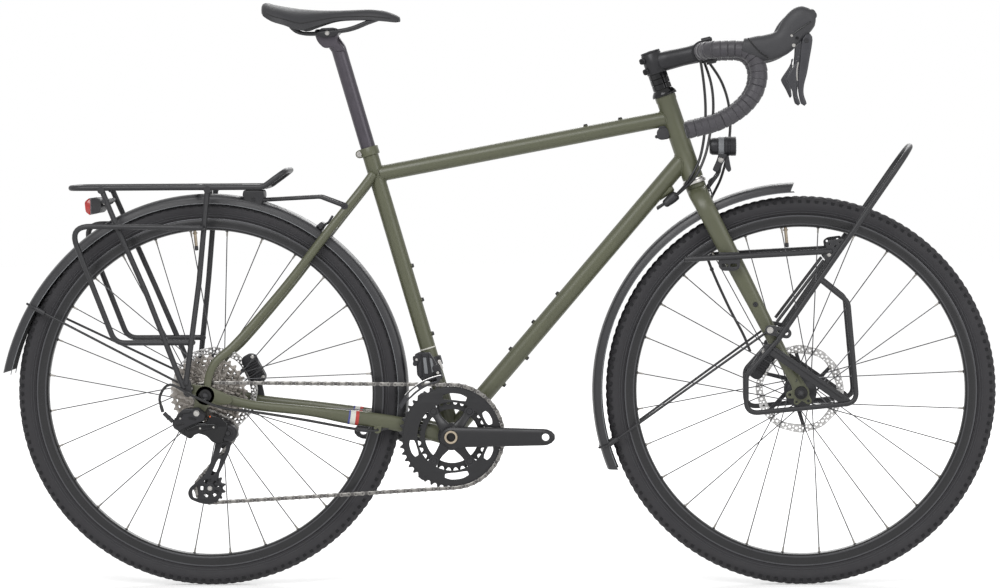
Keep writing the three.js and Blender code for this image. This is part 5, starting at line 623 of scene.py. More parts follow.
def seat_tube():
    collar_low = 541 - 15
    rows = [(13.9, 541), (17.2, 541), (17.6, 540.4), (17.6, collar_low + 0.5), (17.2, collar_low),
            (SEAT_R, collar_low - 0.8), (SEAT_R, 18), (13.9, 18)]
    tube = turned(rows, 56, on_seat_tube(0), SEAT_UP, closed=True)
    centre = on_seat_tube(collar_low + 7.5) + SEAT_BACK * 17.6
    ears = [rod(centre + ACROSS * inner, centre + ACROSS * outer, 7.3, 32, 0.7)
            for inner, outer in (pair(side, 1.1, 9) for side in SIDES)]
    web = [rod(centre - SEAT_BACK * 7 + ACROSS * s * 4.6, centre + ACROSS * s * 4.6, 5.6, 24) for s in (-1, 1)]
    studs = [rod(on_seat_tube(d) - SEAT_BACK * 11, on_seat_tube(d) - SEAT_BACK * 15.7, 3.9, 24, 0.3)
             for d in SEAT_BOSSES]
    bead = weld(on_seat_tube(80), -SEAT_UP, SEAT_R, BRACKET_MIDDLE, ACROSS, 20.5, 1.7)
    build("seat_tube_shell", [tube, *ears, *web, *studs, bead], OLIVE, "frame", "seat_tube")
    screw = [bolt(centre - ACROSS * 8.7, -ACROSS, 4.4, 4.2, 0.5),
             cross_rod(centre.x, centre.z, 8.6, 11.6, 4.2, 24, 0.5)]
    build("collar_screw", screw, SILVER, "frame")
    band = turned([(SEAT_R, 0), (SEAT_R + 0.6, 0.2), (SEAT_R + 0.6, 2.4), (SEAT_R, 2.6)], 56, on_seat_tube(161),
                  SEAT_UP, closed=True)
    build("seat_tube_band", [band], WHITE, "frame")


def bracket_shell():
    rows = [(17.5, -34), (20.2, -34), (20.5, -33.6), (20.5, 33.6), (20.2, 34), (17.5, 34)]
    shell = turned(rows, 56, BRACKET_MIDDLE, closed=True)
    build("bracket_shell", [shell], OLIVE, "frame", "bottom_bracket_shell")
    cups = []
    for side in SIDES:
        def notch(turn, radius, along):
            return -0.8 if radius > 21 and (turn * 16 / pi) % 2 < 1 else 0
        rows = [(12.6, 43.8), (19.5, 43.8), (20.2, 43.2), (20.2, 39), (21.4, 38.6), (21.4, 34.4), (17.2, 34.3),
                (12.6, 34.3)]
        cups.append(turned([(r, side * a) for r, a in rows], 128, BRACKET_MIDDLE, closed=True, wave=notch))
    build("bracket_cups", cups, BLACK_ALLOY, "frame", "bottom_bracket_bearings")


CHAINSTAY = [(423, 274, 24, 32, 20), (390, 283, 29, 30, 17), (351, 293.5, 34, 27, 13), (300, 303, 43, 26, 14),
             (256, 309, 52, 25, 15), (185, 320.7, 60, 18, 13), (86, 332, 66.5, 17, 12), (40, 343, 69, 17, 11),
             (14, 347, 74, 15, 7)]
SEATSTAY = [(300, 745, 15, 16, 13), (284, 722, 19, 17, 13), (222, 645, 32.5, 16, 12.5), (152.6, 555.8, 40, 16, 12.5),
            (90, 482, 51, 16, 12), (47.8, 436, 61, 16, 12), (19, 411, 69.5, 15, 11), (6, 384, 74, 14, 7),
            (4, 366, 74.5, 13, 7)]


def stay(stations, side):
    rows = [((x, side * across, z), height, width) for x, z, across, height, width in stations]
    return swelling(rows, 36, step=10)


def dropout(side):
    low, high = pair(side, 71, 78)
    holes = [circle(0, AXLE, 6.2, 36), circle(*EYELET, 4.2, 24)]
    parts = [plate([link_outline((0, AXLE), (40, 343), 18, 8.5), holes[0]], low, high, 0.7),
             plate([link_outline((0, AXLE), EYELET, 17.5, 8), *holes], low, high, 0.7)]
    if side < 0:
        parts.append(plate([link_outline((0, AXLE), HANGER, 17, 9), holes[0]], low, high, 0.7))
    return parts


def stays():
    for side, hand in HANDS:
        parts = [stay(CHAINSTAY, side), *dropout(side)]
        if side > 0:
            parts.append(cross_rod(*STAY_BRIDGE, -24, 24, 6, 32))
        build(f"chainstay_{hand}_tube", parts, OLIVE, "frame", f"chainstay_{hand}")
        parts = [stay(SEATSTAY, side)]
        if side > 0:
            parts.append(cross_rod(*SEAT_BRIDGE, -28, 28, 6, 32))
        build(f"seatstay_{hand}_tube", parts, OLIVE, "frame", f"seatstay_{hand}")
    for low, high, paint in ((255.0, 258.2, BLUE), (258.2, 267.0, WHITE), (267.0, 273.5, RED)):
        bands = []
        for side in SIDES:
            rings = oval_rings([((x, side * y, z), height + 0.7, width + 0.7)
                                for x, z, y, height, width in CHAINSTAY], 36, step=1.0)
            near = [ring for ring in rings if low - 0.5 < sum(p.x for p in ring) / len(ring) < high + 0.5]
            bands.append(loft(near))
        build(f"chainstay_band_{round(low)}", bands, paint, "frame")
    tab = plate([link_outline((309, 299), (307, 285), 7, 6.5), circle(307, 285, 2.8, 20)], -46, -42, 0.5)
    build("chainstay_tab", [tab], OLIVE, "frame")


def headset():
    rows = [(15.3, 0.3), (HEAD_R, 0.3), (HEAD_R + 0.9, 1.4), (HEAD_R + 0.9, 5.2), (HEAD_R + 0.2, 5.7),
            (HEAD_R + 0.9, 6.2), (HEAD_R + 0.9, 9.4), (15.3, 9.4)]
    build("headset_cup", [turned(rows, 64, on_steering(414), STEER_UP, closed=True)], SILVER, "frame",
          "headset_lower_cup")


# Wheels
SPOKES = 28


def rim(axle, body, node):
    rows = [(317.0, -11.2), (317.0, -9.6), (309, -9.2), (307, -6), (304.5, 0), (307, 6), (309, 9.2), (317.0, 9.6),
            (317.0, 11.2), (315, 12.2), (300, 12.4), (297.6, 11.2), (295.2, 7), (294.6, 0), (295.2, -7),
            (297.6, -11.2), (300, -12.4), (315, -12.2)]
    ring = turned(rows, 160, axle, closed=True)
    eyes = []
    for k in range(SPOKES):
        turn = 2 * pi * (k + 0.5) / SPOKES
        out = outward(turn)
        eyes.append(rod(axle + out * 297, axle + out * 293.6, 2.9, 14))
    build(node + "_hoop", [ring, *eyes], RIM, body, node)
    # Thin lighter rings on both rim faces at the inner and outer edge: a painted highlight.
    edges = [turned([(r0, side * 12.15), (r0 + 1.4, side * 12.55), (r0 + 2.8, side * 12.15)], 160, axle, closed=True)
             for side in SIDES for r0 in (299.2, 313.6)]
    build(node + "_painted_highlights", edges, RIM_HIGHLIGHT, body)
    turn = radians(95)
    out = outward(turn)
    build(node + "_valve", [rod(axle + out * 295, axle + out * 266, 2.9, 20),
                            rod(axle + out * 292, axle + out * 289, 4.4, 20, 0.5)], BRASS, body)
    build(node + "_valve_cap", [rod(axle + out * 268, axle + out * 259, 3.4, 20, 1.2)], BLACK_PLASTIC, body)


def tyre(axle, body, node):
    flank = 316.6
    rows = []
    for k in range(29):
        turn = pi * (k / 28)
        y = -20 * cos(turn)
        r = 332.5 + 17.0 * sin(turn) ** 0.9
        rows.append((r, y))
    profile = [(flank, -10.4), (322, -15.5), (328, -18.8), *rows[1:-1], (328, 18.8), (322, 15.5), (flank, 10.4),
               (315.8, 0)]
    seg = 432

    def tread(turn, radius, along):
        step = round(turn / (2 * pi) * seg)
        a = abs(along)
        if radius < 334:
            return 0
        if a < 4.2:
            return 1.0 if step % 3 else -0.2
        if a < 7.4:
            return -0.6
        if a < 13.5:
            slant = (step + (2 if a > 10 else 0)) % 4
            return 1.0 if slant < 2 else -0.9
        if a < 15.5:
            return -0.8
        if a < 18.6:
            return 1.2 if step % 4 < 2 else -0.7
        return 0
    build(node + "_cover", [turned(profile, seg, axle, closed=True, wave=tread)], TYRE, body, node, smooth=30)
    ribs = []
    for side in SIDES:
        for radius, y, size in ((321.5, 15.3, 0.7), (325.4, 17.6, 0.5)):
            rows = [polar((radius, side * y), size, pi * k / 4) for k in range(8)]
            ribs.append(turned(rows, 180, axle, closed=True))
    build(node + "_ribs", ribs, WALL, body)
    blocks, corners = [], ((-4.4, -2.6), (-4.4, 2.6), (5.0, 3.1), (5.0, -3.1))
    for turn in turns(144):
        out, on = outward(turn), Vector((-sin(turn), 0, cos(turn)))
        for side in SIDES:
            low = axle + out * 338.5 + ACROSS * (side * 18.3) + on * (3 if side > 0 else 0)
            blocks.append(loft([[low + out * a + on * b + ACROSS * (side * c) for a, b in corners]
                                for c in (-3.2, 0.9)]))
    build(node + "_blocks", blocks, TREAD, body, smooth=20)


def spokes(axle, body, node, flanges, flange_radius):
    """Two-millimetre spokes laced three-cross between a pair of flanges and the rim."""
    wires, nipples = [], []
    for k in range(SPOKES):
        side = -1 if k % 2 else 1
        lean = 1 if k // 2 % 2 else -1
        tip = 2 * pi * (k + 0.5) / SPOKES
        root = tip - lean * 3 * 2 * pi / (SPOKES / 2) * 0.62
        flange = flanges[0] if side < 0 else flanges[1]
        head = outward(root)
        end = outward(tip)
        y = flange + (1.6 if lean * side > 0 else -1.6)
        start = axle + head * flange_radius + Vector((0, y, 0))
        stop = axle + end * 296 + Vector((0, side * 1.6, 0))
        away = (stop - start).normalized()
        wires.append(sweep([start - Vector((0, 2.2 * (1 if y > flange else -1), 0)), start, start + away * 2.5,
                            start + away * 30, stop], 0.98, 8))
        nipples.append(rod(stop - away * 11, stop + away * 0.5, 1.5, 10, 0.3, 1.9))
    build(node + "_spokes", wires, SPOKE, body)
    build(node + "_nipples", nipples, NIPPLE, body)


def front_hub():
    flange = 27
    rows = [(6.4, -49.6), (9.2, -49.6), (9.5, -49.2), (9.5, -40), (14, -37), (24, -34), (29, -flange - 2.6),
            (29, -flange + 2.2), (27.2, -flange + 3), (26, -flange + 4), (26, flange - 4), (27.2, flange - 3),
            (29, flange - 2.2), (29, flange + 2.6), (24, 34), (17.2, 36.2), (16.5, 43), (9.5, 44), (9.5, 49.2),
            (9.2, 49.6), (6.4, 49.6)]
    shell = turned(rows, 72, FRONT, closed=True)
    grooves = [turned([(26.0, y), (26.5, y + 0.5), (26.0, y + 1)], 72, FRONT, closed=True) for y in (-15, 14)]
    build("front_hub_shell", [shell, *grooves], BLACK_ALLOY, "front_wheel", "front_hub")
    plug = [cross_rod(FRONT.x - 17, FRONT.z + 6, -44, -36, 5, 16, 0.8)]
    plug.append(slab([(FRONT.x - 24, FRONT.z + 12), (FRONT.x - 10, FRONT.z + 16), (FRONT.x - 8, FRONT.z - 8),
                      (FRONT.x - 20, FRONT.z - 10)], 4, -47, -40, 1, 2))
    build("hub_plug", plug, BLACK_PLASTIC, "steering")
    spokes(FRONT, "front_wheel", "front_wheel", (-flange, flange), 25)


def rear_hub():
    rows = [(6.4, 70.4), (9.2, 70.4), (9.5, 70), (9.5, 60), (16.6, 58), (16.8, 50), (20, 46), (26, 36), (28.6, 35),
            (29, 34.2), (29, 31.6), (27, 30.8), (16, 26), (13.4, 20), (13, 0), (14, -6), (22, -12.2), (28.6, -13.6),
            (29, -14.4), (29, -17), (26, -18), (16, -19), (8.3, -19.6), (8.3, -69.6), (6.4, -69.9)]
    shell = turned(rows, 72, REAR, closed=True)
    build("rear_hub_shell", [shell], BLACK_ALLOY, "rear_wheel", "rear_hub")
    spokes(REAR, "rear_wheel", "rear_wheel", (-15.5, 33), 25)


def rotor(axle, body, node, plane):
    seg = 36
    middle = (axle.x, axle.z)
    outer = [polar(middle, 79.2 + 0.7 * cos(12 * turn), turn) for turn in turns(240)]
    holes = [[polar(middle, 65.5 + 1.6 * cos(6 * turn + 0.6), turn) for turn in turns(240)]]
    for turn in turns(seg):
        for reach, off, size in ((75.6, 0, 1.9), (71.6, 0.5, 2.2), (69.2, 0.02, 1.5)):
            holes.append(circle(*polar(middle, reach, turn + off * 2 * pi / seg), size, 12))
    track = plate([outer, *holes], plane - 0.9, plane + 0.9, 0.15)
    build(node + "_track", [track], ROTOR, body, node)
    arms = []
    for k in range(6):
        turn = 2 * pi * k / 6 + 0.2
        a, b = polar(middle, 22, turn), polar(middle, 67, turn + 0.42)
        arms.append(plate([link_outline(a, b, 4.2, 3.2), circle(*b, 1.5, 14)], plane - 1.1, plane + 1.1, 0.4))
    ring = plate([circle(*middle, 25, 60), circle(*middle, 17.6, 60)], plane - 1.6, plane + 1.6, 0.5)
    build(node + "_carrier", [*arms, ring], BLACK_ALLOY, body)
    rivets = []
    for k in range(6):
        turn = 2 * pi * k / 6 + 0.62
        rivets.append(cross_rod(*polar(middle, 67, turn), plane - 1.5, plane + 1.5, 2.5, 18, 0.4))
    build(node + "_rivets", rivets, SILVER, body)


def axle_rod(axle, body, node, half, thickness):
    end = half + thickness
    rows = [(0, -end - 1.0), (5.2, -end - 1.0), (5.6, -end - 3.6), (7.4, -end - 4.2), (10.8, -end - 4.2),
            (11.6, -end - 3.4), (11.9, -end - 0.3), (6, -end - 0.3), (6, end + 1.5), (5, end + 2.2), (0, end + 2.2)]
    build(node + "_bar", [turned(rows, 48, axle)], BLACK_GLOSS, body, node)
    socket = [bolt(axle - ACROSS * (end + 1.0), -ACROSS, 4.2, 2.2, 0.2)]
    build(node + "_socket", socket, SPOKE, body)


def calliper(axle, degrees, plane, foot, body, node):
    turn = radians(degrees)
    centre = around(axle, 83, turn)
    spin = Matrix.Translation(centre) @ Matrix.Rotation(pi / 2 - turn, 4, "Y")
    outline = soft_outline([(-29, -7), (-22, -14), (22, -14), (29, -7), (29, 7), (22, 14), (-22, 14), (-29, 7)], 6)
    halves = [plate([outline], plane - 11, plane - 1.3, 2.2, 3), plate([outline], plane + 1.3, plane + 15.4, 3.0, 3)]
    caps = [cross_rod(0, 0, plane + 14.6, plane + 16, 9.5, 32, 0.6)]
    caps += [slab([(x - 1.3, -12), (x + 1.3, -12), (x + 1.3, 12), (x - 1.3, 12)], 0.8, plane - 13.4, plane - 10.4,
                  0.5, pieces=2) for x in (-13, -8.5, -4, 0.5, 5, 9.5, 14)]
    caps.append(slab([(-30, 1), (-22, 17), (-8, 15), (-12, 4)], 4, plane - 9, plane - 4, 1.2, 2))
    caps.append(slab([(30, -1), (24, -17), (12, -15), (14, -4)], 4, plane - 9, plane + 6, 1.2, 2))
    block = [moved(part, spin) for part in (*halves, *caps)]
    arm = plate([link_outline((centre.x, centre.z), foot, 7, 7)], plane + 9, plane + 16, 1.2)
    build(node + "_body", [*block, arm], BLACK_ALLOY, body, node)
    screws = []
    for x, z in ((-21, 9), (21, 9), (-21, -9), (21, -9)):
        screws.append(moved(bolt((x, plane + 15.2, z), ACROSS, 2.8, 1.8, 0.2), spin))
    for x in (-21, 21):
        screws.append(moved(bolt((x, plane - 11.0, 9), -ACROSS, 2.6, 2.0, 0.2), spin))
    screws.append(bolt((foot[0], plane + 16, foot[1]), ACROSS, 3.6, 2.4, 0.3))
    build(node + "_screws", screws, SILVER, body)


def wheels():
    for axle, body, side in ((FRONT, "front_wheel", "front"), (REAR, "rear_wheel", "rear")):
        rim(axle, body, side + "_rim")
        tyre(axle, body, side + "_tyre")
    front_hub()
    rear_hub()
    rotor(FRONT, "front_wheel", "front_rotor", 39.5)
    rotor(REAR, "rear_wheel", "rear_rotor", 55.7)
    axle_rod(FRONT, "steering", "front_axle", 50, 8)
    axle_rod(REAR, "frame", "rear_axle", 71, 7)
    calliper(FRONT, 147, 39.5, (1024, 418), "steering", "front_calliper")
    calliper(REAR, 28, 55.7, (84, 338), "frame", "rear_calliper")


# Drive
OUTER_PLANE, INNER_PLANE, COG_PLANE = -50.6, -43.1, -63.0
OUTER_TEETH, INNER_TEETH, SMALL_COG, GUIDE_TEETH, TENSION_TEETH = 46, 30, 11, 11, 13
PITCH, COG_STEP, LINK_HALF = 12.7, 3.95, 3.9
GUIDE, TENSION, CAGE_PIVOT = (33, AXLE - 64.7), (5.4, AXLE - 168.2), (41, AXLE - 67.7)
SPIDER_TURNS, SPIDER_REACH = [radians(degrees) for degrees in (54, 126, 234, 306)], 55


def pitch_radius(teeth):
    return PITCH / (2 * sin(pi / teeth))


def tooth_outline(teeth, x, z, tip=2.3, phase=0.0):
    radius, step = pitch_radius(teeth), 2 * pi / teeth
    out = []
    for k in range(teeth):
        seat = k * step + phase
        rows = [(0, -3.7), (2.4 / radius, -2.9), (3.5 / radius, -0.9), (step / 2 - 1.5 / radius, tip - 0.5),
                (step / 2 - 0.8 / radius, tip), (step / 2 + 0.8 / radius, tip), (step / 2 + 1.5 / radius, tip - 0.5),
                (step - 3.5 / radius, -0.9), (step - 2.4 / radius, -2.9)]
        for off, rise in rows:
            out.append(polar((x, z), radius + rise, seat + off))
    return out


def sector_window(x, z, inner, outer, start, end):
    """A rounded window between two reaches and two turns."""
    pieces = 8
    corners = [(outer, start + (end - start) * k / pieces) for k in range(pieces + 1)]
    corners += [(inner, end - (end - start) * k / pieces) for k in range(pieces + 1)]
    return soft_outline([polar((x, z), r, a) for r, a in corners], 3.0, 2)


def bored(piece, parts):
    """Cuts closed parts out of a finished piece."""
    for part in parts:
        cutter = build("cutter", [part], BLACK_STEEL, None)
        change = piece.modifiers.new("cut", "BOOLEAN")
        change.operation = "DIFFERENCE"
        change.solver = "EXACT"
        change.object = cutter
        bpy.context.view_layer.update()
        result = bpy.data.meshes.new_from_object(piece.evaluated_get(bpy.context.evaluated_depsgraph_get()))
        piece.modifiers.clear()
        old = piece.data
        piece.data = result
        bpy.data.meshes.remove(old)
        bpy.data.objects.remove(cutter)
    return piece


def fittings():
    shell = [slab([(812, 818), (816, 824), (831, 826), (837, 815), (834, 805), (820, 803), (813, 806)], 3, -11, 11, 2,
                  3, pieces=2)]
    shell.append(slab([(815, 828), (832, 830), (834, 820), (816, 820)], 2, -8, 8, 1, 2))
    shell.append(rod((812, -7, 809), (812, 7, 809), 3.2, 18, 0.8))
    build("cable_box", shell, BLACK_PLASTIC, "frame")
    clip = [slab([(196, 652), (206, 660), (214, 655), (208, 646)], 2, -15, 15, 1.2, 2)]
    clip.append(capsule([Vector((212, -18, 654)), Vector((220, -19, 659)), Vector((227, -19, 670))], 2.2, 12))
    clip += [rod((205, side * 10, 645), (205, side * 17, 650), 3.4, 16, 0.6) for side in SIDES]
    build("bridge_clip", clip, BLACK_STEEL, "frame")


def chainrings():
    x, z = BRACKET
    outer = plate([tooth_outline(OUTER_TEETH, x, z), circle(x, z, 81.5, 120)], OUTER_PLANE - 1, OUTER_PLANE + 1, 0.35)
    windows = []
    for middle, span, low, high in ((27, 10, 67, 79), (-24, 10, 67, 79), (85, 17, 66, 78), (-83, 17, 66, 78),
                                    (197, 12, 66, 78)):
        ends = [radians(middle + span * t) for t in (-1, -0.5, 0, 0.5, 1)]
        rim_points = [polar((x, z), high, t) for t in ends[1:4]]
        foot_points = [polar((x, z), low, t) for t in reversed(ends[1:4])]
        mean = (low + high) / 2
        tips = [[polar((x, z), r, ends[k]) for r in radii]
                for k, radii in ((4, (high - 2.5, mean, low + 2.5)), (0, (low + 2.5, mean, high - 2.5)))]
        windows.append(soft_outline(rim_points + tips[0] + foot_points + tips[1], 5, 5))
    step = plate([circle(x, z, 87.5, 120), circle(x, z, 61.5, 120), *windows], OUTER_PLANE - 2.3, OUTER_PLANE - 0.8,
                 0.6, 2)
    tabs = []
    for turn in SPIDER_TURNS:
        tabs.append(plate([link_outline(polar(BRACKET, SPIDER_REACH, turn), polar(BRACKET, 83, turn), 8.2, 12.5)],
                          OUTER_PLANE - 1.2, OUTER_PLANE + 1.0, 0.5))
    pins = [cross_rod(*polar(BRACKET, 68, radians(d)), OUTER_PLANE - 0.8, INNER_PLANE - 2.4, 2.4, 14, 0.4)
            for d in (43, 113, 142, 170, 224, 251, 299, 322)]
    inner = plate([tooth_outline(INNER_TEETH, x, z), circle(x, z, 48.5, 90)], INNER_PLANE - 1, INNER_PLANE + 1, 0.35)
    build("chainring_pair", [outer, step, *tabs, *pins, inner], CRANK_BLACK, "crankset", "chainrings")
    bolts = []
    for turn in SPIDER_TURNS:
        px, pz = polar(BRACKET, SPIDER_REACH, turn)
        bolts.append(bolt((px, OUTER_PLANE - 1.1, pz), -ACROSS, 5.2, 1.6, 0.2))
        bolts.append(cross_rod(px, pz, OUTER_PLANE, INNER_PLANE + 1.6, 4.4, 20, 0.4))
        washer = ((5.6, -1.6), (6.2, -2.2), (8.4, -2.2), (9.2, -1.4), (9.2, -0.8), (5.6, -0.8))
        bolts.append(turned([(r, OUTER_PLANE + off) for r, off in washer], 32, (px, 0, pz), closed=True))
    build("chainring_bolts", bolts, BLACK_STEEL, "crankset")


def crank_arm(side):
    rows = []
    for x, height, thick in ((-17.5, 16, 9), (-13, 28, 12), (-4, 36, 13.6), (6, 37.5, 14), (22, 37, 14),
                             (45, 36, 13.8), (80, 34.5, 13.4), (120, 32.5, 13), (148, 31, 12.8), (162, 30.5, 12.8),
                             (173, 28.5, 12.4), (181, 21, 10.6), (185, 12, 8)):
        place = (BRACKET[0] - side * x, side * (65 + 0.047 * x), BRACKET[1])
        rows.append((place, height, thick))
    return swelling(rows, 40, 0.3, step=6, power=2.9)


def cranks():
    x, z = BRACKET
    for side, hand in HANDS:
        arm = build(f"crank_arm_{hand}", [crank_arm(side)], CRANK_BLACK, "crankset", f"crank_{hand}", smooth=40)
        lean = side * (65 + 8)
        end = x - side * 170
        bored(arm, [cross_rod(end, z, lean - 12, lean + 12, 7.2, 32), cross_rod(x, z, *pair(side, 40, 90), 12.2, 40)])
        thread = turned([(7.25, lean - 6.0), (6.7, lean - 6.0), (6.7, lean + 6.0), (7.25, lean + 6.0)], 32,
                        (end, 0, z), closed=True)
        build(f"pedal_thread_{hand}", [thread], BLACK_STEEL, "crankset")
    hub = turned([(12.2, -62), (21, -62), (24.5, -58), (25, -52), (24.5, -45), (12.2, -44.4)], 64, (x, 0, z),
                 closed=True)
    arms = []
    for turn in SPIDER_TURNS:
        out = outward(turn)
        rows = [(Vector((x, -56.5, z)) + out * 12, 26, 12), (Vector((x, -56, z)) + out * 26, 19, 10),
                (Vector((x, -52.2, z)) + out * 40, 14.5, 7), (Vector((x, -48.4, z)) + out * 52, 15, 3.2),
                (Vector((x, -47.6, z)) + out * 60.5, 9, 3.0)]
        packed = oval_rings([(tuple(p), h, w) for p, h, w in rows], 28, step=4, power=2.8)
        arms.append(loft(packed))
    build("crank_spider", [hub, *arms], CRANK_BLACK, "crankset")
    spindle = turned([(8.2, -72.6), (11.6, -72.6), (12, -72.0), (12, 72.3), (11.4, 72.8), (8.2, 72.8)], 48, (x, 0, z),
                     closed=True)
    build("crank_spindle", [spindle], BARE, "crankset")
    cap = [turned([(0, 70), (8.2, 70), (8.2, 73.4), (7, 74), (3.2, 74), (3, 72), (0, 72)], 32, (x, 0, z))]
    cap.append(turned([(0, -58), (8.1, -58), (8.1, -62)], 32, (x, 0, z)))
    build("crank_cap", cap, BLACK_PLASTIC, "crankset")
    clamp = [bolt((x + 15, 66, z + 6.5 + 10.5), (0, 0, 1), 3.0, 2.2, 0.3)]
    build("crank_pinch_bolt", clamp, BLACK_STEEL, "crankset")


def cassette():
    teeth = (SMALL_COG, 13, 15, 17, 19, 21, 23, 25, 27, 30, 34)
    cogs = []
    for i, count in enumerate(teeth):
        plane = COG_PLANE + i * COG_STEP
        radius = pitch_radius(count)
        holes = [circle(0, AXLE, 17.2 if i else 15, 48)]
        if radius > 44:
            wide = 7 if radius > 50 else 6
            for k in range(wide):
                start = 2 * pi * k / wide + i * 0.05
                holes.append(sector_window(0, AXLE, 27, radius - 8.5, start, start + 2 * pi / wide * 0.66))
        cogs.append(plate([tooth_outline(count, 0, AXLE, 2.2, i * 0.07), *holes], plane - 0.8, plane + 0.8, 0.3))
    # Every other cog takes the darker copy of the steel, as painted shade between the cogs.
    build("sprocket_stack", cogs[::2], COGS, "sprockets", "cassette", second=(cogs[1::2], COGS_PAINTED_SHADE))
    spacers = []
    for i, wall in enumerate([17.4, 18.6, *[20.4] * 8]):
        low, high = COG_PLANE + i * COG_STEP + 0.9, COG_PLANE + (i + 1) * COG_STEP - 0.9
        spacers.append(turned([(16.6, low), (wall, low), (wall, high), (16.6, high)], 48, REAR, closed=True))
    build("sprocket_spacers", spacers, BLACK_PLASTIC, "sprockets")

    def spline(turn, radius, along):
        return -1.3 if radius < 13 and (turn * 12 / pi) % 2 < 1 else 0
    lock = turned([(12.4, -64.6), (16.6, -64.6), (17.2, -64.1), (17.2, -63.2), (12.4, -62.6)], 96, REAR, closed=True,
                  wave=spline)
    build("lock_ring", [lock], COGS, "sprockets")


def pulleys():
    for name, body, node, teeth, place in (("guide_wheel", "upper_jockey", "guide_pulley", GUIDE_TEETH, GUIDE),
                                           ("tension_wheel", "lower_jockey", "tension_pulley", TENSION_TEETH,
                                            TENSION)):
        x, z = place
        radius = pitch_radius(teeth)
        holes = [circle(x, z, 5.4, 24)] + [circle(*polar(place, radius * 0.57, k * pi / 3), radius * 0.14, 14)
                                           for k in range(6)]
        disc = plate([tooth_outline(teeth, x, z, 1.9), *holes], COG_PLANE - 1.0, COG_PLANE + 1.0, 0.3)
        build(name, [disc], BLACK_PLASTIC, body, node)
        bush = turned([(3.1, -1.9), (6.2, -1.9), (6.2, 1.9), (3.1, 1.9)], 28, (x, COG_PLANE, z), closed=True)
        build(name + "_bush", [bush], SILVER, body)


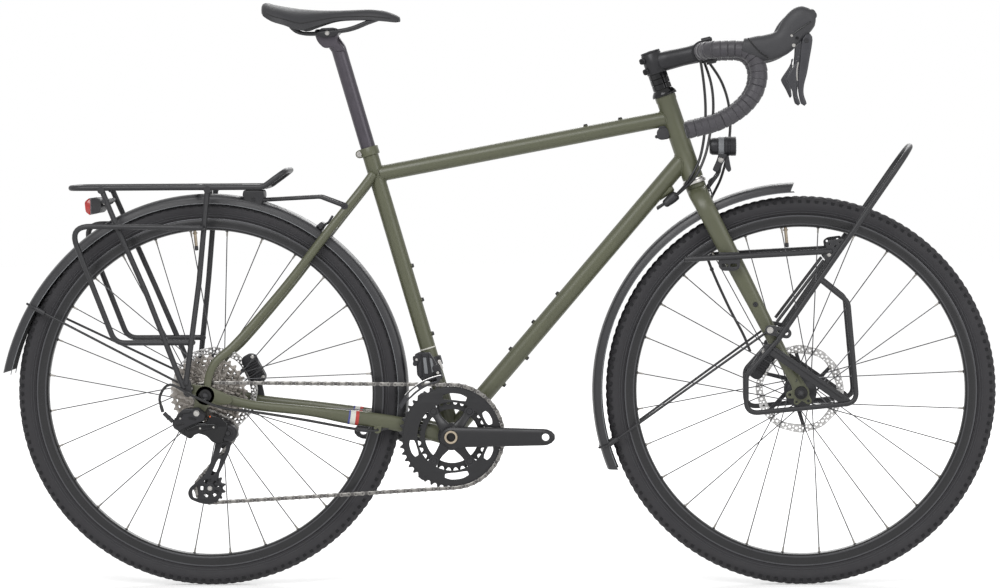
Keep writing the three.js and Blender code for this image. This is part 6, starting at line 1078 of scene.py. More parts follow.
def rear_changer():
    (gx, gz), (tx, tz) = GUIDE, TENSION
    outline = [(24, 283), (25, 267), (15, 247), (-3.5, 206.5), (-31, 184), (-35, 174), (-31, 163), (-14, 156),
               (2, 153), (19, 158.5), (28, 172), (27, 183), (18, 196), (21, 206), (33, 230), (42.5, 251), (46.5, 275),
               (44, 293), (33, 299)]
    windows = [soft_outline([(28.5, 262), (36, 261), (34.5, 250), (29, 241), (22.5, 243)], 3),
               soft_outline([(20.5, 236), (27, 235), (15.5, 208), (7, 205.5)], 3)]
    windows += [sector_window(*TENSION, 9.5, 17.0, radians(d - 24), radians(d + 24))
                for d in (35, 105, 180, 250, 320)]
    windows.append(soft_outline([(-16, 190), (-27, 178), (-25, 166), (-16, 164), (-15, 177)], 3))
    plates = [plate([soft_outline(outline, 6, 4), *windows], COG_PLANE - 5.8, COG_PLANE - 4.2, 0.45)]

    def at(share, off=0.0):
        dx, dz = tx - gx, tz - gz
        length = hypot(dx, dz)
        return (gx + dx * share - dz / length * off, gz + dz * share + dx / length * off)
    back = soft_outline([at(-0.13, 5), at(-0.1, -9), at(0.08, -15), at(0.3, -11), at(0.7, -10), at(0.92, -14),
                         at(1.1, -12), at(1.15, 3), at(1.02, 13), at(0.75, 9), at(0.35, 9), at(0.1, 13)], 9, 5)
    window = soft_outline([at(0.3, -5), at(0.72, -4.5), at(0.72, 4.5), at(0.3, 4)], 4, 4)
    plates.append(plate([back, window], COG_PLANE + 4.2, COG_PLANE + 5.8, 0.45))
    bolts = [cross_rod(*place, COG_PLANE - 5.8, COG_PLANE + 5.8, 2.5, 20) for place in (GUIDE, TENSION)]
    pivot = cross_rod(*CAGE_PIVOT, COG_PLANE - 13.5, COG_PLANE - 4.6, 4.9, 24)
    stop = [cross_rod(*at(0.5, 7.4), COG_PLANE - 5.0, COG_PLANE + 5.0, 2.0, 16)]
    build("changer_cage", [*plates, *bolts, pivot, *stop], BLACK_ALLOY, "rear_changer_cage", "rear_derailleur_cage")
    screws = [bolt((place[0], COG_PLANE - 5.7, place[1]), -ACROSS, 3.4, 1.8, 0.3) for place in (GUIDE, TENSION)]
    build("pulley_screws", screws, SILVER, "rear_changer_cage")

    face = COG_PLANE - 6.4
    px, pz = CAGE_PIVOT
    knuckle = turned([(5.4, face), (16.4, face), (17, face - 0.8), (17, face - 7), (15.6, face - 13),
                      (13.5, face - 15.6), (12.6, face - 16), (9.0, face - 16), (8.6, face - 15), (0, face - 15)], 56,
                      (px, 0, pz))
    bx, bz = HANGER
    ux, uz = -52, AXLE - 52
    upper = [slab([(-58, 292), (-51, 316), (-36, 329), (-8, 328), (2, 320), (0, 306), (-18, 300), (-40, 290)], 6,
                  -91.0, -76.5, 3.0, 3, pieces=5)]
    upper.append(cross_rod(bx, bz, -91.3, -78.4, 10.5, 40, 1.6))
    upper.append(cross_rod(ux + 6, uz + 2, -91.3, -74.7, 12, 44, 1.8))
    build("changer_body_upper", upper, BLACK_ALLOY, "frame", "rear_derailleur_body")
    link = [slab([(-56, 296), (-30, 304), (2, 302), (8, 318), (27, 313), (43, 297), (30, 264), (14, 266), (2, 279),
                  (-16, 284), (-26, 272), (-46, 284)], 6, -87.5, -75.4, 2.6, 3, pieces=5)]
    link.append(slab([(-38, 289), (-12, 300), (20, 301), (24, 292), (0, 289), (-16, 281), (-33, 278)], 4, -90.6, -86,
                     1.8, 3, pieces=4))
    for x, z, length, lean in ((-46, 313, 14, 0.5), (-34, 321, 18, 0.1), (-22, 310, 12, -0.3), (-44, 300, 11, 0.2),
                               (-4, 322, 10, -0.6)):
        a, b = (polar((x, z), reach, lean) for reach in (-length / 2, length / 2))
        link.append(plate([link_outline(a, b, 2.2, 1.4)], -92.2, -89.5, 0.7, 2))
    build("changer_link", link, BLACK_GLOSS, "frame")
    build("changer_knuckle", [knuckle], BLACK_ALLOY, "frame")
    silver = [bolt((bx, -91.2, bz), -ACROSS, 4.2, 2.6, 0.4)]
    silver += [bolt((x, y, z), -ACROSS, 1.9, 1.1, 0.1)
               for x, y, z in ((-44, -90.8, AXLE - 40), (-8, -90.4, AXLE - 58), (16, -90.4, AXLE - 56))]
    build("changer_bolts", silver, SILVER, "frame")
    dark = [cross_rod(px, pz, face - 16.6, face - 14.8, 7.2, 32, 0.6),
            bolt((px, face - 16.4, pz), -ACROSS, 4.4, 1.2, 0.2)]
    build("changer_pivot", dark, BLACK_STEEL, "frame")
    dot = [cross_rod(9.5, 313.5, -88.2, -87.2, 1.5, 16)]
    build("changer_dot", dot, ORANGE, "frame")
    last, barrel_end = Vector((ux, -85, uz)), Vector((-76, -85, 322))
    away = (barrel_end - last).normalized()
    barrel = [rod(last + away * 8, barrel_end - away * 2.8, 3.9, 20, 0.4)]
    barrel.append(rod(last + away * 17.5, last + away * (17.5 + 2.4), 5.0, 20, 0.5))
    build("cable_adjuster", barrel, BLACK_PLASTIC, "frame")


def front_changer():
    def at(radius, degrees):
        return polar(BRACKET, radius, radians(degrees))

    plates = []
    for low, high in ((OUTER_PLANE - 6.35, OUTER_PLANE - 4.95), (OUTER_PLANE + 4.95, OUTER_PLANE + 6.35)):
        top = [at(112.5 - (2.5 if d > 140 else 0), d) for d in range(98, 153, 5)]
        bottom = [at(100.5 + (2 if d > 140 else 0), d) for d in range(152, 97, -5)]
        slots = [soft_outline([at(109.5, d0), at(109.5, (d0 + d1) / 2), at(109.5, d1), at(104, d1),
                               at(104, (d0 + d1) / 2), at(104, d0)], 2, 3) for d0, d1 in ((104, 120), (124, 138))]
        plates.append(plate([soft_outline(top + bottom, 4, 3), *slots], low, high, 0.35))
    roof = []
    for start, end in ((98, 115), (141, 151)):
        rings = []
        for k in range(9):
            d = start + (end - start) * k / 8
            inner, outer = at(111.0 - (2.5 if d > 140 else 0), d), at(112.4 - (2.5 if d > 140 else 0), d)
            rings.append([Vector((place[0], OUTER_PLANE + off, place[1]))
                          for place, off in ((outer, -6.2), (outer, 6.2), (inner, 6.2), (inner, -6.2))])
        roof.append(loft(rings))
    build("front_cage", [*plates, *roof], CAGE_STEEL, "front_changer_cage", "front_derailleur_cage")
    edge = [Vector((at(112.3, d)[0], OUTER_PLANE - 6.3, at(112.3, d)[1])) for d in range(99, 139, 3)]
    build("front_cage_edge", [sweep(edge, 0.8, 8)], ROTOR, "front_changer_cage")
    body = [slab([(375, 421), (384, 425), (402, 424), (408, 414), (420, 392), (425, 380), (414, 371), (388, 373),
                  (379, 384), (378, 402)], 2.5, -42, -22, 1.6, 3)]
    for row in ([(378, 423), (388, 424), (388, 376), (382, 384), (380, 404)],
                [(400, 421), (405, 416), (420, 388), (417, 376), (412, 390), (401, 404)],
                [(386, 380), (412, 378), (410, 373), (388, 374)]):
        body.append(slab(row, 1.5, -45, -40, 0.8, 2))
    body.append(slab([(372, 418), (379, 418), (379, 408), (372, 410)], 2, -46, -34, 1, 2))
    body.append(slab([(386, 424), (401, 422), (408, 412), (398, 392), (384, 400)], 5, -26, -14.6, 2, 2))
    clamp = turned([(14.6, -8.5), (18.0, -8.5), (18.6, -7.8), (18.6, 7.8), (18.0, 8.5), (14.6, 8.5)], 56,
                   on_seat_tube(136), SEAT_UP, closed=True)
    body.append(plate([link_outline((380, 415), (376, 404), 6, 4)], -48, -30, 1.4, 2))
    body.append(plate([link_outline((414, 396), (421, 381), 7, 5)], -47, -36, 1.4, 2))
    build("front_changer_body", [*body, clamp], BLACK_ALLOY, "frame", "front_derailleur_body")
    inset = [slab([(390, 415), (396, 415.6), (399.5, 386), (393, 386)], 2, -45.4, -43.2, 0.6),
             slab([(402, 415), (406, 414), (412, 393), (406.5, 387)], 2, -45.4, -43.2, 0.6)]
    build("front_changer_inset", inset, GREY_TRIM_AND_HIGHLIGHT, "frame")
    arms = [plate([link_outline((419, 408), (424, 396), 2.6, 2.2)], -40, -32, 0.6)]
    arms.append(bolt((417, -46.8, 388), -ACROSS, 3.0, 1.4, 0.2))
    arms.append(bolt((379, -47.8, 412), -ACROSS, 2.6, 1.2, 0.2))
    build("front_changer_screws", arms, SILVER, "frame")


def chain_path():
    """The runs and arcs of the chain round the smallest cog, the outer ring and both pulleys, in its order."""
    circles = [(0, AXLE, pitch_radius(SMALL_COG), 1, -COG_PLANE),
               (*BRACKET, pitch_radius(OUTER_TEETH), 1, -OUTER_PLANE),
               (*TENSION, pitch_radius(TENSION_TEETH), 1, -COG_PLANE),
               (*GUIDE, pitch_radius(GUIDE_TEETH), -1, -COG_PLANE)]
    spans = []
    for i, (x, z, radius, turning, plane) in enumerate(circles):
        nx, nz, next_radius, next_turning, next_plane = circles[(i + 1) % 4]
        start, end = turning * radius, next_turning * next_radius
        heading = atan2(nz - z, nx - x) - asin((start - end) / hypot(nx - x, nz - z))
        over = (-sin(heading), cos(heading))
        spans.append((Vector((x + start * over[0], -plane, z + start * over[1])),
                      Vector((nx + end * over[0], -next_plane, nz + end * over[1])), heading))
    parts = []
    for i, (start, end, heading) in enumerate(spans):
        x, z, radius, turning, plane = circles[(i + 1) % 4]
        parts.append(("run", i, start, end, (end - start).length))
        arc = ((heading - spans[(i + 1) % 4][2]) * turning) % (2 * pi)
        parts.append(("arc", i, (x, z, radius, turning, plane), heading + turning * pi / 2, radius * arc))
    return parts


def chain_place(parts, distance):
    """The place of the chain at a distance along it, and the run or arc that it is on."""
    for kind, number, a, b, length in parts:
        if distance <= length:
            if kind == "run":
                return a.lerp(b, distance / length), (kind, number)
            x, z, radius, turning, plane = a
            turn = b - turning * distance / radius
            return Vector((x + radius * cos(turn), -plane, z + radius * sin(turn))), (kind, number)
        distance -= length
    return chain_place(parts, distance)


def chain():
    parts = chain_path()
    total = sum(part[4] for part in parts)
    count = 2 * round(total / (2 * PITCH))
    pins, zones = [], []
    for k in range(count):
        place, zone = chain_place(parts, (k * total / count) % total)
        pins.append(place)
        zones.append(zone)
    outer, inner, rollers = ({name: [] for name in ("frame", "feed", "cage", "lower")} for _ in range(3))
    piece_of = {("run", 0): "frame", ("arc", 0): "frame", ("run", 1): "lower", ("arc", 1): "cage",
                ("run", 2): "cage", ("arc", 2): "cage", ("run", 3): "feed", ("arc", 3): "frame"}
    for k in range(count):
        a, b = pins[k], pins[(k + 1) % count]
        name = piece_of[zones[k]]
        along = (b - a).normalized()
        over = along.cross(ACROSS).normalized()
        side = over.cross(along).normalized()
        wide = k % 2
        near, far = (1.55, 2.4) if wide else (0.65, 1.45)
        length = (b - a).length
        round_ends = [[(start + LINK_HALF * cos(t), LINK_HALF * sin(t))
                       for t in (radians(first + 156 * i / 6) for i in range(7))]
                      for start, first in ((length, -78), (0, 102))]
        outline = [*round_ends[0], (length / 2, 2.9), *round_ends[1], (length / 2, -2.9)]
        for hand in (-1, 1):
            rings = []
            for depth, scale in ((near, 1), (far - 0.18, 1), (far, 0.93)):
                rings.append([a + along * (length / 2 + (u - length / 2) * scale) + over * (v * scale)
                              + side * (hand * depth) for u, v in outline])
            (outer if wide else inner)[name].append(loft(rings))
        rollers[name].append(rod(a - side * 2.62, a + side * 2.62, 1.75, 10, 0.25))
        rollers[name].append(rod(a - side * 0.62, a + side * 0.62, 3.8, 14))
    bodies = {"frame": "frame", "cage": "rear_changer_cage"}
    for name, links in outer.items():
        dark = ([*inner[name], *rollers[name]], CHAIN_DARK)
        piece = build(f"chain_{name}", links, CHAIN, bodies.get(name), "chain", smooth=50, second=dark)
        if name == "lower":
            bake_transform(piece)
        if name == "feed":
            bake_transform(piece)


def hose_places(route, step=6):
    """Smooth places along a route of (x, z, y) rows."""
    return smoothed([(x, y, z) for x, z, y in route], step)


def hose(route, radius, step=6, sides=14):
    return sweep(hose_places(route, step), radius, sides)


HOUSING = [(340, 292, -37), (302, 284, -45), (262, 289, -58), (180, 305, -67), (104, 318, -72), (30, 330, -89),
           (-20, 352, -99), (-60, 372, -99), (-80, 350, -92), (-76, 322, -85)]


def rear_housing():
    build("changer_housing", [hose(HOUSING, 2.5)], SHEATH, "frame", "rear_derailleur_housing")
    ends = []
    places = hose_places(HOUSING)
    ends.append(rod(places[0], places[2], 3.1, 18, 0.4))
    ends.append(rod(places[-1], places[-3], 3.1, 18, 0.4))
    a, b = Vector((302, -45, 284)), Vector((262, -58, 289))
    ends.append(rod(a.lerp(b, 0.3), a.lerp(b, 0.8), 4.6, 24, 0.8))
    build("housing_ends", ends, BLACK_PLASTIC, "frame")


def drive():
    fittings()
    chainrings()
    cranks()
    cassette()
    pulleys()
    rear_changer()
    front_changer()
    chain()
    rear_housing()


# Saddle
SADDLE_SIDES = 48
POST_BEND = Vector((239.1, 0, 971.9))
RAIL = [(139, 34, 1031), (150, 32, 1018), (176.7, 22, 999.5), (251, 22, 1004.9), (293.4, 17, 1019), (318, 9, 1027),
        (322, 0, 1028)]
SADDLE = [(-135.6, 79.6, 69.1, 34), (-134.2, 81.6, 62, 45), (-130.1, 83.3, 55.1, 57), (-113.1, 80.4, 44.1, 69),
          (-91.1, 76.1, 37.1, 72), (-65.1, 72.3, 27.6, 64), (-43.1, 70.3, 34.1, 49), (-23.1, 69.4, 41.1, 38),
          (0.9, 69.1, 47.6, 29), (30.9, 69.8, 49.1, 24), (60.9, 70.3, 48.1, 21.5), (85.9, 66.7, 46.6, 20),
          (102.9, 60.6, 45.6, 17.5), (109, 57.5, 46.6, 14), (110.9, 56.1, 47.1, 12)]


def seatpost():
    low, high = on_seat_tube(376), POST_BEND
    ahead = Vector((221, 0, 996.5))
    places = rounded([low, high, ahead], 18, 5)
    dense = [low.lerp(places[1], k / 4) for k in range(4)] + places[1:]
    neck = [slab([(196, 1001), (199, 1007), (233, 1006), (240, 999), (237, 986), (248, 977), (253, 968), (236, 964),
                  (229, 975), (214, 972), (202, 984)], 6, -15.5, 15.5, 4, 4, pieces=5)]
    build("seatpost_tube", [sweep(dense, 13.6, 40), *neck], POST, "seat", "seatpost", smooth=50)
    x, z = 221, 1002
    cradle = [slab([(x - 20, z - 6), (x - 21, z - 1), (x - 13, z + 1.5), (x + 13, z + 3.2), (x + 22, z + 2),
                    (x + 20, z - 4), (x + 10, z - 9), (x - 8, z - 10)], 4, -26.5, 26.5, 1.6, 2)]
    build("cradle_lower", cradle, BLACK_ALLOY, "seat")
    caps = []
    for side in SIDES:
        caps.append(slab([(x - 15, z + 1.8), (x - 11, z + 6.5), (x + 12, z + 7.6), (x + 17, z + 4)], 3,
                         *pair(side, 16.5, 26.8), 1.0, 2))
    build("cradle_caps", caps, BLACK_ALLOY, "seat")
    bolts = []
    for side in SIDES:
        bolts.append(bolt((x, side * 26.4, z - 2.5), (0, side, 0), 3.2, 2.0, 0.3))
        bolts.append(rod((x - 14, side * 7, z - 16), (x - 12, side * 7, z - 8), 3.4, 18, 0.6))
    bolts.append(rod((x + 15, 0, z - 12), (x + 14, 0, z + 5), 3, 18, 0.3))
    build("cradle_bolts", bolts, SILVER, "seat")


def saddle_ring(station):
    """One section of the saddle: full above its edge, shallower below."""
    x, top, edge, half = station
    depth = top - edge
    ring = []
    for k in range(SADDLE_SIDES):
        turn = 2 * pi * (k + 0.5) / SADDLE_SIDES
        c, s = cos(turn), sin(turn)
        if s >= 0:
            y = half * copysign(abs(c) ** 0.72, c)
            z = edge + depth * (abs(s) ** 0.82)
            z -= 2.2 * max(0, 1 - abs(y) / (half * 0.36)) * (1 if -120 < x < 70 else 0)
        else:
            y = (half - 1.2) * copysign(abs(c) ** 0.6, c)
            inner = min(13, depth * 0.75)
            z = edge + (depth - inner) * (abs(s) ** 0.55)
        ring.append(Vector((POST_BEND.x + x, y, POST_BEND.z + z)))
    return ring


def saddle():
    rails = []
    for side in SIDES:
        places = smoothed([(x, side * y, z) for x, y, z in RAIL], 5)
        rails.append(sweep(places, 3.5, 18))
    build("saddle_rail_pair", rails, BLACK_STEEL, "seat", "saddle_rails")
    rows = smoothed([Vector(station) for station in SADDLE], 9)
    rings = [saddle_ring(tuple(row)) for row in rows]
    head, tail = rings[0], rings[-1]
    first, last = centre_of(head), centre_of(tail)
    start = [[first + (p - first) * s + Vector((-0.7 * (1 - s) * 2.2, 0, 0)) for p in head] for s in (0.3, 0.6, 0.85)]
    end = [[last + (p - last) * s + Vector((0.8 * (1 - s) * 2, 0, 0)) for p in tail] for s in (0.85, 0.6, 0.3)]
    body = build("saddle_cushion", [loft(start + rings + end)], LEATHER, "seat", "saddle", smooth=60)
    seams = []
    for side in SIDES:
        line = []
        for row in rows[3:-3]:
            ring = saddle_ring(tuple(row))
            spot = ring[2 if side > 0 else 21]
            line.append(spot + Vector((0, side * 0.25, 0.1)))
        seams.append(sweep(line, 0.75, 8))
    build("saddle_seams", seams, SEAM, "seat")
    base = []
    for side in SIDES:
        base.append(swelling([((128, side * 34, 1030), 15, 22), ((140, side * 34, 1031), 16, 24),
                              ((152, side * 33, 1028), 12, 18)], 20, step=4))
    base.append(swelling([((312, 0, 1029), 8, 26), ((322, 0, 1029.5), 11, 28), ((331, 0, 1031), 8, 22)], 20, step=4))
    build("saddle_rail_mounts", base, BLACK_PLASTIC, "seat")


# Steering
BLADE = [(400, 0, 22, 36), (394, 22, 24, 36), (376, 38.5, 24, 34), (345, 43.5, 23, 33), (240, 47.5, 20.5, 30),
         (160, 50.5, 18.5, 26), (80, 53.5, 16, 23), (7, 54.5, 9, 19)]


def on_blade(height, across=0):
    """A place on the blades' middle line, which leans forward by the rake at its foot."""
    return on_steering(height, FORK_RAKE * (1 - height / 400) if height < 400 else 0, across)


def blade(side):
    rings = []
    rows = smoothed([Vector(row) for row in BLADE], 12)
    places = [on_blade(h, side * a) for h, a, _, _ in rows]
    for i, (_, _, width, depth) in enumerate(rows):
        along = (places[min(i + 1, len(rows) - 1)] - places[max(i - 1, 0)]).normalized()
        front = STEER_ON - along * along.dot(STEER_ON)
        front.normalize()
        wide = along.cross(front).normalized()
        ring = []
        for turn in turns(36):
            u, v = squared(turn, 0.8)
            ring.append(places[i] + front * (u * depth / 2) + wide * (v * width / 2))
        rings.append(ring)
    return loft(rings)


def fork():
    parts = [blade(side) for side in SIDES]
    crown = turned([(0, 397), (15, 397), (18.0, 400), (18.4, 406), (18.4, 413), (17.8, 413.9), (0, 413.9)], 56,
                   STEER_FOOT, STEER_UP)
    tube = turned([(0, 413), (14.3, 413), (14.3, 660), (12.8, 660.6), (12.8, 652), (0, 652)], 48, STEER_FOOT,
                  STEER_UP)
    parts += [crown, tube]
    for side in SIDES:
        parts.append(cross_rod(FRONT.x, FRONT.z, *pair(side, 50, 58), 15, 44, 0.9))
        for x, z, r in ((FRONT.x - 20, FRONT.z - 4, 6.5), (FRONT.x + 13, FRONT.z - 15, 6.0),
                        (FRONT.x - 8, FRONT.z - 17, 5.0)):
            ear = plate([link_outline((FRONT.x, FRONT.z), (x, z), 11, r), circle(x, z, r * 0.42, 18)],
                        *pair(side, 51, 57), 0.8, 2)
            parts.append(ear)
        parts.append(plate([link_outline((FRONT.x, FRONT.z), (FRONT.x - 12, FRONT.z + 30), 14.5, 8.5)],
                           *pair(side, 50.2, 57.8), 1.2, 2))
        boss = on_blade(124.4)
        parts.append(cross_rod(boss.x, boss.z, *pair(side, 50, 62), 6, 28, 0.5))
        mid = on_blade(176)
        parts.append(cross_rod(mid.x, mid.z, *pair(side, 48, 60.6), 5, 24, 0.5))
    build("fork_blades", parts, OLIVE, "steering", "fork", smooth=40)
    rings = [turned([(15.6, 414.0), (20.5, 414.0), (21.3, 415.2), (21.3, 419.6), (20.2, 421), (15.6, 421)], 56,
                    STEER_FOOT, STEER_UP, closed=True)]
    build("crown_race", rings, SILVER, "steering")
    screws = []
    for side in SIDES:
        screws.append(bolt((FRONT.x - 9.6, side * 57.8, FRONT.z + 22.4), (0, side, 0), 3.4, 1.8, 0.3))
        mid = on_blade(176)
        screws.append(bolt((mid.x, side * 60.5, mid.z), (0, side, 0), 3.6, 2.0, 0.3))
    build("fork_screws", screws, BLACK_STEEL, "steering")


def headset_top():
    cover = turned([(14.4, 581.0), (22.3, 581.0), (22.6, 583.0), (21.6, 586.5), (18.8, 590.6), (17.6, 592.6),
                    (14.4, 592.6)], 64, STEER_FOOT, STEER_UP, closed=True)
    spacers = [turned([(14.4, low + 0.15), (16.8, low + 0.15), (17.3, low + 0.6), (17.3, high - 0.6),
                       (16.8, high - 0.15), (14.4, high - 0.15)], 56, STEER_FOOT, STEER_UP, closed=True)
               for low, high in ((593, 603), (603, 613), (613, 623))]
    build("headset_cover", [cover, *spacers], BLACK_GLOSS, "steering", "headset_spacers")


def stem():
    forward = STEER_ON * cos(STEM_DROP) - STEER_UP * sin(STEM_DROP)
    up = STEER_UP * cos(STEM_DROP) + STEER_ON * sin(STEM_DROP)
    root = STEER_FOOT + STEER_UP * STEM_HEIGHT
    clamp = turned([(14.4, 623.2), (17.6, 623.2), (18.2, 624), (18.4, 642), (18.2, 660), (17.4, 661), (14.4, 661)],
                   60, STEER_FOOT, STEER_UP, closed=True)
    rows = [(root + forward * d, h, w)
            for d, h, w in ((8, 34, 31), (20, 35.5, 34), (34, 34.5, 33.5), (52, 33, 33), (68, 33.5, 36),
                            (78, 35, 41.5))]
    body = loft(oval_rings([(tuple(p), h, w) for p, h, w in rows], 44, step=5, power=2.5))
    ring = turned([(15.95, -21), (19.2, -21), (20.2, -20), (20.2, 20), (19.2, 21), (15.95, 21)], 72, BAR, closed=True)
    cap = turned([(0, 661), (17.0, 661), (17.6, 661.6), (17.6, 664.2), (16.6, 665), (5.2, 665), (4.8, 663.4),
                  (0, 663.4)], 56, STEER_FOOT, STEER_UP)
    build("stem_body", [clamp, body, ring, cap], BLACK_ALLOY, "steering", "stem", smooth=40)
    face = []
    for height in (-1, 1):
        for side in SIDES:
            place = BAR + forward * 12 + up * (height * 19) + Vector((0, side * 14, 0))
            face.append(rod(place - forward * 10, place + forward * 7.6, 5.4, 24, 0.9))
    for height in (632, 652):
        place = STEER_FOOT + STEER_UP * height - STEER_ON * 18
        face.append(swelling([(tuple(place + Vector((0, t, 0))), 11, 12) for t in (-11, 0, 11)], 24,
                             sideways=tuple(STEER_ON), step=4, power=3))
    build("stem_lugs", face, BLACK_ALLOY, "steering")
    bolts = []
    for height in (-1, 1):
        for side in SIDES:
            place = BAR + forward * 19.4 + up * (height * 19) + Vector((0, side * 14, 0))
            bolts.append(bolt(place, forward, 3.4, 2.0, 0.3))
    bolts.append(bolt(STEER_FOOT + STEER_UP * 663.4, STEER_UP, 4.4, 2.2, 0.3))
    for height in (632, 652):
        place = STEER_FOOT + STEER_UP * height - STEER_ON * 19
        bolts.append(bolt(place - ACROSS * 13.4, -ACROSS, 3.2, 2.0, 0.2))
    build("stem_bolts", bolts, BLACK_GLOSS, "steering")


BEND = [(0, 165, 0), (5, 193, 0), (22, 211, 1), (66, 218, 1), (86, 219, -10), (96, 220, -30), (96, 221, -55),
        (86, 223, -80), (63, 226, -104), (25, 229, -125), (-28, 233, -139)]


def handlebar():
    half = smoothed(BEND, 5)
    right = [on_bar(x, -y, z) for x, y, z in half]
    left = [on_bar(x, y, z) for x, y, z in half]
    core = list(reversed(right)) + [on_bar(0, t, 0) for t in range(-150, 151, 15)] + left
    wall = []
    for place in core:
        y = abs(place.y)
        wall.append(15.85 if y < 40 else (15.85 - (y - 40) / 25 * 3.6 if y < 65 else 12.2))
    build("handlebar_tube", [sweep(core, wall, 28)], BLACK_ALLOY, "steering", "handlebar")
    for hand, route in (("right", right), ("left", left)):
        start = [route[0] + Vector((0, (1 if hand == "right" else -1) * d, 0)) for d in (85, 70, 55, 40, 25, 12)]
        path = smoothed([tuple(p) for p in start + route], 1.3)
        lengths = [0.0]
        for a, b in zip(path, path[1:]):
            lengths.append(lengths[-1] + (b - a).length)
        total = lengths[-1]
        radii = []
        for d in lengths:
            wave = (d % 12.5) / 12.5
            swell = 14.7 + 0.9 * wave - 0.9 * max(0, 1 - wave / 0.12)
            swell *= min(1, 0.86 + 0.14 * min(d, 8) / 8)
            if total - d < 3:
                swell -= 0.8 * (1 - (total - d) / 3)
            radii.append(min(swell, 15.6))
        build(f"bar_wrap_{hand}", [sweep(path, radii, 32)], TAPE, "steering", smooth=25)
        end, before = path[-1], path[-6]
        out = (end - before).normalized()
        plug = turned([(0, -3), (12.5, -3), (14.3, 0.1), (14.3, 1.6), (13.2, 3.0), (9, 3.8), (8.4, 3.0), (0, 3.0)],
                      40, end, out)
        build(f"bar_plug_{hand}", [plug], BLACK_PLASTIC, "steering")
        first = Vector((BAR.x, (-1 if hand == "right" else 1) * 80, BAR.z))
        tape = turned([(13.0, -7.5), (14.4, -7.5), (14.6, -7), (14.6, 7), (14.4, 7.5), (13.0, 7.5)], 40, first,
                      closed=True)
        build(f"finish_tape_{hand}", [tape], BLACK_GLOSS, "steering")


HOOD = [(70, 7, 27, 33), (80, 5, 34, 36), (94, 3.5, 42, 37), (110, 3, 46, 37), (131, 9, 45, 35), (146, 20, 44, 34),
        (159, 39, 48, 34), (173, 51, 50, 33), (185, 58, 39, 30), (192, 62, 18, 21)]


HOOD_PLANE = 219


def hood(side):
    rows = [(on_bar(x, side * HOOD_PLANE, z), h, w) for x, z, h, w in HOOD]
    rings = oval_rings([(tuple(p), h, w) for p, h, w in rows], 44, step=4, power=2.5)
    first = rings[0]
    middle = centre_of(first)
    lip = [[middle + (p - middle) * s + Vector((d, 0, 0)) for p in first]
           for s, d in ((0.92, -1.2), (1.0, -0.8), (1.03, 0.6))]
    return loft(lip + rings[1:] + rounded_ends(rings)[len(rings) + 3:])


LEVER = [(181, 30), (190, 22), (189.5, 8), (186, -12), (181, -40), (175.5, -62), (175, -78), (180, -94), (176, -98),
         (170, -94), (166, -78), (164.5, -56), (167, -28), (169, -4), (171, 16)]
PADDLE = [(166, -10), (160, -25), (146, -46), (145, -53), (153, -68), (161, -84), (164, -80), (162, -58),
          (163.5, -34)]


def controls():
    for side, hand in HANDS:
        build(f"hood_cover_{hand}", [hood(side)], HOOD_RUBBER, "steering", f"hood_{hand}", smooth=60)
        seam = [Vector((x, side * y, z))
                for x, y, z in ((1050, 236.6, 986), (1060, 236.8, 993), (1072, 236.2, 1001), (1083, 234.4, 1008.6))]
        build(f"hood_seam_{hand}", [sweep(smoothed(seam, 4), 0.9, 8)], BLACK_GLOSS, "steering")
        lip = [Vector((x, side * y, z))
               for x, y, z in ((974, 238.6, 981), (984, 239.0, 968), (996, 239.0, 955), (1009, 238.2, 946))]
        build(f"hood_lip_{hand}", [sweep(smoothed(lip, 4), 1.0, 8)], BLACK_GLOSS, "steering")
        pins = [cross_rod(1049.5, 984.5, *pair(side, 234, 237.4), 2.3, 18, 0.4),
                cross_rod(1053, 968, *pair(side, 226, 233.5), 3.2, 18, 0.4)]
        build(f"hood_pins_{hand}", pins, SILVER, "steering")
        dark = [cross_rod(1059.5, 980, *pair(side, 233, 236.9), 2.6, 18, 0.4)]
        build(f"hood_screw_{hand}", dark, BLACK_GLOSS, "steering")
        name = f"brake_lever_{hand}"
        curve = smoothed([Vector((BAR.x + x, BAR.z + z, 0)) for x, z in LEVER], 6, closed=True)
        blade_part = plate([[(p[0], p[1]) for p in curve]], *pair(side, 212.5, 225.5), 3.4, 4)
        build(f"lever_blade_{hand}", [blade_part], LEVER_GREY, name, f"lever_{hand}", smooth=40)
        edge = [Vector((BAR.x + x, side * HOOD_PLANE, BAR.z + z))
                for x, z in ((165.6, -22), (163.4, -34), (163.2, -46), (163.8, -54))]
        build(f"lever_edge_{hand}", [sweep(smoothed([p + Vector((0, side * 4.5, 0)) for p in edge], 5), 1.3, 10)],
              SILVER, name)
        pivot = bolt((BAR.x + 180, side * 225.4, BAR.z + 15), (0, side, 0), 3.6, 1.2, 0.2)
        build(f"lever_pivot_{hand}", [pivot], BLACK_STEEL, name)
        curve = smoothed([Vector((BAR.x + x, BAR.z + z, 0)) for x, z in PADDLE], 4, closed=True)
        push = plate([[(p[0], p[1]) for p in curve]], *pair(side, 213.5, 224.5), 2.4, 3)
        build(f"paddle_blade_{hand}", [push], LEVER_GREY, f"shift_paddle_{hand}_body", f"shift_paddle_{hand}",
              smooth=40)


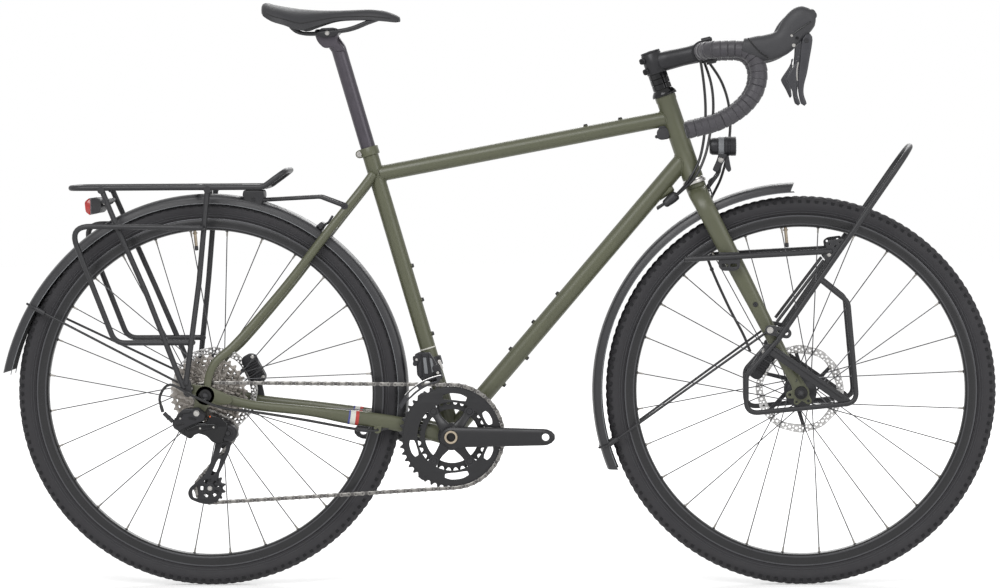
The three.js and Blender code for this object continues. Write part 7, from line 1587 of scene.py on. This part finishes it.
ROUTES = [
    [(890, 955, -32), (897, 905, -25), (900, 860, -18), (898, 815, -17), (889, 769, -20), (871, 733, -25),
     (853, 711, -17), (836, 696, -8), (812, 681, -5)],
     [(894, 955, 40), (910, 905, 24), (914, 860, 6), (909, 820, -8), (899, 775, -22), (882, 738, -31),
      (858, 713, -22), (838, 697, -4), (812, 679, 0)],
]
FRONT_HOSE = [(898, 955, 50), (930, 905, 47), (944, 850, 40), (941, 790, 36), (928, 735, 46), (907, 690, 57),
              (897, 650, 59.5), (895, 615, 55), (909, 570, 48), (940, 500, 48), (966, 450, 46), (979, 418, 43)]
WIRE = [(924, 770, -7), (925, 744, -9), (905, 728, -11), (911, 704, -22), (908, 686, -38)]


def cables():
    both = build("gear_cables", [hose(route, 2.5) for route in ROUTES], SHEATH, None, "control_cables")
    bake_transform(both)
    build("brake_hose", [hose(FRONT_HOSE, 2.5)], SHEATH, "steering", "front_brake_hose")
    build("lamp_wire", [hose(WIRE, 1.4, 5, 10)], SHEATH, "steering", "dynamo_wire")
    port = swelling([((846, -6, 703), 17, 16), ((838, -5.5, 697), 18, 18), ((828, -5, 689), 15, 20)], 28, step=4)
    build("cable_port", [port], BLACK_PLASTIC, "frame")
    clips = []
    for i in (3, 8):
        x, z, y = FRONT_HOSE[i]
        nx, nz, ny = FRONT_HOSE[i + 1]
        a, b = Vector((x, y, z)), Vector((nx, ny, nz))
        clips.append(rod(a, a + (b - a).normalized() * 5, 3.6, 18, 0.5))
    build("hose_sleeves", clips, BLACK_PLASTIC, "steering")


def lamp():
    x, z = 931.5, 791
    rows = [(0, 23), (16.0, 23), (17.2, 22.2), (17.4, 13.4), (16.7, 12.9), (16.7, 11.9), (17.4, 11.4), (17.4, 9.4),
            (16.7, 8.9), (16.7, 7.9), (17.4, 7.4), (17.4, 3), (16.4, 2), (16.4, -9), (15.6, -10), (15.4, -20),
            (13.6, -23.4), (11.0, -24.8), (0, -25)]
    barrel = turned(rows, 64, (x, 0, z), (1, 0, 0))
    build("lamp_barrel", [barrel], BLACK_ALLOY, "steering", "headlight", smooth=30)
    band = turned([(16.4, -8.6), (17.0, -8.2), (17.0, 1.2), (16.4, 1.6), (15.4, 1.6), (15.4, -8.6)], 64, (x, 0, z),
                  (1, 0, 0), closed=True)
    build("lamp_band", [band], GREY_TRIM_AND_HIGHLIGHT, "steering")
    lens = turned([(0, 22.2), (14.8, 22.2), (15.2, 22.6), (14.6, 23.4), (8, 24.2), (0, 24.5)], 56, (x, 0, z),
                  (1, 0, 0))
    build("lamp_lens", [lens], LENS_CLEAR, "steering")
    arm = [capsule(rounded([(899, 0, 712), (921, 0, 741), (930, 0, 775)], 14, 6), 4, 20)]
    for side in SIDES:
        arm.append(swelling([((918, side * 6.5, 748), 12, 3.2), ((926, side * 8, 765), 13, 3.4),
                             ((931, side * 8.5, 779), 15, 3.4)], 20, step=4))
    arm.append(rod((893, 0, 704), (902, 0, 716), 7.5, 28, 1))
    arm.append(slab([(932, 776), (941, 775), (946, 748), (941, 744), (936, 750), (934, 762)], 2.5, -5, 5, 1.2, 2))
    build("lamp_bracket", arm, BLACK_STEEL, "steering")
    build("lamp_bolts", [bolt((927, -9.4, 767), -ACROSS, 4.0, 2.2, 0.4),
                         bolt((927, 9.4, 767), ACROSS, 4.0, 2.2, 0.4)], SILVER, "steering")


# Mudguards, carriers and lamps
def guard_section():
    """(drop, across) points of the mudguard's outer and inner faces."""
    outer = [(18, -25), (11, -23.9), (6.6, -22.6), (4.5, -21.25), (2.6, -18), (1.3, -13.5), (0.4, -9.5), (0.05, -7.5),
             (0.05, 0), (0.05, 7.5), (0.4, 9.5), (1.3, 13.5), (2.6, 18), (4.5, 21.25), (6.6, 22.6), (11, 23.9),
             (18, 25)]
    inner = [(d + 1.6, y * 0.94) for d, y in outer[1:-1]]
    inner = [(18, -23.5), *inner, (18, 23.5)]
    return outer, inner


def guard(name, axle, reach, start, end, node, body, slant=0.0):
    outer, inner = guard_section()
    count = max(24, round(abs(end - start) / 2))
    rings = []
    for k in range(count + 1):
        share = k / count
        degrees = start + (end - start) * share
        lean = slant if share == 1 else (1.3 if share == 0 and slant > 0 else 0)
        ring = []
        for drop, y in [*outer, *reversed(inner)]:
            turn = radians(degrees + lean * drop / 18)
            radius = reach(degrees) - drop
            ring.append(around(axle, radius, turn, y))
        rings.append(ring)
    build(name, [loft(rings)], GUARD_PLASTIC, body, node, smooth=28)
    # Light grey lines along both skirt edges: a painted highlight on the mudguard's rolled edge.
    lines = []
    for side in SIDES:
        path = []
        for k in range(count + 1):
            degrees = start + (end - start) * k / count
            turn = radians(degrees)
            radius = reach(degrees) - 17.3
            path.append((axle.x + radius * cos(turn), side * 24.6, axle.z + radius * sin(turn)))
        lines.append(sweep(path, 0.75, 8))
    build(name + "_edge", lines, GREY_TRIM_AND_HIGHLIGHT, body)


def rear_reach(degrees):
    share = max(0.0, (degrees - 125) / (174.4 - 125))
    return 361 + 19 * share * share


def front_reach(_):
    return 375


def stay_wire(axle, reach, degrees, lug, plane, body, node, name):
    """One bent wire from lug to lug, over the mudguard, with the clips that hold it."""
    turn = radians(degrees)
    radius = reach(degrees)
    top = around(axle, radius + 1.2, turn)
    shoulder = around(axle, radius - 16, turn)
    parts, sleeves, screws = [], [], []
    for side in SIDES:
        foot = Vector((lug[0], side * plane, lug[1]))
        edge = Vector((shoulder.x, side * 30.5, shoulder.z))
        hook = Vector((top.x, side * 22, top.z))
        parts.append(capsule(rounded([foot, edge, hook], 6, 4), 2.2, 14))
        line = (edge - foot).normalized()
        parts.append(rod(foot - Vector((0, side * 2.6, 0)), foot + Vector((0, side * 2.6, 0)), 6.0, 26, 0.6))
        sleeves.append(rod(edge - line * 22, edge - line * 2, 4.6, 20, 1.0))
        sleeves.append(rod(edge + Vector((0, -side * 7, 0)) - line * 9, edge + Vector((0, -side * 7, 0)) + line * 3,
                           3.2, 16, 0.6))
        screws.append(bolt(foot + Vector((0, side * 2.5, 0)), (0, side, 0), 4.0, 2.2, 0.4))
    build(name, parts, BLACK_STEEL, body, node)
    build(name + "_clips", sleeves, BLACK_PLASTIC, body)
    build(name + "_screws", screws, SILVER, body)


def mudguards():
    guard("front_guard", FRONT, front_reach, 91.5, 202, "front_fender", "steering", slant=1.2)
    guard("rear_guard", REAR, rear_reach, -10.5, 174.4, "rear_fender", "frame", slant=-1.2)
    bridge = Vector((SEAT_BRIDGE[0], 0, SEAT_BRIDGE[1]))
    inwards = Vector((SEAT_BRIDGE[0], 0, SEAT_BRIDGE[1] - AXLE)).normalized()
    tabs = [rod(bridge, bridge - inwards * 36, 8, 28, 0.6)]
    tabs.append(rod((STAY_BRIDGE[0], 0, STAY_BRIDGE[1]), (356, 0, 293), 8, 28, 0.6))
    build("rear_guard_mounts", tabs, BLACK_PLASTIC, "frame")
    stay_wire(REAR, rear_reach, 153.6, EYELET, 81.3, "frame", "rear_fender_stay", "rear_guard_stay")
    stay_wire(FRONT, front_reach, 195.5, FRONT_LUG, 65.3, "steering", "front_fender_stay", "front_guard_stay")


def rear_rack():
    tubes = [sweep([Vector(p) for p in rounded([(146, 0, 753), (146, 60, 753), (106, 60, 724), (-244, 60, 724),
                                                (-244, -60, 724), (106, -60, 724), (146, -60, 753), (146, 0.01, 753)],
                                                24, 7)], 5, 18)]
    for x in (106, -20):
        tubes.append(rod((x, -60, 724), (x, 60, 724), 4, 18))
    tubes.append(rod((106, 0, 724), (-244, 0, 724), 4, 18))
    for side in SIDES:
        for leg in ([(6, 722), (-10, 555), (-33, 372)], [(-186, 722), (-160, 660), (-107, 538), (-37, 364)]):
            depth = [60, 68, 90] if len(leg) == 3 else [60, 66, 68, 90]
            places = [Vector((x, side * y, z)) for (x, z), y in zip(leg, depth)]
            tubes.append(sweep(rounded(places, 60, 6), 5, 18))
        loop = [(-3, 652), (-243, 656.5), (-161.8, 446), (-22, 446)]
        places = [Vector((-3, side * 67, 652))] + [Vector((x, side * 78, z))
                                                   for x, z in loop] + [Vector((-22, side * 72, 446))]
        tubes.append(sweep(rounded(places, 27, 9), 5, 18))
        tubes.append(plate([link_outline((-33, 374), (-30, AXLE + 6), 9, 7.5)], *pair(side, 86.5, 91.5), 0.8))
        tubes.append(capsule(rounded([(84, side * 17, 699), (205, side * 21, 705), (250, side * 27, 688)], 16, 5),
                             3.5, 16))
        tubes.append(rod((-181, side * 68, 700), (-181, 0, 700), 4, 16))
    build("rear_carrier", tubes, BLACK_STEEL, "frame", "rear_rack")
    block = [slab([(66, 718), (102, 718), (104, 708), (98, 690), (72, 690), (64, 708)], 4, -22, 22, 2, 2)]
    block.append(slab([(58, 728), (110, 728), (110, 720), (58, 720)], 2, -26, 26, 1, 2))
    block += [rod((250, side * 22, 688), (250, side * 33, 688), 6.4, 24, 0.6) for side in SIDES]
    block.append(rod((0, -20, 716), (0, 20, 716), 4, 16))
    block += [rod((2, side * 16, 722), (2, side * 16, 700), 3.2, 16) for side in SIDES]
    block += [rod((x, side * 60 - side * 6.2, z), (x, side * 60 + side * 6.2, z), 6.6, 20, 0.8)
              for x, z in ((6, 720), (-186, 720)) for side in SIDES]
    build("rear_carrier_block", block, BLACK_STEEL, "frame")
    screws = []
    for side in SIDES:
        screws.append(bolt((-33, side * 91.3, 374), (0, side, 0), 4.6, 2.6, 0.5))
        screws.append(bolt((250, side * 32.8, 688), (0, side, 0), 3.2, 2.0, 0.4))
        screws.append(bolt((84, side * 21.8, 700), (0, side, 0), 3.2, 2.0, 0.4))
    build("rear_carrier_screws", screws, BLACK_STEEL, "frame")


def tail_lamp():
    x, z = -207, 690
    body = [loft([[Vector((x + u, y, z + v))
                   for u, v in soft_outline([(-4, -13), (12, -12), (16, -6), (16, 12), (10, 15.5), (-4, 15.5)], 5,
                                            4)] for y in (-36.5, -30, 0, 30, 36.5)])]
    build("tail_lamp_case", body, BLACK_PLASTIC, "frame", "tail_light")
    lens = [loft([[Vector((x + u * s, y, z + v * s))
                   for u, v in soft_outline([(-12, -10), (-5, -15), (-3.5, -15), (-3.5, 15.5), (-6, 15.5), (-14, 9)],
                                            4,
                                            4)] for y, s in ((-39, 0.8), (-37.5, 0.96), (-34, 1), (34, 1),
                                                             (37.5, 0.96), (39, 0.8))])]
    build("tail_lamp_lens", lens, LENS_RED, "frame")
    rim_band = [loft([[Vector((x + u, y, z + v))
                       for u, v in soft_outline([(-3.6, -14.5), (-1.4, -14.2), (-1.4, 15.8), (-3.6, 15.8)], 0.6,
                                                2)] for y in (-37.6, 37.6)])]
    build("tail_lamp_band", rim_band, GREY_TRIM_AND_HIGHLIGHT, "frame")
    mount = [slab([(x + 14, z + 10), (x + 30, z + 14), (x + 30, z + 5), (x + 14, z - 3)], 2, *pair(side, 22, 27), 0.8)
             for side in SIDES]
    build("tail_lamp_mount", mount, BLACK_STEEL, "frame")
    build("tail_lamp_screws", [bolt((x + 22, side * 26.8, z + 8), (0, side, 0), 3.8, 2.2, 0.4) for side in SIDES],
          SILVER, "frame")


CARRIER_HALF, FRONT_LUG = 76, (1013, 464)


def front_rack():
    route = [(1028, -CARRIER_HALF, 448), (1265, -CARRIER_HALF, 789), (1265, CARRIER_HALF, 789),
             (1028, CARRIER_HALF, 448)]
    tubes = [sweep(rounded(route, 66, 12), 5, 20)]
    for side in SIDES:
        tubes.append(capsule([(863, side * CARRIER_HALF, 591), (1122, side * CARRIER_HALF, 604)], 5, 20))
        loop = [(1102.6, 553.6), (1151.4, 513.9), (1166.9, 333.5), (970, 314.7), (970, 383), (1029.3, 448.7)]
        tubes.append(sweep(rounded([(x, side * CARRIER_HALF, z) for x, z in loop], 21, 9), 4.6, 20))
        tubes.append(rod((1109, side * 70, 588), (1025, side * 70, 478), 2.9, 18))
    build("front_carrier", tubes, BLACK_STEEL, "steering", "front_rack")
    plates, screws = [], []
    for side in SIDES:
        span = pair(side, 74, 78)
        plates.append(plate([slot_outline((1012, 431), (1148, 335), 8.5)], *pair(side, 72, 76), 1.0, 2))
        plates.append(plate([slot_outline((1020, 430), (1140, 345), 2.2)], *pair(side, 75, 79), 1.0, 2))
        plates.append(plate([soft_outline([(1108, 592), (1114, 608), (1112, 618), (1120, 624), (1144, 627),
                                           (1146, 618), (1137, 606), (1128, 588), (1116, 582)], 4),
                                           circle(1138, 620, 2.2, 16), circle(1129, 613, 2.0, 16),
                                           circle(1119, 617, 2.0, 16)], *span, 0.6))
        plates.append(plate([link_outline(FRONT_LUG, (1042, 458), 9.1, 9.1), circle(1042, 458, 3.2, 20),
                             circle(1028, 461, 2.4, 20)], *span, 0.6))
        holes = [slot_outline((930, 580), (937, 580), 2.6), slot_outline((945, 580), (952, 580), 2.6)]
        plates.append(plate([soft_outline([(922, 603), (922, 576), (929, 570), (953, 570), (960, 576), (960, 603)],
                                          5), *holes], *pair(side, 66, 76), 1.0, 2))
        plates.append(slab([(930, 598), (930, 588), (952, 588), (952, 598)], 3, *pair(side, 47.5, 68), 1.0, 2))
        out = Vector((0, side, 0))
        screws.append(bolt((1118, side * 77.8, 598), out, 3.0, 1.8, 0.3))
        screws.append(bolt((FRONT_LUG[0], side * 78, FRONT_LUG[1]), out, 4.6, 2.4, 0.5))
    build("front_carrier_plates", plates, BLACK_STEEL, "steering")
    build("front_carrier_screws", screws, SILVER, "steering")


# Setting
def seen(tree):
    """1 for the rays that should see a white background."""
    path = add(tree, "LightPath")
    first = add(tree, "Math")
    second = add(tree, "Math")
    for node in (first, second):
        node.operation = "MAXIMUM"
    link(tree, path, "Is Camera Ray", first, 0)
    link(tree, path, "Is Glossy Ray", first, 1)
    link(tree, first, 0, second, 0)
    link(tree, path, "Is Transmission Ray", second, 1)
    return second


def studio():
    scene = bpy.context.scene
    scene.view_settings.view_transform = "Standard"
    world = bpy.data.worlds.new("studio_air")
    world.use_nodes = True
    tree = world.node_tree
    background = tree.nodes["Background"]
    background.inputs[0].default_value = (1, 1, 1, 1)
    level = add(tree, "MapRange", To_Min=0.36, To_Max=1.0)
    link(tree, seen(tree), 0, level, 0)
    link(tree, level, 0, background, 1)
    scene.world = world
    for name, place, size, power in (("key_light", (-1.2, -3.2, 3.0), 2.2, 85),
                                     ("fill_light", (2.6, -2.6, 1.6), 2.0, 30),
                                     ("back_light", (0.4, 3.2, 3.0), 2.6, 80)):
        light = bpy.data.lights.new(name, "AREA")
        light.shape = "SQUARE"
        light.size = size
        light.energy = power
        holder = bpy.data.objects.new(name, light)
        holder.location = place
        holder.rotation_euler = (Vector((0, 0, 0.45)) - Vector(place)).to_track_quat("-Z", "Y").to_euler()
        scene.collection.objects.link(holder)


def floor():
    material = bpy.data.materials.new("floor_white")
    material.use_nodes = True
    tree = material.node_tree
    tree.nodes.clear()
    out = add(tree, "OutputMaterial")
    both = add(tree, "AddShader")
    paint = add(tree, "BsdfPrincipled", Roughness=0.95, Specular_IOR_Level=0.0)
    noise = add(tree, "TexNoise", Scale=30)
    tone = add(tree, "Mix")
    tone.data_type = "RGBA"
    tone.inputs[6].default_value = (0.86, 0.86, 0.86, 1)
    tone.inputs[7].default_value = (0.9, 0.9, 0.9, 1)
    link(tree, noise, 0, tone, 0)
    link(tree, tone, 2, paint, "Base Color")
    place = add(tree, "NewGeometry")
    reach = add(tree, "VectorMath")
    reach.operation = "LENGTH"
    link(tree, place, "Position", reach, 0)
    fade = add(tree, "MapRange", From_Min=1.0, From_Max=4.0, To_Min=0.42, To_Max=0.72)
    link(tree, reach, "Value", fade, 0)
    level = add(tree, "Math")
    level.operation = "MULTIPLY"
    link(tree, fade, 0, level, 0)
    link(tree, seen(tree), 0, level, 1)
    glow = add(tree, "Emission")
    link(tree, level, 0, glow, 1)
    link(tree, paint, 0, both, 0)
    link(tree, glow, 0, both, 1)
    link(tree, both, 0, out, 0)
    mesh = bpy.data.meshes.new("floor")
    sheet = bmesh.new()
    bmesh.ops.create_grid(sheet, x_segments=8, y_segments=8, size=14)
    sheet.to_mesh(mesh)
    sheet.free()
    mesh.materials.append(material)
    ground = bpy.data.objects.new("floor", mesh)
    bpy.context.scene.collection.objects.link(ground)


def camera():
    # Fitted to the photo: angles, metres to the aim, focal length in pixels of a picture 1000 wide, aim in metres.
    turn, tilt, roll = radians(3), radians(2.8), -0.007361
    distance, focal, picture_width, sensor = 7.0, 3873.68, 1000, 36
    aim = Vector((0.52755 + SHIFT, 0, 0.52698))
    back = Vector((sin(turn) * cos(tilt), -cos(turn) * cos(tilt), sin(tilt)))
    right = Vector((cos(turn), sin(turn), 0))
    up = Vector((-sin(turn) * sin(tilt), cos(turn) * sin(tilt), cos(tilt)))
    right, up = right * cos(roll) + up * sin(roll), up * cos(roll) - right * sin(roll)
    data = bpy.data.cameras.new("shot")
    data.sensor_fit = "HORIZONTAL"
    data.sensor_width = sensor
    data.lens = focal * sensor / picture_width
    data.clip_end = 60
    shot = bpy.data.objects.new("shot", data)
    place = aim + back * distance
    shot.matrix_world = Matrix(((right.x, up.x, back.x, place.x), (right.y, up.y, back.y, place.y),
                                (right.z, up.z, back.z, place.z), (0, 0, 0, 1)))
    bpy.context.scene.collection.objects.link(shot)
    bpy.context.scene.camera = shot


frame_tubes()
seat_tube()
bracket_shell()
stays()
headset()
wheels()
drive()
seatpost()
saddle()
fork()
headset_top()
stem()
handlebar()
controls()
cables()
lamp()
mudguards()
rear_rack()
tail_lamp()
front_rack()
studio()
floor()
camera()
